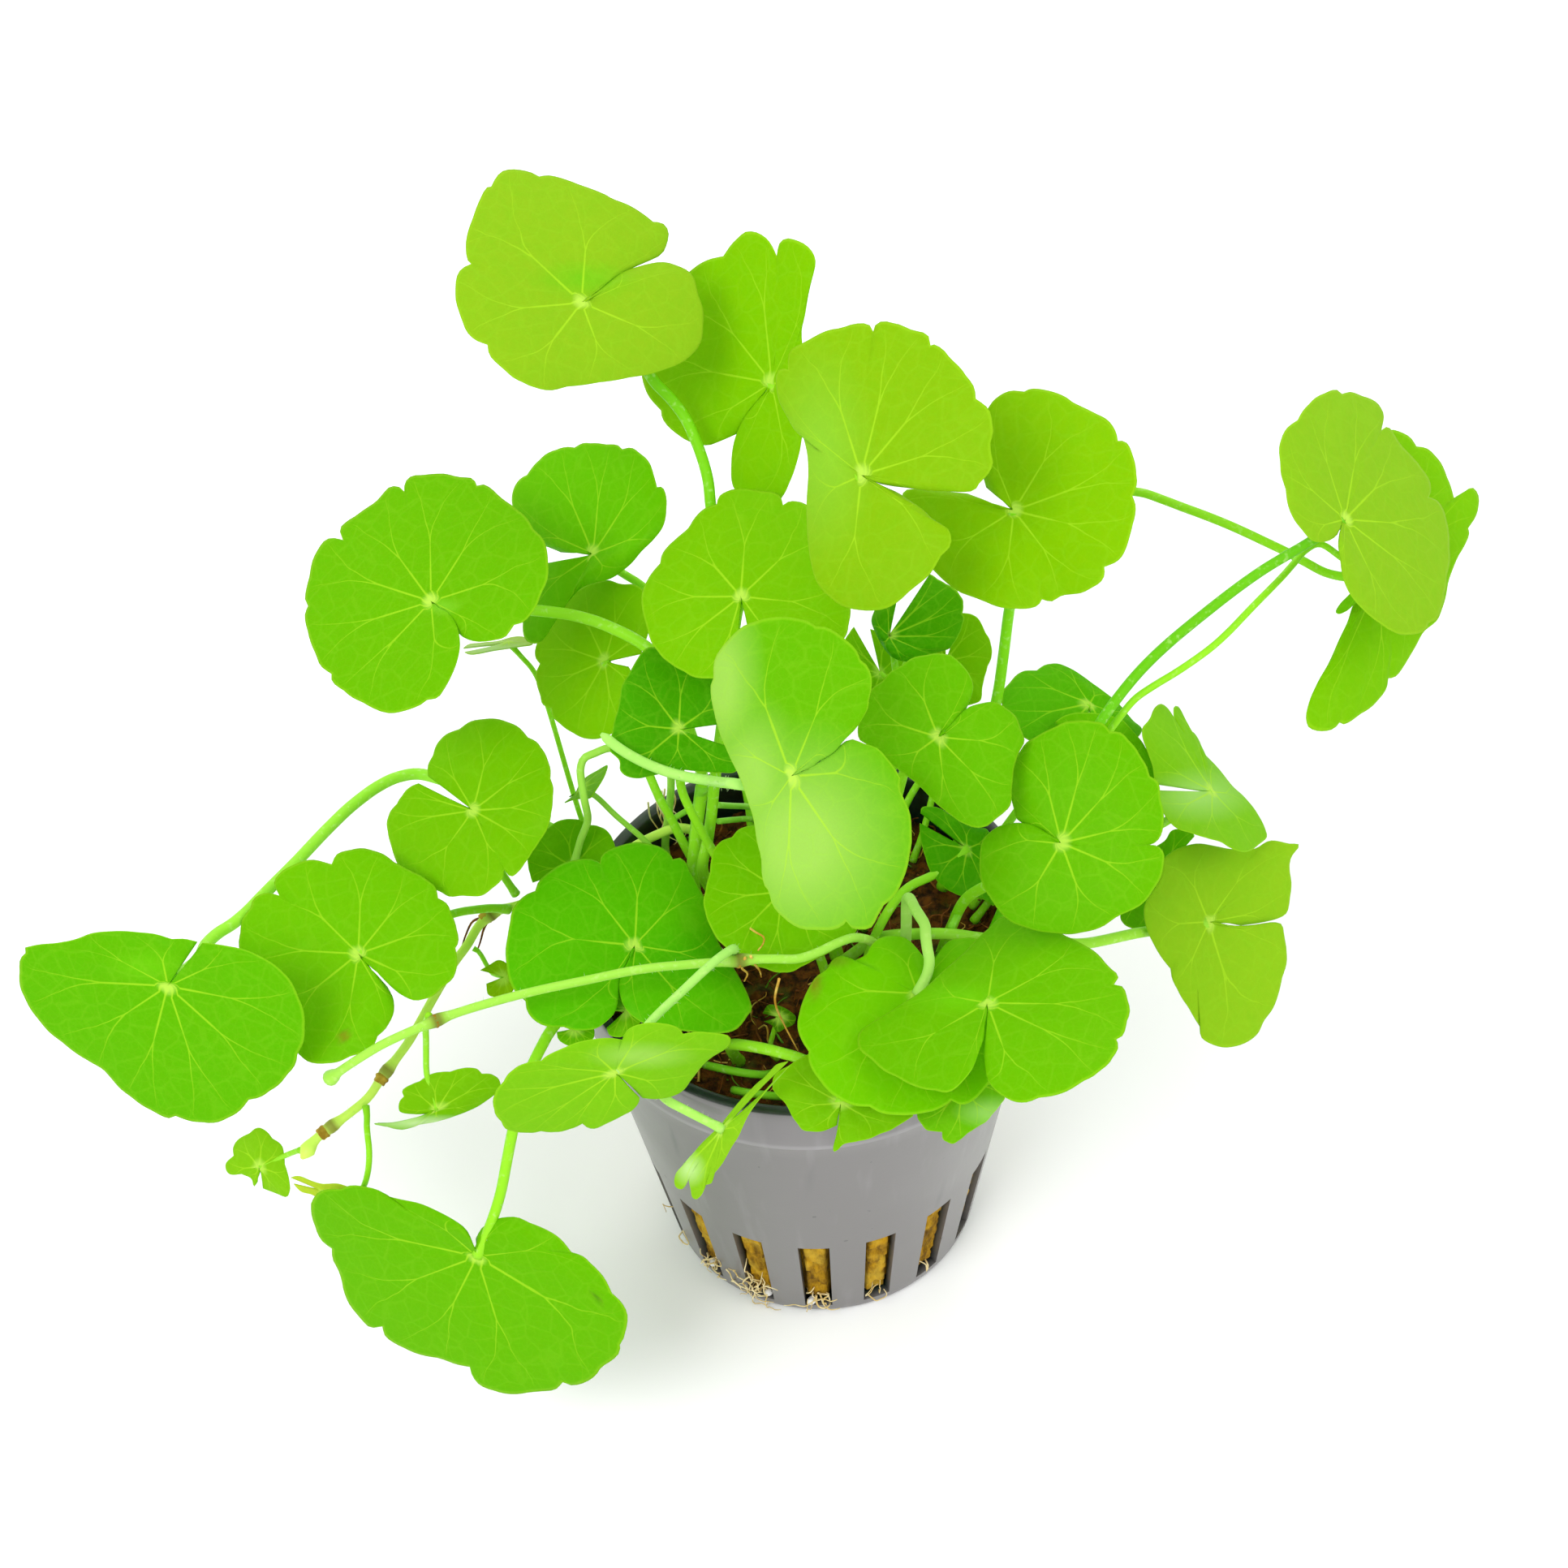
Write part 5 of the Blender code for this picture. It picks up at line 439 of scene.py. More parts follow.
def spline(keys, step=1.2, least=10):
    """A smooth curve through the keys, sampled about every step."""
    k = np.asarray(keys, float)
    gap = np.maximum(np.linalg.norm(np.diff(k, axis=0), axis=1), 1e-3)
    t = np.concatenate([[0], np.cumsum(gap**0.5)])
    m = np.zeros_like(k)
    for i in range(len(k)):
        if i == 0:
            m[i] = (k[1] - k[0]) / (t[1] - t[0])
        elif i == len(k) - 1:
            m[i] = (k[-1] - k[-2]) / (t[-1] - t[-2])
        else:
            a, b = t[i] - t[i - 1], t[i + 1] - t[i]
            m[i] = ((k[i] - k[i - 1]) / a * b + (k[i + 1] - k[i]) / b * a) / (a + b)
    n = max(least, int(gap.sum() / step) + 1)
    grid = np.linspace(0, t[-1], 4 * n)
    i = np.clip(np.searchsorted(t, grid, side="right") - 1, 0, len(k) - 2)
    h = (t[i + 1] - t[i])[:, None]
    x = ((grid - t[i]) / (t[i + 1] - t[i]))[:, None]
    p = (
        (2 * x**3 - 3 * x**2 + 1) * k[i]
        + (x**3 - 2 * x**2 + x) * h * m[i]
        + (-2 * x**3 + 3 * x**2) * k[i + 1]
        + (x**3 - x**2) * h * m[i + 1]
    )
    arc = np.concatenate([[0], np.cumsum(np.linalg.norm(np.diff(p, axis=0), axis=1))])
    w = np.linspace(0, arc[-1], n)
    return np.stack([np.interp(w, arc, p[:, j]) for j in range(3)], axis=1)


def tube(path, radius, sides=6, ends=(1.0, 1.0)):
    """Vertices and faces of a closed round tube along the path, its frame carried along without twist."""
    path = np.asarray(path, float)
    n = len(path)
    rad = np.broadcast_to(np.asarray(radius, float), (n,)).copy()
    tan = np.gradient(path, axis=0)
    tan /= np.linalg.norm(tan, axis=1)[:, None] + 1e-12
    side = np.cross(tan[0], [0.0, 0.0, 1.0])
    if np.linalg.norm(side) < 1e-3:
        side = np.array([1.0, 0.0, 0.0])
    verts = []
    for i in range(n):
        side = side - tan[i] * (side @ tan[i])
        side /= np.linalg.norm(side) + 1e-12
        up = np.cross(tan[i], side)
        a = np.arange(sides) * 2 * math.pi / sides
        verts.append(path[i] + rad[i] * (np.cos(a)[:, None] * side + np.sin(a)[:, None] * up))
    v = np.vstack(verts + [path[:1], path[-1:]])
    f = []
    for i in range(n - 1):
        for j in range(sides):
            a, b = i * sides + j, i * sides + (j + 1) % sides
            f += [(a, b, b + sides), (a, b + sides, a + sides)]
    for j in range(sides):
        f.append((n * sides, (j + 1) % sides, j))
        e = (n - 1) * sides
        f.append((n * sides + 1, e + j, e + (j + 1) % sides))
    return v, np.array(f)


def stalk_marks(text):
    """The (u, v) points a stalk passes, with whether each can be seen."""
    out, hid = [], False
    for w in text.replace("[", " [ ").replace("]", " ] ").split():
        if w == "[":
            hid = True
        elif w == "]":
            hid = False
        else:
            out.append(tuple(float(q) for q in w.split(",")) + (not hid,))
    return out


def runner_keys(key):
    base, radius, text = RUNNERS[key]
    pts = [tuple(float(q) for q in w.split(",")) for w in text.split()]
    return base, radius, np.array([at_height(np.array(u), np.array(v), z) for u, v, z in pts]), np.array(pts)


class Field:
    """Everything a stalk keeps clear of, as one tree of triangles."""

    def __init__(self):
        self.parts = {}

    def add(self, name, v, f):
        self.parts[name] = (np.asarray(v, float), np.asarray(f, int))

    def tree(self, leave=()):
        vs, fs, n = [], [], 0
        for name, (v, f) in self.parts.items():
            if name in leave:
                continue
            vs.append(v)
            fs.append(f + n)
            n += len(v)
        return BVHTree.FromPolygons(np.vstack(vs).tolist(), np.vstack(fs).tolist())


def route_cost(keys, case, stop):
    """How bad a stalk route is: its bends, its length, what it touches and where it shows."""
    blade, tree, front, own, marks, from_runner = case
    radius, top, b = blade.stalk[1], blade.hub, keys[0]
    p = spline(keys)
    w = np.linalg.norm(p - top, axis=1)
    wb = np.linalg.norm(p - b, axis=1)
    uu, vv, dd = seen_at(p)
    iu = np.clip(np.round(uu / GRID).astype(int), 0, SIZE - 1)
    iv = np.clip(np.round(vv / GRID).astype(int), 0, SIZE - 1)
    cost = 60 * (pot_clear(p, radius) ** 2).sum()
    cost += 0.15 * np.linalg.norm(np.diff(p, axis=0), axis=1).sum()
    cost += 6.0 * (np.diff(p, 2, axis=0) ** 2).sum()
    hidden_ok = np.ones(len(p), bool)
    mu = np.array([m[:2] for m in marks if m[2]])
    if len(mu):
        near = np.sqrt(((np.stack([uu, vv], 1)[:, None] - mu[None]) ** 2).sum(2)).min(1)
        hidden_ok = near > 34
    shows = hidden_ok & (w > 3.0) & (dd < front[iv, iu] - 0.3)
    cost += 0.9 * shows.sum()
    over = (w > 2.0) & (dd < own[iv, iu] - 0.2)
    cost += 1.5 * over.sum()
    if cost > stop:
        return cost, p
    need = radius + 0.62
    for q in range(len(p)):
        if wb[q] < 1.0 and from_runner:
            continue
        hit = tree.find_nearest(p[q].tolist(), need)
        if hit[0] is not None:
            cost += 40 * (need - hit[3]) ** 2 + 2.0
            if cost > stop:
                break
    return cost, p


def route(blade, field, fronts, own, luck):
    """The best of many stalk routes, then eased aside a little at a time wherever it still touches."""
    base, radius, text = blade.stalk
    tree = field.tree(leave=(blade.key, blade.key + "_stalk"))
    front = fronts[blade.key]
    n, top = blade.normal, blade.hub
    marks = stalk_marks(text)
    starts = []
    if isinstance(base, str):
        root = runner_keys(base[0])[2][int(base[1:])]
        if base[0] in RUNNER_AT:
            line = RUNNER_AT[base[0]]
            root = line[np.argmin(np.linalg.norm(line - root, axis=1))]
        rr = RUNNERS[base[0]][1]
        toward = top - root
        for ang in range(0, 360, 45):
            a = math.radians(ang)
            d = np.array([math.cos(a), math.sin(a), 0.35]) + 0.5 * toward / (np.linalg.norm(toward) + 1e-9)
            d /= np.linalg.norm(d)
            starts.append((root + d * (rr + radius + 0.35), root + d * (rr + radius + 2.0)))
    else:
        for dx, dy in ((0, 0), (2, 0), (-2, 0), (0, 2), (0, -2), (3, 3), (-3, -3), (3, -3), (-3, 3)):
            b = np.array([base[0] + dx, base[1] + dy, PLUG_TOP + 0.35])
            if math.hypot(b[0], b[1]) > 20.5 - radius:
                b[:2] *= (20.5 - radius) / math.hypot(b[0], b[1])
            starts.append((b, b + [0.08 * b[0], 0.08 * b[1], 3.5]))
    case = (blade, tree, front, own[blade.key], marks, isinstance(base, str))
    bulges = [(0.0, 0.0)] + [(r * math.cos(a), r * math.sin(a)) for r in (5.0, 11.0) for a in np.arange(8) * math.pi / 4]
    pre = 2.2 if blade.size > 5 else 1.2
    best = (1e18, None, None)
    for b, b2 in starts:
        trials = []
        if marks:
            uv = np.array([m[:2] for m in marks])
            bu, bv, _ = seen_at(b2)
            line = np.vstack([[bu, bv], uv, blade.hub_uv])
            arc = np.concatenate([[0], np.cumsum(np.linalg.norm(np.diff(line, axis=0), axis=1))])
            f = arc[1:-1] / arc[-1]
            iu = np.clip(np.round(uv[:, 0] / GRID).astype(int), 0, SIZE - 1)
            iv = np.clip(np.round(uv[:, 1] / GRID).astype(int), 0, SIZE - 1)
            lim = np.where([m[2] for m in marks], front[iv, iu] - radius - 0.5, 1e9)
            for power in (0.5, 0.8, 1.2, 1.9):
                for lift in (-6.0, -2.0, 2.0, 7.0, 13.0):
                    z = b2[2] + (top[2] - b2[2]) * f**power + lift * np.sin(math.pi * f)
                    pts = at_height(uv[:, 0], uv[:, 1], z)
                    dep = seen_at(pts)[2]
                    pull = np.clip(dep - lim, 0.0, 6.0)
                    if len(pull) > 2:
                        soft = pull.copy()
                        soft[1:-1] = np.maximum(pull[1:-1], 0.5 * (pull[:-2] + pull[2:]))
                        pull = soft
                    pts = at_depth(uv[:, 0], uv[:, 1], dep - pull)
                    for sway in ((0, 0), (5, 0), (-5, 0), (0, 5), (0, -5)):
                        mid = (b2 + pts[0]) / 2 + np.array([sway[0], sway[1], 0])
                        keys = [b, b2] + ([mid] if np.linalg.norm(pts[0] - b2) > 8 else [])
                        kinds = ["root", "free"] + ["free"] * (len(keys) - 2)
                        keys += list(pts)
                        kinds += ["ray" if m[2] else "free" for m in marks]
                        d = top - pts[-1]
                        dist = np.linalg.norm(d)
                        if dist > 6:
                            keys.append(top - n * min(pre, dist * 0.25) - d / dist * 2.0)
                            kinds.append("free")
                        trials.append((keys + [top], kinds + ["top"]))
        else:
            for bulge in bulges:
                for frac in (0.35, 0.65):
                    for lift in (-4.0, 1.0, 6.0):
                        mid = b2 + (top - b2) * frac + np.array([bulge[0], bulge[1], lift])
                        d = top - mid
                        d[2] = 0
                        back = d / (np.linalg.norm(d) + 1e-9)
                        trials.append(([b, b2, mid, top - n * pre - back, top], ["root", "free", "free", "free", "top"]))
        for keys, kinds in trials:
            cost, p = route_cost(keys, case, best[0])
            if cost < best[0]:
                best = (cost, p, keys, kinds)
    cost, p, keys, kinds = best
    loose = [i for i, k in enumerate(kinds) if k in ("free", "ray")]
    step = 2.5
    for go in range(260 if cost > 9 else 60):
        if go % 65 == 64:
            step *= 0.7
        i = loose[luck.integers(len(loose))]
        move = luck.normal(0, step, 3)
        if kinds[i] == "ray":
            d = keys[i] - EYE
            move = d / np.linalg.norm(d) * move[0]
        trial = list(keys)
        trial[i] = keys[i] + move
        if luck.random() < 0.4 and i + 1 < len(keys) - 1 and kinds[i] == kinds[i + 1]:
            trial[i + 1] = keys[i + 1] + move
        if min(q[2] for q in trial) < 2:
            continue
        c2, p2 = route_cost(trial, case, cost)
        if c2 < cost:
            cost, p, keys = c2, p2, trial
    return cost, p


RUNNER_AT = {}


def ease_runner(name, base, radius, pts, field, luck):
    """A runner's path from the plug through its points, eased along the lines of sight until nothing touches it."""
    tree = field.tree()
    b = np.array([base[0], base[1], PLUG_TOP + 0.35])
    keys = [b, b + [0.1 * base[0], 0.1 * base[1], 3.0]] + list(pts)

    def cost_of(k, stop):
        p = spline(k)
        c = 60 * (pot_clear(p, radius) ** 2).sum() + 6.0 * (np.diff(p, 2, axis=0) ** 2).sum()
        for q in p[1:]:
            if c > stop:
                break
            hit = tree.find_nearest(q.tolist(), radius + 0.7)
            if hit[0] is not None:
                c += 40 * (radius + 0.7 - hit[3]) ** 2 + 1.0
        return c, p

    cost, path = cost_of(keys, 1e18)
    for go in range(500):
        i = 1 + luck.integers(len(keys) - 1)
        move = luck.normal(0, 2.0 if go < 250 else 0.8, 3)
        if i > 3:
            d = keys[i] - EYE
            move = d / np.linalg.norm(d) * move[0] * 0.7
        trial = list(keys)
        trial[i] = keys[i] + move
        if luck.random() < 0.4 and 3 < i < len(keys) - 1:
            trial[i + 1] = keys[i + 1] + move
        c2, p2 = cost_of(trial, cost)
        if c2 < cost:
            cost, path, keys = c2, p2, trial
    return path


def grow():
    """All blades, runners and stalks, settled."""
    blades = {k: Blade(k) for k in LEAVES}
    settle(blades, OVER)
    field = Field()
    maps = {}
    for k, b in blades.items():
        v, f = b.coarse(COARSE_KEEP, COARSE_RINGS)
        field.add(k, v, f)
        maps[k] = depth_map(v, f)
    keys = list(blades)
    fronts = {}
    for k in keys:
        m = np.full((SIZE, SIZE), np.inf)
        for j in keys:
            if j != k:
                m = np.minimum(m, maps[j])
        fronts[k] = m
    full = np.full((SIZE, SIZE), np.inf)
    for j in keys:
        full = np.minimum(full, maps[j])
    full = least_round(full, 1)
    luck = np.random.default_rng(11)
    runners = {}
    for name in RUNNERS:
        base, radius, pts, raw = runner_keys(name)
        if name != "B":
            for q in range(len(pts)):
                iu, iv = int(round(raw[q, 0] / GRID)), int(round(raw[q, 1] / GRID))
                lim = full[iv, iu] - radius - 0.7
                _, _, dd = seen_at(pts[q])
                if q > {"A": 0, "S": 2}.get(name, 99) and dd > lim and np.isfinite(lim):
                    pts[q] = at_depth(raw[q : q + 1, 0], raw[q : q + 1, 1], np.array([lim]))[0]
        path = ease_runner(name, base, radius, pts, field, luck)
        runners[name] = (path, radius)
        RUNNER_AT[name] = path
        v, f = tube(path[::2], radius, 5)
        field.add("run" + name, v, f)
    order = sorted(keys, key=lambda k: (0 if stalk_marks(blades[k].stalk[2]) else 1, -blades[k].stalk[1]))
    stalks, costs = {}, {}
    for turn in range(2):
        for k in order:
            if turn and costs[k] < WELL:
                continue
            cost, p = route(blades[k], field, fronts, maps, luck)
            costs[k] = cost
            stalks[k] = p
            v, f = tube(p[::2] if len(p) > 12 else p, blades[k].stalk[1], 5)
            field.add(k + "_stalk", v, f)
    return blades, runners, stalks, costs, field


WELL = 12.0


MM = 0.001
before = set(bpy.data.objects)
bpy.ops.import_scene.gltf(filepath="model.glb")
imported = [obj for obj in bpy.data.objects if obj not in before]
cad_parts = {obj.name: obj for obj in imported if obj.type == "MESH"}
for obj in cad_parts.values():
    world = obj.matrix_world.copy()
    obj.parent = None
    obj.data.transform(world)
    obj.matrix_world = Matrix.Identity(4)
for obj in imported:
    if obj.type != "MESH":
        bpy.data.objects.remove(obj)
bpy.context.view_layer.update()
blades, runners, stalks, costs, field = grow()


# ---------------------------------------------------------------- materials
def linear(c):
    c = np.asarray(c, float) / 255.0
    return np.where(c <= 0.04045, c / 12.92, ((c + 0.055) / 1.055) ** 2.4)


class Net:
    """A short way to write node trees."""

    def __init__(self, name):
        self.mat = bpy.data.materials.new(name)
        self.mat.use_nodes = True
        self.t = self.mat.node_tree
        self.t.nodes.clear()
        self.out = self.t.nodes.new("ShaderNodeOutputMaterial")

    def node(self, kind, **props):
        n = self.t.nodes.new(kind)
        for k, v in props.items():
            setattr(n, k, v)
        return n

    def link(self, a, b):
        self.t.links.new(a, b)

    def _in(self, n, i, v):
        if v is None:
            return
        if isinstance(v, bpy.types.NodeSocket):
            self.link(v, n.inputs[i])
        else:
            n.inputs[i].default_value = v

    def math(self, op, a, b=None, c=None, clamp=False):
        n = self.node("ShaderNodeMath", operation=op, use_clamp=clamp)
        self._in(n, 0, a)
        self._in(n, 1, b)
        self._in(n, 2, c)
        return n.outputs[0]

    def ramp(self, x, lo, hi, a=0.0, b=1.0):
        n = self.node("ShaderNodeMapRange", interpolation_type="SMOOTHSTEP")
        self._in(n, 0, x)
        for i, v in enumerate((lo, hi, a, b)):
            self._in(n, 1 + i, v)
        return n.outputs[0]

    def attr(self, name):
        return self.node("ShaderNodeAttribute", attribute_name=name)

    def mix(self, f, a, b, how="MIX"):
        n = self.node("ShaderNodeMix", data_type="RGBA", blend_type=how)
        self._in(n, 0, f)
        self._in(n, 6, a if isinstance(a, bpy.types.NodeSocket) else (*a, 1.0))
        self._in(n, 7, b if isinstance(b, bpy.types.NodeSocket) else (*b, 1.0))
        return n.outputs[2]

    def noise(self, vec, scale, detail=3.0, rough=0.5):
        n = self.node("ShaderNodeTexNoise")
        self._in(n, 0, vec)
        n.inputs["Scale"].default_value = scale
        n.inputs["Detail"].default_value = detail
        n.inputs["Roughness"].default_value = rough
        return n.outputs[0]

    def cells(self, vec, scale, feature="F1"):
        n = self.node("ShaderNodeTexVoronoi", feature=feature)
        self._in(n, 0, vec)
        n.inputs["Scale"].default_value = scale
        return n.outputs[0]

    def bump(self, height, strength, distance):
        n = self.node("ShaderNodeBump")
        n.inputs["Strength"].default_value = strength
        n.inputs["Distance"].default_value = distance
        self.link(height, n.inputs["Height"])
        return n.outputs[0]

    def shader(self, colour, rough, normal=None, **more):
        p = self.node("ShaderNodeBsdfPrincipled")
        self._in(p, "Base Color", colour if isinstance(colour, bpy.types.NodeSocket) else (*colour, 1.0))
        self._in(p, "Roughness", rough)
        if normal is not None:
            self.link(normal, p.inputs["Normal"])
        for k, v in more.items():
            p.inputs[k.replace("_", " ")].default_value = v
        return p.outputs[0]

    def done(self, s):
        self.link(s, self.out.inputs[0])
        return self.mat


def leaf_material(name, under):
    m = Net(name)
    uc, s, arc = m.attr("uc").outputs["Fac"], m.attr("s").outputs["Fac"], m.attr("arc").outputs["Fac"]
    tint = m.attr("tint").outputs["Color"]
    flat = m.attr("flat").outputs["Vector"]
    # Distance from the nearest main vein, in mm: it leaves the hub at the middle of each lobe and forks on its way out.
    wob = m.math("SUBTRACT", m.noise(flat, 0.28, 1.0), 0.5)
    half = m.math("ADD", m.math("ABSOLUTE", m.math("SUBTRACT", m.math("FRACT", uc), 0.5)), m.math("MULTIPLY", m.math("MULTIPLY", wob, 0.16), s))
    half = m.math("ABSOLUTE", half)
    fork = m.math("MULTIPLY", m.math("MAXIMUM", m.math("SUBTRACT", s, 0.46), 0.0), 0.52)
    width = m.math("MULTIPLY", arc, s)
    d1 = m.math("MULTIPLY", m.math("ABSOLUTE", m.math("SUBTRACT", half, fork)), width)
    fork2 = m.math("ADD", 0.10, m.math("MULTIPLY", m.math("MAXIMUM", m.math("SUBTRACT", s, 0.72), 0.0), 0.9))
    d2 = m.math("MULTIPLY", m.math("ABSOLUTE", m.math("SUBTRACT", half, fork2)), width)
    d2 = m.math("ADD", d2, m.ramp(s, 0.62, 0.75, 3.0, 0.0))
    thick_at = m.ramp(s, 0.0, 1.0, 0.115, 0.036)
    main = m.math("SUBTRACT", 1.0, m.ramp(m.math("DIVIDE", d1, thick_at), 0.35, 1.6))
    side = m.math("SUBTRACT", 1.0, m.ramp(m.math("DIVIDE", d2, thick_at), 0.25, 1.3))
    main = m.math("MULTIPLY", main, m.ramp(s, 0.99, 0.90))
    net1 = m.math("SUBTRACT", 1.0, m.ramp(m.cells(flat, 0.38, "DISTANCE_TO_EDGE"), 0.015, 0.07))
    net2 = m.math("SUBTRACT", 1.0, m.ramp(m.cells(flat, 1.25, "DISTANCE_TO_EDGE"), 0.02, 0.10))
    hub = m.math("SUBTRACT", 1.0, m.ramp(m.math("MULTIPLY", s, m.attr("big").outputs["Fac"]), 0.35, 1.15))
    edge = m.ramp(s, 0.972, 0.992)
    mottle = m.noise(flat, 0.9, 2.0, 0.6)
    fine = m.noise(flat, 5.0, 2.0, 0.6)
    veins = m.math("MAXIMUM", main, m.math("MULTIPLY", side, 0.45))
    c = m.mix(m.math("MULTIPLY", m.math("SUBTRACT", mottle, 0.35, clamp=True), 0.55), tint, m.mix(0.5, tint, linear((70, 190, 8))))
    # Patch colour: real spots, and painted sheen and painted shade on some leaves.
    c = m.mix(m.attr("shade").outputs["Fac"], c, m.attr("stain_and_painted_light").outputs["Color"])
    c = m.mix(m.math("MULTIPLY", net2, 0.05 if not under else 0.12), c, linear((165, 226, 50)))
    c = m.mix(m.math("MULTIPLY", net1, 0.07), c, linear((165, 226, 50)))
    c = m.mix(m.math("MULTIPLY", veins, m.ramp(s, 0.0, 1.0, 0.62, 0.26)), c, linear((182, 232, 44)))
    c = m.mix(m.math("MULTIPLY", hub, 0.7), c, linear((198, 238, 92)))
    c = m.mix(m.math("MULTIPLY", edge, 0.35), c, linear((170, 226, 40)))
    if under:
        c = m.mix(0.35, c, linear((165, 225, 110)))
    h = m.math("ADD", m.math("MULTIPLY", veins, -0.5), m.math("MULTIPLY", net1, -0.22))
    h = m.math("ADD", h, m.math("MULTIPLY", net2, -0.10))
    h = m.math("ADD", h, m.math("MULTIPLY", fine, 0.25))
    if under:
        h = m.math("MULTIPLY", h, -1.4)
    normal = m.bump(h, 0.30, 0.00012)
    rough = m.ramp(mottle, 0.2, 0.8, 0.50 if under else 0.36, 0.62 if under else 0.50)
    top = m.shader(c, rough, normal, Specular_IOR_Level=0.025)
    glow = m.node("ShaderNodeBsdfTranslucent")
    m.link(m.mix(0.5, c, linear((140, 204, 0))), glow.inputs[0])
    mixer = m.node("ShaderNodeMixShader")
    mixer.inputs[0].default_value = 0.22
    m.link(top, mixer.inputs[1])
    m.link(glow.outputs[0], mixer.inputs[2])
    return m.done(mixer.outputs[0])


def stem_material(name, a, b, rough=0.42):
    m = Net(name)
    at = m.node("ShaderNodeTexCoord").outputs["Object"]
    tint = m.attr("tint").outputs["Color"]
    along = m.noise(at, 260.0, 3.0)
    speck = m.noise(at, 1500.0, 2.0)
    c = m.mix(m.math("MULTIPLY", along, 0.5), tint, m.mix(0.5, tint, linear(a)))
    c = m.mix(m.math("MULTIPLY", m.ramp(speck, 0.55, 0.75), 0.35), c, linear(b))
    c = m.mix(m.attr("shade").outputs["Fac"], c, m.attr("stain_and_painted_light").outputs["Color"])
    n = m.bump(m.math("ADD", speck, along), 0.35, 0.00008)
    base = m.shader(c, rough, n, Specular_IOR_Level=0.15)
    glow = m.node("ShaderNodeBsdfTranslucent")
    m.link(c, glow.inputs[0])
    mixer = m.node("ShaderNodeMixShader")
    mixer.inputs[0].default_value = 0.18
    m.link(base, mixer.inputs[1])
    m.link(glow.outputs[0], mixer.inputs[2])
    return m.done(mixer.outputs[0])


LEAF_TOP = leaf_material("leaf_upper", False)
LEAF_UNDER = leaf_material("leaf_lower", True)
STEM = stem_material("stalk_green", (120, 215, 20), (215, 245, 150))


# ---------------------------------------------------------------- blades
def rounded_outline(b, count):
    """The outline as a smooth line that keeps its notches sharp: points, their place among the traced points, their arc
    length, and the arc length at the ends and at each notch. The outline as a smooth line that keeps its notches sharp:
    points, lobe number, guessed flag.
    """
    uv, notch = b.uv, b.notch
    n = len(uv)
    cut = [0] + [i for i in range(1, n - 1) if notch[i]] + [n - 1]
    out, at = [], []
    total = 0
    for k in range(len(cut) - 1):
        seg = uv[cut[k] : cut[k + 1] + 1]
        p = spline2(seg)
        out.append(p[:-1])
        at.append(np.linspace(cut[k], cut[k + 1], len(p))[:-1])
    out.append(uv[-1:])
    at.append(np.array([n - 1.0]))
    p, a = np.vstack(out), np.concatenate(at)
    arc = np.concatenate([[0], np.cumsum(np.hypot(*np.diff(p, axis=0).T))])
    w = np.linspace(0, arc[-1], count)
    marks = [arc[np.argmin(abs(a - c))] for c in cut]
    for m in marks[1:-1]:
        w[np.argmin(abs(w - m))] = m
    return np.stack([np.interp(w, arc, p[:, 0]), np.interp(w, arc, p[:, 1])], 1), np.interp(w, arc, a), w, marks


def spline2(k):
    k = np.asarray(k, float)
    if len(k) < 3:
        return k[0] + (k[-1] - k[0]) * np.linspace(0, 1, 9)[:, None]
    q = np.column_stack([k, np.zeros(len(k))])
    gap = np.maximum(np.linalg.norm(np.diff(q, axis=0), axis=1), 1e-3)
    return spline(q, step=max(gap.sum() / (10 * len(k)), 0.4))[:, :2]


def lobes_of(b, w, marks, hub_w):
    """Vein coordinate along the outline: a whole number at each notch. Long gaps get veins of their own."""
    span = w[-1] / hub_w
    ends = [m for m in marks]
    keep = [ends[0]]
    least = w[-1] / 14.0
    for m in ends[1:-1]:
        if m - keep[-1] > least and ends[-1] - m > least * 0.6:
            keep.append(m)
    keep.append(ends[-1])
    full = [keep[0]]
    most = w[-1] / 7.5
    for a, c in zip(keep[:-1], keep[1:]):
        parts = max(1, int(round((c - a) / most)))
        full += [a + (c - a) * (i + 1) / parts for i in range(parts)]
    full = np.array(full)
    return np.interp(w, full, np.arange(len(full), dtype=float)), np.diff(full)


SPOKES, RINGS = 150, 18
TONE = np.array([1.2, 0.81, 0.25])
# Every sinus is a narrow slit.
CLOSED = tuple(LEAVES)
# Base colour of each leaf. L09 and L12 are darker as painted shade, where other leaves lie over them; L44 is paler as
# painted light, against the shade it lies in.
COLOURS = {
    "L01": (132, 208, 58), "L02": (118, 212, 0), "L03": (126, 206, 32), "L04": (124, 212, 8), "L05": (96, 206, 6),
    "L06": (98, 200, 4), "L07": (112, 208, 8), "L08": (124, 220, 14), "L09": (66, 176, 4), "L10": (94, 198, 4),
    "L11": (96, 202, 6), "L12": (74, 182, 0), "L13": (110, 206, 10), "L14": (120, 214, 8), "L15": (84, 198, 18),
    "L16": (98, 206, 8), "L17": (95, 200, 6), "L18": (118, 214, 50), "L19": (134, 216, 60), "L20": (70, 182, 0),
    "L21": (100, 203, 5), "L22": (106, 216, 2), "L23": (112, 208, 10), "L25": (100, 204, 20), "L26": (104, 204, 0),
    "L27": (80, 200, 2), "L28": (104, 208, 10), "L29": (104, 206, 10), "L30": (110, 208, 6), "L31": (104, 208, 8),
    "L32": (88, 198, 8), "L33": (94, 200, 4), "L34": (122, 215, 40), "L35": (112, 208, 14), "L36": (116, 212, 46),
    "L37": (128, 215, 62), "L38": (140, 220, 10), "L39": (130, 210, 62), "L40": (116, 214, 14), "L41": (100, 204, 20),
    "L42": (112, 208, 20), "L43": (150, 220, 100), "L44": (176, 232, 96), "L45": (96, 200, 10), "L46": (92, 200, 10),
    "L47": (70, 150, 10),
}
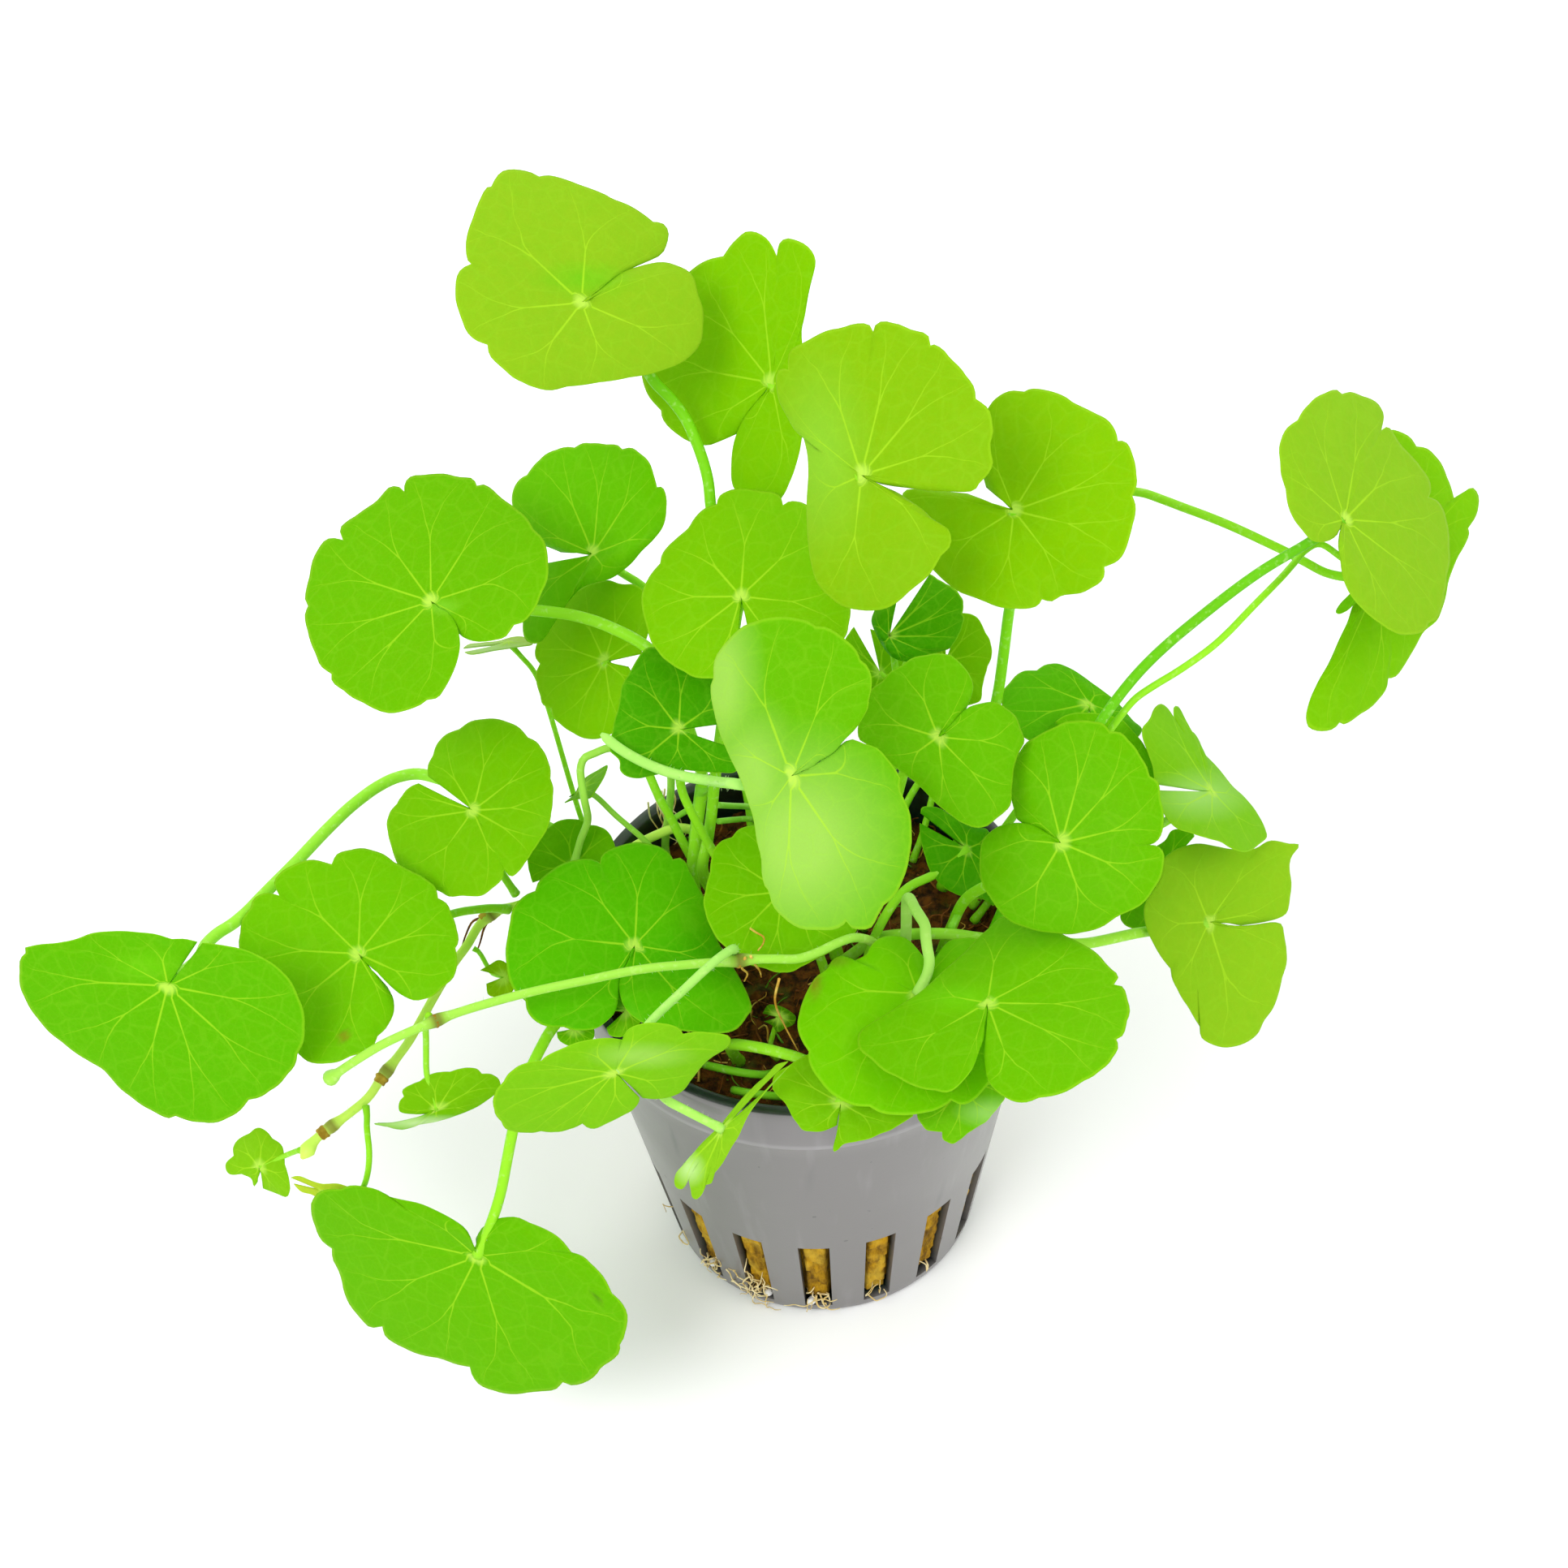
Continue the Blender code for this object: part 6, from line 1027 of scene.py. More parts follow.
# Patches of another colour: leaf, centre and radii in the view, colour, strength. The brown ones on L22 and L31 are
# real spots; the pale ones on L10, L18, L19, L25 and L36 are painted sheen, the dark one on L27 a painted shadow and
# the one on L12 painted shade.
STAINS_AND_PAINTED_LIGHT = [
    ("L31", 424, 1277, 9, 7, (150, 120, 30), 0.85), ("L22", 1004, 1208, 9, 26, (140, 110, 30), 0.75), ("L22", 1030, 1185, 20, 8, (120, 120, 30), 0.5),
    # Painted shadow on L27; painted sheen on L10.
    ("L27", 860, 1180, 90, 40, (46, 160, 0), 0.45), ("L03", 1010, 560, 60, 120, (150, 215, 70), 0.4), ("L10", 890, 840, 45, 120, (164, 212, 88), 0.85), ("L10", 985, 1040, 120, 130, (164, 212, 88), 0.9), ("L10", 925, 960, 60, 90, (164, 212, 88), 0.8),
    # Painted shade on L12.
    ("L12", 1100, 800, 60, 40, (50, 165, 0), 0.35), ("L01", 720, 345, 60, 22, (95, 195, 20), 0.5), ("L06", 545, 748, 22, 10, (150, 225, 60), 0.4),
    # Painted sheen on L36, L18 and L19.
    ("L36", 790, 1300, 60, 16, (180, 222, 110), 0.5), ("L18", 1480, 980, 60, 30, (190, 235, 140), 0.45), ("L19", 1400, 1230, 30, 30, (190, 232, 130), 0.4),
    # L25's pale patch is its paler underside with painted sheen on it.
    ("L21", 1180, 1230, 60, 20, (120, 212, 15), 0.5), ("L35", 530, 1383, 75, 9, (214, 240, 178), 0.75), ("L37", 850, 1440, 18, 20, (205, 240, 160), 0.7), ("L25", 1220, 1370, 40, 18, (185, 230, 130), 0.5),
    ("L43", 600, 800, 60, 10, (185, 225, 150), 0.6), ("L33", 735, 1598, 3, 10, (70, 120, 20), 0.7), ("L32", 180, 1190, 50, 20, (120, 210, 20), 0.4),
]


def fine_blade(key, b):
    count = SPOKES if b.size > 4 else 80
    rings = RINGS if b.size > 4 else 10
    uv, _, w, marks = rounded_outline(b, count)
    # The traces give the large scallops; a faint finer one sits on them.
    hub = b.hub_uv
    lob, spans = lobes_of(b, w, marks, 1.0)
    px = b.size * 11.3
    small = 0.006 * np.abs(np.sin(lob * math.pi * 3.0)) - 0.004
    d = uv - hub
    uv = hub + d * (1 + small)[:, None]
    side = b.sides(count)
    q = on_plane(uv[:, 0], uv[:, 1], b.flat_hub, b.normal)
    step = np.linalg.norm(np.gradient(q, axis=0), axis=1)
    dl = np.maximum(np.gradient(lob), 1e-4)
    width = np.clip(step / dl, 1.0, 14.0)
    k = np.ones(9) / 9
    width = np.convolve(np.pad(width, 4, mode="edge"), k, mode="valid")
    ss = np.concatenate([np.linspace(0, 1, rings)[1:-1] ** 0.85, [0.975, 1.0]])
    pts, U, S, A = [b.hub], [lob.mean()], [0.0], [width.mean()]
    luck2 = np.random.default_rng(int(key[1:]) * 7)
    ph = luck2.uniform(0, 6.28, 4)
    puff = 0.010 * b.size
    for s in ss:
        ruv = b.spokes(uv, np.full(count, s) if False else s)
        p = b.point(ruv, np.full(count, s), side)
        # The blade swells a little between its veins and its edge waves.
        swell = puff * (np.abs(np.sin(math.pi * lob)) - 0.5) * -1.0 * s * (1.15 - s) * 2.2
        swell = swell + 0.008 * b.size * s**3 * np.sin(2 * math.pi * lob * 0.5 + ph[0]) + 0.004 * b.size * s * np.sin(7 * s + 3 * lob + ph[1])
        swell = swell - 0.010 * b.size * s**8
        dr = ray(ruv[:, 0], ruv[:, 1])
        p = p - dr / np.linalg.norm(dr, axis=1)[:, None] * swell[:, None]
        pts.append(p)
        U.append(lob)
        S.append(np.full(count, s))
        A.append(width)
    v = np.vstack([pts[0][None]] + pts[1:])
    U = np.concatenate([[U[0]]] + U[1:])
    S = np.concatenate([[S[0]]] + S[1:])
    A = np.concatenate([[A[0]]] + A[1:])
    f = fan(count, len(ss), turns_left(uv, hub))
    n = np.zeros_like(v)
    c = np.cross(v[f[:, 1]] - v[f[:, 0]], v[f[:, 2]] - v[f[:, 0]])
    for j in range(3):
        np.add.at(n, f[:, j], c)
    n /= np.linalg.norm(n, axis=1)[:, None] + 1e-12
    up = n if (n @ b.normal).sum() > 0 else -n
    t = 0.13 + 0.16 * (1 - S) ** 2 + 0.30 * np.exp(-((S * b.size / 0.9) ** 2))
    t = t * np.where(S > 0.99, 0.45, 1.0)
    m = len(v)
    seen = {}
    for tri in f:
        for a, e in ((tri[0], tri[1]), (tri[1], tri[2]), (tri[2], tri[0])):
            seen[(int(a), int(e))] = 1
    rim = []
    for a, e in seen:
        if (e, a) not in seen:
            rim += [(e, a, a + m), (e, a + m, e + m)]
    rim.sort()
    V = np.vstack([v + n * t[:, None] / 2, v - n * t[:, None] / 2])
    F = np.vstack([f, f[:, ::-1] + m, np.array(rim)])
    facing_up = (n @ b.normal).sum() > 0
    slots = np.concatenate([np.full(len(f), 0 if facing_up else 1), np.full(len(f), 1 if facing_up else 0), np.zeros(len(rim), int)])
    # Flat coordinates in the leaf's own plane, in mm, for the fine network.
    ex = np.cross(b.normal, [0, 0, 1.0]) if abs(b.normal[2]) < 0.99 else np.array([1.0, 0, 0])
    ex /= np.linalg.norm(ex)
    ey = np.cross(b.normal, ex)
    flat = np.stack([(v - b.hub) @ ex, (v - b.hub) @ ey, np.full(m, float(int(key[1:]) * 3.7))], 1)
    col = np.tile(linear(COLOURS[key]) * TONE, (m, 1))
    big = np.full(m, b.size)
    shade, stain_and_painted_light = np.zeros(m), np.tile(linear((120, 120, 40)), (m, 1))
    uu, vv, _ = seen_at(v)
    # Patches from the table: real spots, painted sheen and painted shade.
    for lk, x, y, rx, ry, rgb, amount in STAINS_AND_PAINTED_LIGHT:
        if lk == key:
            dist = np.hypot((uu - x) / rx, (vv - y) / ry)
            a = amount * np.clip(1.25 - dist, 0, 1) ** 1.2
            better = a > shade
            shade = np.where(better, np.minimum(a, amount), shade)
            stain_and_painted_light = np.where(better[:, None], linear(rgb), stain_and_painted_light)
    two = lambda x: np.concatenate([x, x])
    return V, F, slots, {"uc": two(U), "s": two(S), "arc": two(A), "big": two(big), "shade": two(shade)}, {"tint": np.vstack([col, col]), "stain_and_painted_light": np.vstack([stain_and_painted_light, stain_and_painted_light]), "flat": np.vstack([flat, flat])}


def make(name, V, F, mats, slots=None, floats=None, colours=None, smooth=True):
    mesh = bpy.data.meshes.new(name)
    mesh.from_pydata((np.asarray(V) * MM).tolist(), [], [tuple(int(i) for i in t) for t in F])
    for mat in mats:
        mesh.materials.append(mat)
    if slots is not None:
        mesh.polygons.foreach_set("material_index", np.asarray(slots, np.int32))
    for k, x in (floats or {}).items():
        at = mesh.attributes.new(k, "FLOAT", "POINT")
        at.data.foreach_set("value", np.asarray(x, np.float32))
    for k, x in (colours or {}).items():
        if k == "flat":
            at = mesh.attributes.new(k, "FLOAT_VECTOR", "POINT")
            at.data.foreach_set("vector", np.asarray(x, np.float32).ravel())
        else:
            at = mesh.attributes.new(k, "FLOAT_COLOR", "POINT")
            at.data.foreach_set("color", np.column_stack([x, np.ones(len(x))]).astype(np.float32).ravel())
    mesh.polygons.foreach_set("use_smooth", [smooth] * len(mesh.polygons))
    mesh.update()
    ob = bpy.data.objects.new(name, mesh)
    bpy.context.scene.collection.objects.link(ob)
    return ob


def hairs(path, radius, count, length, seed, start=0.0, end=1.0):
    """Short fine hairs standing off a stem, each a thin three-sided cone."""
    rng = np.random.default_rng(seed)
    V, F = [], []
    n = len(path)
    tan = np.gradient(path, axis=0)
    tan /= np.linalg.norm(tan, axis=1)[:, None] + 1e-12
    for _ in range(count):
        x = rng.uniform(start, end) * (n - 1)
        i = min(int(x), n - 2)
        p = path[i] + (path[i + 1] - path[i]) * (x - i)
        d = rng.normal(size=3)
        d -= tan[i] * (d @ tan[i])
        d /= np.linalg.norm(d) + 1e-9
        d2 = d + tan[i] * rng.uniform(-0.5, 0.5)
        d2 /= np.linalg.norm(d2)
        s = np.cross(d2, tan[i])
        s /= np.linalg.norm(s) + 1e-9
        q = np.cross(d2, s)
        r = 0.028
        root = p + d * radius * 0.9
        k = len(V)
        V += [root + s * r, root - s * 0.5 * r + q * r * 0.87, root - s * 0.5 * r - q * r * 0.87, root + d2 * length * rng.uniform(0.5, 1.2)]
        F += [(k, k + 1, k + 3), (k + 1, k + 2, k + 3), (k + 2, k, k + 3), (k, k + 2, k + 1)]
    return np.array(V), np.array(F)


def stem_piece(path, radius, tint, swell=None, sides=12, step=0.55, hair=None, stain_and_painted_light=None):
    path = spline(path[:: max(1, len(path) // 24)] if len(path) > 40 else path, step=step)
    n = len(path)
    t = np.linspace(0, 1, n)
    r = radius * (1.06 - 0.10 * t) * np.ones(n)
    if swell is not None:
        r = r * swell(t)
    V, F = tube(path, r, sides)
    col = np.tile(linear(tint), (len(V), 1))
    shade = np.zeros(len(V))
    st = np.tile(linear((110, 80, 30)), (len(V), 1))
    ring = np.concatenate([np.repeat(t, sides), [0.0, 1.0]])
    if stain_and_painted_light is not None:
        shade = stain_and_painted_light(ring)
    if hair:
        hv, hf = hairs(path, radius, *hair)
        F = np.vstack([F, hf + len(V)])
        V = np.vstack([V, hv])
        col = np.vstack([col, np.tile(linear((225, 245, 190)), (len(hv), 1))])
        shade = np.concatenate([shade, np.zeros(len(hv))])
        st = np.vstack([st, np.tile(linear((110, 80, 30)), (len(hv), 1))])
    return V, F, col, shade, st


HAIRY = {"L36": (70, 0.55), "L37": (50, 0.6), "L33": (30, 0.4), "L35": (20, 0.35)}
PALE = {"L19": (165, 228, 60), "L22": (185, 236, 110), "L37": (180, 235, 105), "L29": (180, 235, 90), "L36": (185, 238, 120), "L42": (170, 230, 80), "L32": (165, 235, 60), "L01": (128, 212, 10), "L39": (110, 200, 10), "L04": (140, 225, 20)}

for key, b in blades.items():
    V, F, slots, fl, co = fine_blade(key, b)
    tint = PALE.get(key, (158, 230, 36))
    hair = (*HAIRY[key], int(key[1:])) if key in HAIRY else None
    sV, sF, col, shade, st = stem_piece(stalks[key], b.stalk[1], tint, swell=lambda t: 1 + 0.25 * np.exp(-(((t - 1) / 0.03) ** 2)) + 0.2 * np.exp(-((t / 0.05) ** 2)), hair=hair)
    n0, n1 = len(V), len(sV)
    floats = {k: np.concatenate([x, np.zeros(n1)]) for k, x in fl.items()}
    floats["shade"] = np.concatenate([fl["shade"], shade])
    cols = {"tint": np.vstack([co["tint"], col]), "stain_and_painted_light": np.vstack([co["stain_and_painted_light"], st]), "flat": np.vstack([co["flat"], np.zeros((n1, 3))])}
    leaf = make("fine_" + key, np.vstack([V, sV]), np.vstack([F, sF + n0]), [LEAF_TOP, LEAF_UNDER, STEM], np.concatenate([slots, np.full(len(sF), 2)]), floats, cols)
    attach(leaf, "root")
    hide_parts("leaf_" + key[1:])

RUNNER_NAMES = {"A": "runner_front", "C": "runner_left", "S": "stem_stub"}
for key, (path, radius) in runners.items():
    pts = runner_keys(key)[2]
    nodes = {"A": (5, 12), "C": (7, 13, 16), "S": ()}[key]
    total = np.linalg.norm(np.diff(path, axis=0), axis=1)
    arc = np.concatenate([[0], np.cumsum(total)]) / total.sum()
    spots = [arc[np.argmin(np.linalg.norm(path - pts[i - 1], axis=1))] for i in nodes]

    def swell(t, spots=spots, key=key):
        r = np.ones_like(t)
        for s in spots:
            r = r + 0.55 * np.exp(-(((t - s) / 0.014) ** 2))
        if key in "AC":
            r = r + 0.9 * np.exp(-(((t - 0.985) / 0.016) ** 2))
            r = r * np.clip((1.0 - t) / 0.012, 0.25, 1.0)
        else:
            r = r * np.where(t > 0.985, np.sqrt(np.clip(1 - ((t - 0.985) / 0.016) ** 2, 0.04, 1)), 1.0)
        return r

    def stain_and_painted_light(t, spots=spots):
        x = np.zeros_like(t)
        for s in spots:
            x = np.maximum(x, 0.85 * np.exp(-(((t - s) / 0.009) ** 2)))
        return x

    # Runner C's tint is lightened as painted light, against the shadow the leaves above cast on it.
    tint = {"A": (176, 232, 84), "C": (226, 255, 110), "S": (186, 240, 120)}[key]
    V, F, col, shade, st = stem_piece(path, radius, tint, swell=swell, hair=(120 if key == "S" else 70, 0.5, 5), stain_and_painted_light=stain_and_painted_light)
    ob = make("fine_" + RUNNER_NAMES[key], V, F, [STEM], None, {"shade": shade}, {"tint": col, "stain_and_painted_light": st})
    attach(ob, "root")
    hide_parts(RUNNER_NAMES[key])


# ---------------------------------------------------------------- pot
def pot_mesh():
    """The wall as one sheet of outer and inner points with its slots left out, then closed all round."""
    half = 0.085
    pitch = 2 * math.pi / 17
    cols = list(np.linspace(-half, half, 6)) + list(np.linspace(half, pitch - half, 12)[1:-1])
    per = len(cols)
    ang = np.array([-0.071 + k * pitch + c for k in range(17) for c in cols])
    n = len(ang)
    rows = [0.0, 0.25, 0.7, 1.2, 1.63, 1.85, 4.5, 8.0, 12.0, 16.7, 17.0, 20.0, 25.0, 30.0, 35.0, 39.0, 41.2, 41.75, 42.0, 42.35, 44.0, 46.0, 47.2, 47.65, 47.9, 48.0]
    outer, inner = [], []
    for z in rows:
        r = float(wall_radius(z))
        if z < 0.7:
            r -= 0.35 * (1 - z / 0.7) ** 2
        if z > 41.9:
            r = LIP_R + 0.52 + 0.02 * (z - 42)
        if 41.7 < z <= 42.0:
            r = LIP_R + (0.12 if z < 41.9 else 0.45)
        r = min(r, POT_R)
        ri = float(min(wall_radius(z), LIP_R)) - 1.15 + (0.35 * max(0, z - 47.0))
        if z > 47.5:
            r -= {47.65: 0.05, 47.9: 0.14, 48.0: 0.24}[z]
            ri += {47.65: 0.0, 47.9: 0.02, 48.0: 0.12}[z]
        outer.append(r)
        inner.append(ri)
    V, F = [], []
    for side, rad in ((0, outer), (1, inner)):
        for z, r in zip(rows, rad):
            V.append(np.stack([r * np.sin(ang), -r * np.cos(ang), np.full(n, z)], 1))
    V = np.vstack(V)
    R = len(rows)
    low, high = rows.index(1.63), rows.index(17.0)
    sheet = []
    for i in range(R - 1):
        for j in range(n):
            if low <= i < high and (j % per) < 5:
                continue
            j2 = (j + 1) % n
            sheet.append((i * n + j, i * n + j2, (i + 1) * n + j2, (i + 1) * n + j))
    m = R * n
    seen = {}
    for q in sheet:
        for a, e in zip(q, q[1:] + q[:1]):
            seen[(a, e)] = 1
    F = [tuple(q) for q in sheet] + [tuple(x + m for x in q[::-1]) for q in sheet]
    for a, e in seen:
        if (e, a) not in seen:
            F.append((e, a, a + m, e + m))
    # The outer top row is marked inner too, so the rim's top takes the inner wall's painted shade.
    first = np.zeros(m)
    first[-n:] = 1.0
    inn = np.concatenate([first, np.ones(m)])
    # The floor of the pot.
    k = len(V)
    r0 = inner[3] + 0.4
    ring = lambda r, z: np.stack([r * np.sin(ang), -r * np.cos(ang), np.full(n, z)], 1)
    V = np.vstack([V, ring(r0, 0.5), ring(r0 - 1.6, 0.32), [[0, 0, 0.32]], ring(r0, POT_FLOOR), [[0, 0, POT_FLOOR]]])
    for j in range(n):
        j2 = (j + 1) % n
        F.append((k + j2, k + j, k + n + j, k + n + j2))
        F.append((k + n + j2, k + n + j, k + 2 * n))
        t = k + 2 * n + 1
        F.append((t + j, t + j2, t + n))
        F.append((k + j, k + j2, t + j2, t + j))
    inn = np.concatenate([inn, np.zeros(2 * n + 1), np.ones(n + 1)])
    return V, F, inn


def pot_material():
    m = Net("pot_grey_plastic")
    at = m.node("ShaderNodeTexCoord").outputs["Object"]
    inner = m.attr("inner").outputs["Fac"]
    xyz = m.node("ShaderNodeSeparateXYZ")
    m.link(at, xyz.inputs[0])
    cloud = m.noise(at, 60.0, 4.0)
    grain = m.noise(at, 2600.0, 2.0)
    stretch = m.node("ShaderNodeMapping")
    stretch.inputs["Scale"].default_value = (420.0, 420.0, 30.0)
    m.link(at, stretch.inputs["Vector"])
    streak = m.noise(stretch.outputs[0], 1.0, 3.0)
    c = m.mix(m.math("MULTIPLY", cloud, 0.7), linear((111, 108, 108)), linear((125, 122, 121)))
    c = m.mix(m.math("MULTIPLY", m.ramp(streak, 0.55, 0.8), 0.22), c, linear((160, 158, 160)))
    c = m.mix(m.ramp(xyz.outputs[2], 0.042, 0.0425, 0.0, 0.12), c, linear((165, 160, 168)))
    line = m.math("MULTIPLY", m.ramp(xyz.outputs[2], 0.0414, 0.0419), m.ramp(xyz.outputs[2], 0.0430, 0.0424))
    c = m.mix(m.math("MULTIPLY", line, 0.18), c, linear((205, 202, 206)))
    specks = m.math("GREATER_THAN", m.noise(at, 900.0, 1.0), 0.79)
    c = m.mix(m.math("MULTIPLY", specks, 0.55), c, linear((70, 72, 74)))
    marks = m.attr("shade").outputs["Fac"]
    c = m.mix(marks, c, linear((72, 74, 78)))
    # The inner wall and the rim's top get a dark green-black: painted shade, with a damp green tone.
    painted_shade_and_damp = m.mix(m.ramp(m.noise(at, 300.0, 3.0), 0.35, 0.7), linear((12, 26, 18)), linear((30, 52, 38)))
    c = m.mix(inner, c, painted_shade_and_damp)
    h = m.math("ADD", m.math("MULTIPLY", grain, 0.5), m.math("MULTIPLY", streak, 0.5))
    normal = m.bump(h, 0.22, 0.00006)
    rough = m.ramp(cloud, 0.3, 0.7, 0.30, 0.42)
    base = m.shader(c, rough, normal, Specular_IOR_Level=0.45, Coat_Weight=0.35, Coat_Roughness=0.18)
    glow = m.node("ShaderNodeBsdfTranslucent")
    m.link(c, glow.inputs[0])
    mixer = m.node("ShaderNodeMixShader")
    mixer.inputs[0].default_value = 0.10
    m.link(base, mixer.inputs[1])
    m.link(glow.outputs[0], mixer.inputs[2])
    return m.done(mixer.outputs[0])


V, F, inn = pot_mesh()
mesh = bpy.data.meshes.new("fine_pot")
mesh.from_pydata((V * MM).tolist(), [], F)
at = mesh.attributes.new("inner", "FLOAT", "POINT")
at.data.foreach_set("value", inn.astype(np.float32))
uu, vv, _ = seen_at(V)
mark = np.zeros(len(V))
for x, y, rx, ry, a in ((829, 1404, 5, 5, 0.6), (1000, 1455, 5, 8, 0.25), (1158, 1476, 4, 4, 0.3)):
    mark = np.maximum(mark, a * np.clip(1.3 - np.hypot((uu - x) / rx, (vv - y) / ry), 0, 1) * (V[:, 1] < 0))
at = mesh.attributes.new("shade", "FLOAT", "POINT")
at.data.foreach_set("value", mark.astype(np.float32))
mesh.materials.append(pot_material())
mesh.polygons.foreach_set("use_smooth", [True] * len(mesh.polygons))
mesh.update()
pot = bpy.data.objects.new("fine_pot", mesh)
bpy.context.scene.collection.objects.link(pot)
bpy.context.view_layer.update()
split = pot.modifiers.new("edges", "EDGE_SPLIT")
split.split_angle = math.radians(38)
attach(pot, "root")
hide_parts("net_pot")


# ---------------------------------------------------------------- rockwool, moss, roots
def bumpy(p, seed):
    x, y, z = p[:, 0] + seed, p[:, 1] - seed, p[:, 2] + 2 * seed
    return (
        np.sin(1.3 * x + 0.7 * z) * np.sin(1.1 * y - 0.9 * z)
        + 0.6 * np.sin(2.9 * x - 1.7 * y + z) * np.sin(2.3 * z + 1.9 * x)
        + 0.4 * np.sin(5.3 * y + 4.1 * z) * np.sin(4.7 * x - 3.9 * z)
    )


def wool_mesh():
    n, rows = 442, 76
    V, F = [], []
    zs = np.linspace(POT_FLOOR + 0.4, PLUG_TOP - 0.6, rows)
    a = np.linspace(0, 2 * math.pi, n, endpoint=False)
    for z in zs:
        r = float(wall_radius(z)) - 1.15 - 0.45
        r = np.full(n, r)
        p = np.stack([r * np.sin(a), -r * np.cos(a), np.full(n, z)], 1)
        # It bulges into each slot.
        off = (a + 0.071 + math.pi / 17) % (2 * math.pi / 17) - math.pi / 17
        r = r + 1.05 * np.clip((0.081 - np.abs(off)) / 0.02, 0, 1) * min(max((z - 1.9) / 0.7, 0), 1) * min(max((16.9 - z) / 1.0, 0), 1)
        r = r - 0.28 * np.abs(bumpy(p, 3.0)) - max(0.0, 2.8 - z) * 0.9 * (0.6 + 0.4 * np.abs(bumpy(p * 0.8, 9.0)))
        V.append(np.stack([r * np.sin(a), -r * np.cos(a), np.full(n, z)], 1))
    rim = V[-1]
    for s in np.linspace(0.94, 0.05, 22):
        p = rim * [s, s, 1.0]
        lift = (1 - s) * 1.1 + 0.35 * bumpy(p, 5.0) * min(1.0, 6 * (1 - s))
        p[:, 2] = np.minimum(PLUG_TOP - 0.6 + lift, PLUG_TOP + 0.6)
        V.append(p)
    total = len(V)
    V = np.vstack(V + [[[0, 0, PLUG_TOP]], [[0, 0, POT_FLOOR + 0.4]]])
    for i in range(total - 1):
        for j in range(n):
            j2 = (j + 1) % n
            F.append((i * n + j, i * n + j2, (i + 1) * n + j2, (i + 1) * n + j))
    for j in range(n):
        j2 = (j + 1) % n
        F.append(((total - 1) * n + j, (total - 1) * n + j2, total * n))
        F.append((j2, j, total * n + 1))
    return V, F


def wool_material():
    m = Net("rockwool_fibres")
    at = m.node("ShaderNodeTexCoord").outputs["Object"]
    xyz = m.node("ShaderNodeSeparateXYZ")
    m.link(at, xyz.inputs[0])
    stretch = m.node("ShaderNodeMapping")
    stretch.inputs["Scale"].default_value = (900.0, 900.0, 260.0)
    stretch.inputs["Rotation"].default_value = (0.3, 0.2, 0.0)
    m.link(at, stretch.inputs["Vector"])
    fibre = m.noise(stretch.outputs[0], 1.0, 5.0, 0.65)
    patch = m.noise(at, 320.0, 3.0)
    c = m.mix(m.ramp(fibre, 0.32, 0.68), linear((96, 66, 5)), linear((190, 144, 18)))
    c = m.mix(m.math("MULTIPLY", m.ramp(patch, 0.5, 0.7), 0.6), c, linear((212, 176, 56)))
    c = m.mix(m.math("MULTIPLY", m.ramp(patch, 0.5, 0.3), 0.6), c, linear((80, 56, 14)))
    c = m.mix(m.ramp(xyz.outputs[2], 0.0034, 0.0022), c, linear((34, 36, 26)))
    soil = m.mix(m.ramp(fibre, 0.35, 0.65), linear((40, 22, 4)), linear((112, 62, 12)))
    soil = m.mix(m.math("MULTIPLY", m.ramp(patch, 0.55, 0.72), 0.5), soil, linear((90, 100, 30)))
    c = m.mix(m.ramp(xyz.outputs[2], 0.036, 0.0395), c, soil)
    h = m.math("ADD", fibre, m.math("MULTIPLY", patch, 0.5))
    return m.done(m.shader(c, 0.9, m.bump(h, 0.8, 0.0005), Specular_IOR_Level=0.15))


V, F = wool_mesh()
wool = make("fine_rockwool", V, F, [wool_material()])
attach(wool, "root")
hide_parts("rockwool_plug")


def thread_material(name, a, b, rough=0.6):
    m = Net(name)
    at = m.node("ShaderNodeTexCoord").outputs["Object"]
    n = m.noise(at, 700.0, 3.0)
    c = m.mix(m.ramp(n, 0.35, 0.65), linear(a), linear(b))
    return m.done(m.shader(c, rough, m.bump(n, 0.3, 0.00005), Specular_IOR_Level=0.25))


def threads(name, lines, mat, sides=5):
    V, F, k = [], [], 0
    for path, r in lines:
        n = len(path)
        v, f = tube(path, r * np.linspace(1.0, 0.45, n), sides)
        V.append(v)
        F.append(f + k)
        k += len(v)
    ob = make(name, np.vstack(V), np.vstack(F), [mat])
    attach(ob, "root")
    return ob


CREAM = thread_material("root_cream", (238, 224, 178), (206, 178, 108))
AMBER = thread_material("root_amber", (196, 142, 40), (232, 196, 96))
BROWN = thread_material("moss_brown", (92, 48, 14), (146, 84, 26), 0.8)
OLIVE = thread_material("moss_green", (60, 104, 12), (104, 160, 24), 0.7)
WHITE = thread_material("perlite_white", (250, 250, 248), (222, 222, 218), 0.7)

rng = np.random.default_rng(20)


def wander(start, heading, steps, stride, curl, keep):
    p, d = np.array(start, float), np.array(heading, float)
    d /= np.linalg.norm(d)
    out = [p.copy()]
    for _ in range(steps):
        d = d + rng.normal(0, curl, 3)
        d /= np.linalg.norm(d)
        p = keep(p + d * stride)
        out.append(p.copy())
    return spline(out, step=0.35)


def in_top(p):
    r = math.hypot(p[0], p[1])
    if r > 21.6:
        p[:2] *= 21.6 / r
    p[2] = min(max(p[2], PLUG_TOP - 0.5), PLUG_TOP + 3.4)
    return p


brown, olive, amber, pale = [], [], [], []
for i in range(330):
    a, r = rng.uniform(0, 6.283), 21.0 * math.sqrt(rng.uniform(0.02, 1))
    line = wander((r * math.cos(a), r * math.sin(a), PLUG_TOP - 0.2), rng.normal(0, 1, 3) + [0, 0, 0.5], int(rng.integers(4, 9)), 0.9, 0.55, in_top)
    (brown if i % 10 < 6 else olive if i % 10 < 8 else amber).append((line, rng.uniform(0.07, 0.16)))
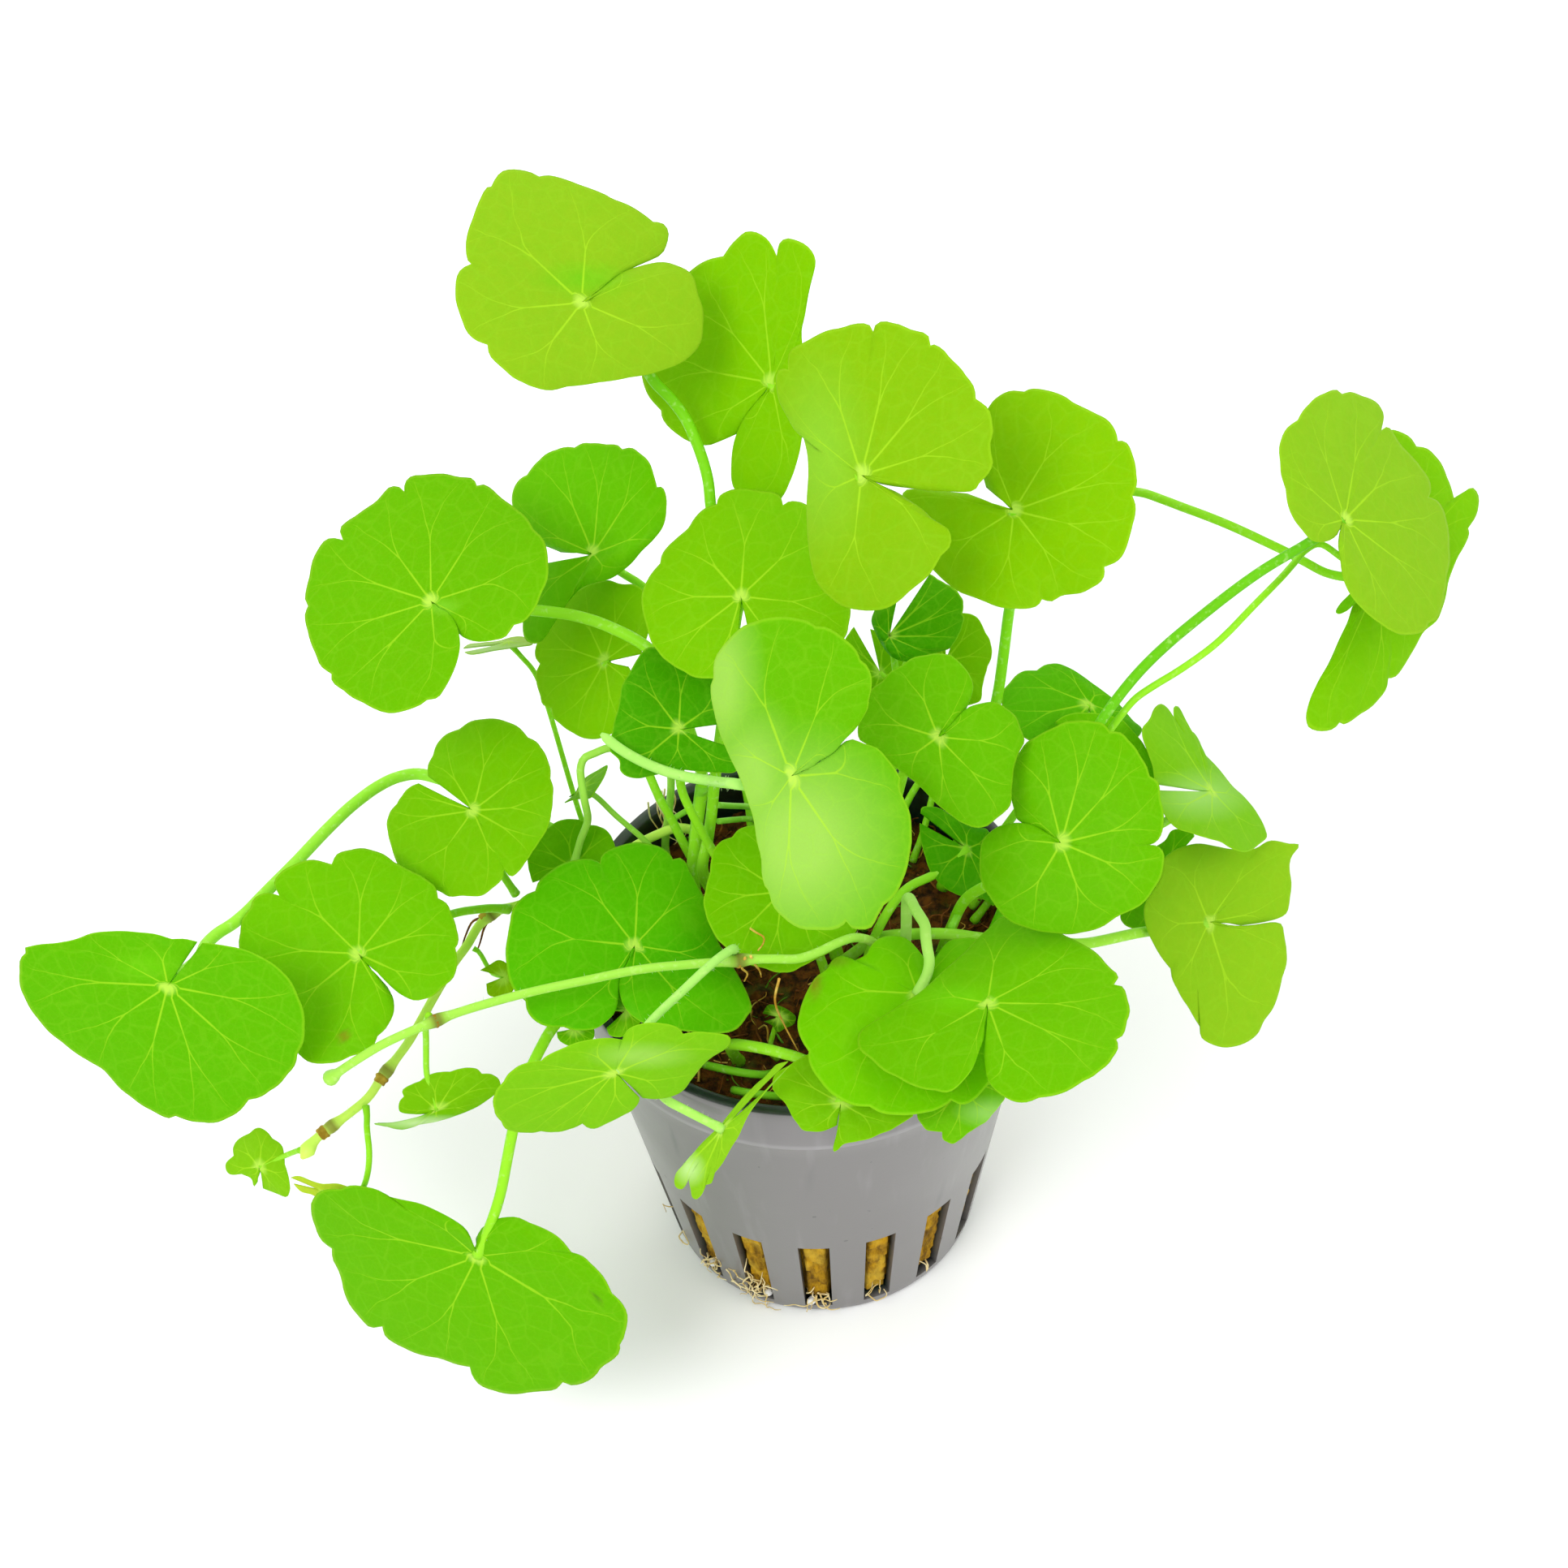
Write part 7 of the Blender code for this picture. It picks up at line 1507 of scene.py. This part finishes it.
# The curly root at the front runner's joint.
for pts in (
    ["900,1122,57", "914,1136,58", "930,1148,59.5", "941,1155,60.5", "940,1163,61.3", "934,1171,62.4"],
    ["925,1178,62.6", "930,1188,60", "936,1196,57.5", "938,1204,55"],
    ["918,1180,62.5", "914,1192,60.5", "921,1200,58", "917,1209,56"],
    ["960,1206,58", "955,1235,54", "966,1262,51", "978,1285,49.5", "984,1296,48"],
):
    k = [tuple(float(x) for x in q.split(",")) for q in pts]
    amber.append((spline([at_height(np.array(u), np.array(v), z) for u, v, z in k], step=0.4), 0.16))
for pts in (["604,1130,47", "596,1145,45.5", "592,1160,44.5", "587,1174,43.5"], ["600,1131,47", "590,1142,46", "584,1150,45", "580,1160,44.3"], ["596,1130,47.2", "582,1136,46", "574,1152,45", "567,1174,44"]):
    k = [tuple(float(x) for x in q.split(",")) for q in pts]
    brown.append((spline([at_height(np.array(u), np.array(v), z) for u, v, z in k], step=0.4), 0.17))
# Cream roots over the left inside of the rim.
for i in range(11):
    u, v = rng.uniform(790, 830), rng.uniform(960, 990)
    k = [(u, v, 52.5), (u + rng.uniform(0, 16), v + 18, 50.5), (u + rng.uniform(4, 26), v + 36, 48.2), (u + rng.uniform(4, 34), v + 52, 46.2)]
    line = spline([at_height(np.array(a), np.array(b), z) for a, b, z in k], step=0.4)
    rr = np.hypot(line[:, 0], line[:, 1])
    line[:, :2] *= np.minimum(1.0, 22.3 / rr)[:, None]
    pale.append((line, 0.12))
threads("roots_pale", pale, CREAM)
threads("moss_brown", brown, BROWN)
threads("moss_green", olive, OLIVE)
threads("roots_amber", amber, AMBER)


def at_slot(a):
    def keep(p):
        r = math.hypot(p[0], p[1])
        w = float(wall_radius(p[2]))
        most = w + 0.75
        if r > most:
            p[:2] *= most / r
        if w - 1.3 < r < w + 0.2:
            # in the opening, between its sides
            ang = math.atan2(p[0], -p[1]) - a
            ang = min(max((ang + math.pi) % (2 * math.pi) - math.pi, -0.07), 0.07) + a
            p[0], p[1] = r * math.sin(ang), -r * math.cos(ang)
        p[2] = max(p[2], 0.35)
        return p

    return keep


cream, lumps = [], []
pitch = 2 * math.pi / 17
for s in range(17):
    a = -0.071 + s * pitch
    busy = {16: 13, 15: 9, 0: 9, 1: 3, 2: 1, 3: 0, 4: 0, 13: 0, 14: 2}.get(s, 2)
    for i in range(busy):
        z = rng.uniform(2.2, 5.5)
        w = float(wall_radius(z))
        aa = a + rng.uniform(-0.06, 0.06)
        r0 = w - rng.uniform(0.2, 0.8)
        start = (r0 * math.sin(aa), -r0 * math.cos(aa), z)
        head = (math.sin(aa) + rng.normal(0, 0.5), -math.cos(aa) + rng.normal(0, 0.5), rng.normal(-0.2, 0.5))
        cream.append((wander(start, head, int(rng.integers(5, 10)), 0.75, 0.6, at_slot(a)), rng.uniform(0.07, 0.13)))
    for i in range({16: 1, 0: 1, 15: 1}.get(s, 0)):
        aa, z = a + rng.uniform(-0.05, 0.055), rng.uniform(2.0, 3.3)
        r0 = float(wall_radius(z)) - 0.35
        lumps.append((r0 * math.sin(aa), -r0 * math.cos(aa), z, rng.uniform(0.35, 0.62)))
# A few strands lie on the outside wall between the two left front slots.
for i in range(7):
    aa = -0.071 - pitch * 1.0 + rng.uniform(-0.22, -0.06)
    z = rng.uniform(1.6, 6.0)
    r0 = float(wall_radius(z)) + 0.2

    def outside(p):
        r = math.hypot(p[0], p[1])
        w = float(wall_radius(p[2])) + 0.16
        p[:2] *= min(max(r, w), w + 0.5) / r
        p[2] = min(max(p[2], 0.6), 8.0)
        return p

    cream.append((wander((r0 * math.sin(aa), -r0 * math.cos(aa), z), (1, -0.3, rng.normal(0, 0.7)), 8, 0.7, 0.5, outside), 0.10))
threads("roots_cream", cream, CREAM)

V, F, k = [], [], 0
for x, y, z, r in lumps:
    rows = []
    for i in range(1, 7):
        t = math.pi * i / 7
        aa = np.arange(10) * 2 * math.pi / 10
        rows.append(np.stack([np.sin(t) * np.cos(aa), np.sin(t) * np.sin(aa), np.full(10, math.cos(t))], 1))
    p = np.vstack(rows + [[[0, 0, 1.0]], [[0, 0, -1.0]]])
    p = p * (r * (1 + 0.22 * bumpy(p * 1.4, x))[:, None])
    f = [(i * 10 + j, (i + 1) * 10 + j, (i + 1) * 10 + (j + 1) % 10) for i in range(5) for j in range(10)]
    f += [(i * 10 + j, (i + 1) * 10 + (j + 1) % 10, i * 10 + (j + 1) % 10) for i in range(5) for j in range(10)]
    f += [(60, j, (j + 1) % 10) for j in range(10)] + [(61, 50 + (j + 1) % 10, 50 + j) for j in range(10)]
    V.append(p + [x, y, max(z, r + 0.4)])
    F.append(np.array(f) + k)
    k += len(p)
perlite = make("perlite", np.vstack(V), np.vstack(F), [WHITE])
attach(perlite, "root")


# ---------------------------------------------------------------- short stems and sheaths
SHORT = (
    ("865,969,60 860,1005,55 855,1045,50 853,1078,45.5", 0.72, (150, 226, 60)),
    ("839,969,62 845,984,57 849,997,52 856,1012,47", 0.36, (165, 232, 80)),
    ("885,992,58 902,993,56 922,994,53 938,1000,48", 0.34, (165, 232, 80)),
    ("885,1012,55 905,1010,53.5 925,1009,51 938,1016,46", 0.34, (160, 230, 70)),
    ("825,1012,50 836,1005,50.5 848,998,51 862,990,50", 0.34, (160, 230, 70)),
    ("1172,1143,52 1182,1124,51 1192,1106,49 1196,1090,46", 0.40, (150, 226, 60)),
    ("860,1090,46 866,1085,47 875,1080,46.5", 0.5, (170, 210, 70)),
    ("868,1312,45 886,1316,46 905,1320,46.3 925,1323,46.2 941,1324,45.6 953,1322,44.6", 0.44, (140, 222, 40)),
    ("903,1343,45 925,1347,45.8 950,1350,45.6 975,1352,44.5", 0.44, (140, 222, 40)),
)
V, F, col, k = [], [], [], 0
for text, radius, tint in SHORT:
    q = [tuple(float(x) for x in w.split(",")) for w in text.split()]
    line = spline([at_height(np.array(a), np.array(b), z) for a, b, z in q], step=0.5)
    v, f = tube(line, radius * np.linspace(1.0, 0.94, len(line)), 10)
    V.append(v)
    F.append(f + k)
    col.append(np.tile(linear(tint), (len(v), 1)))
    k += len(v)
V, F, col = np.vstack(V), np.vstack(F), np.vstack(col)
short = make("short_stems", V, F, [STEM], None, {"shade": np.zeros(len(V))}, {"tint": col, "stain_and_painted_light": col})
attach(short, "root")

SHEATH = thread_material("sheath_brown", (140, 110, 14), (190, 160, 50), 0.8)
lines = []
for key, nodes, size in (("A", (5, 12), 1.45), ("C", (7, 13, 16), 1.5)):
    path, radius = runners[key]
    pts = runner_keys(key)[2]
    for i in nodes:
        m0 = int(np.argmin(np.linalg.norm(path - pts[i - 1], axis=1)))
        a = path[max(m0 - 1, 0)]
        c = path[min(m0 + 1, len(path) - 1)]
        d = (c - a) / (np.linalg.norm(c - a) + 1e-9)
        p = path[m0]
        lines.append((p, d, radius * size))
V, F, k = [], [], 0
for n0, (p, d, r) in enumerate(lines):
    t = np.linspace(-1, 1, 9)
    path = p + np.outer(t * 0.58, d)
    rr = r * (1.0 - 0.32 * t**2) * (1 + 0.10 * np.sin(5 * t + n0))
    v, f = tube(path, rr, 10)
    v = v + 0.07 * np.stack([bumpy(v * 1.7, 1.0 + n0), bumpy(v * 1.9, 4.0), bumpy(v * 1.6, 7.0)], 1)
    V.append(v)
    F.append(f + k)
    k += len(v)
sheath = make("sheaths", np.vstack(V), np.vstack(F), [SHEATH])
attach(sheath, "root")


# ---------------------------------------------------------------- stage, light and camera
def studio():
    mesh = bpy.data.meshes.new("floor")
    s = 6.0
    mesh.from_pydata([(-s, -s, -0.0001), (s, -s, -0.0001), (s, s, -0.0001), (-s, s, -0.0001)], [], [(0, 1, 2, 3)])
    m = Net("floor_white")
    p = m.shader((0.93, 0.93, 0.93), 0.9, None, Specular_IOR_Level=0.0)
    mesh.materials.append(m.done(p))
    floor = bpy.data.objects.new("floor", mesh)
    bpy.context.scene.collection.objects.link(floor)
    world = bpy.data.worlds.new("studio")
    bpy.context.scene.world = world
    world.use_nodes = True
    world.node_tree.nodes["Background"].inputs[0].default_value = (1, 1, 1, 1)
    world.node_tree.nodes["Background"].inputs[1].default_value = WORLD
    for name, where, size, power in LIGHTS:
        light = bpy.data.lights.new(name, "AREA")
        light.shape, light.size, light.energy = "DISK", size, power
        ob = bpy.data.objects.new(name, light)
        ob.location = where
        ob.rotation_mode = "QUATERNION"
        ob.rotation_quaternion = (Vector((0, 0, 0.05)) - Vector(where)).to_track_quat("-Z", "Y")
        bpy.context.scene.collection.objects.link(ob)
    cam = bpy.data.cameras.new("camera")
    cam.sensor_width = 36.0
    cam.lens = REACH / 1932.0 * 36.0
    cam.clip_start, cam.clip_end = 0.01, 20.0
    ob = bpy.data.objects.new("camera", cam)
    bpy.context.scene.collection.objects.link(ob)
    rows = [[ACROSS[i], UPWARD[i], -AHEAD[i], EYE[i] * MM] for i in range(3)]
    ob.matrix_world = Matrix(rows + [[0, 0, 0, 1]])
    bpy.context.scene.camera = ob
    bpy.context.scene.view_settings.view_transform = "Standard"
    bpy.context.scene.view_settings.look = "None"


WORLD = 1.0
LIGHTS = [("key", (-0.35, -0.45, 0.75), 0.45, 3.6), ("fill", (0.55, -0.25, 0.55), 0.5, 1.2), ("back", (0.1, 0.6, 0.6), 0.5, 1.2)]
studio()

bpy.context.view_layer.update()
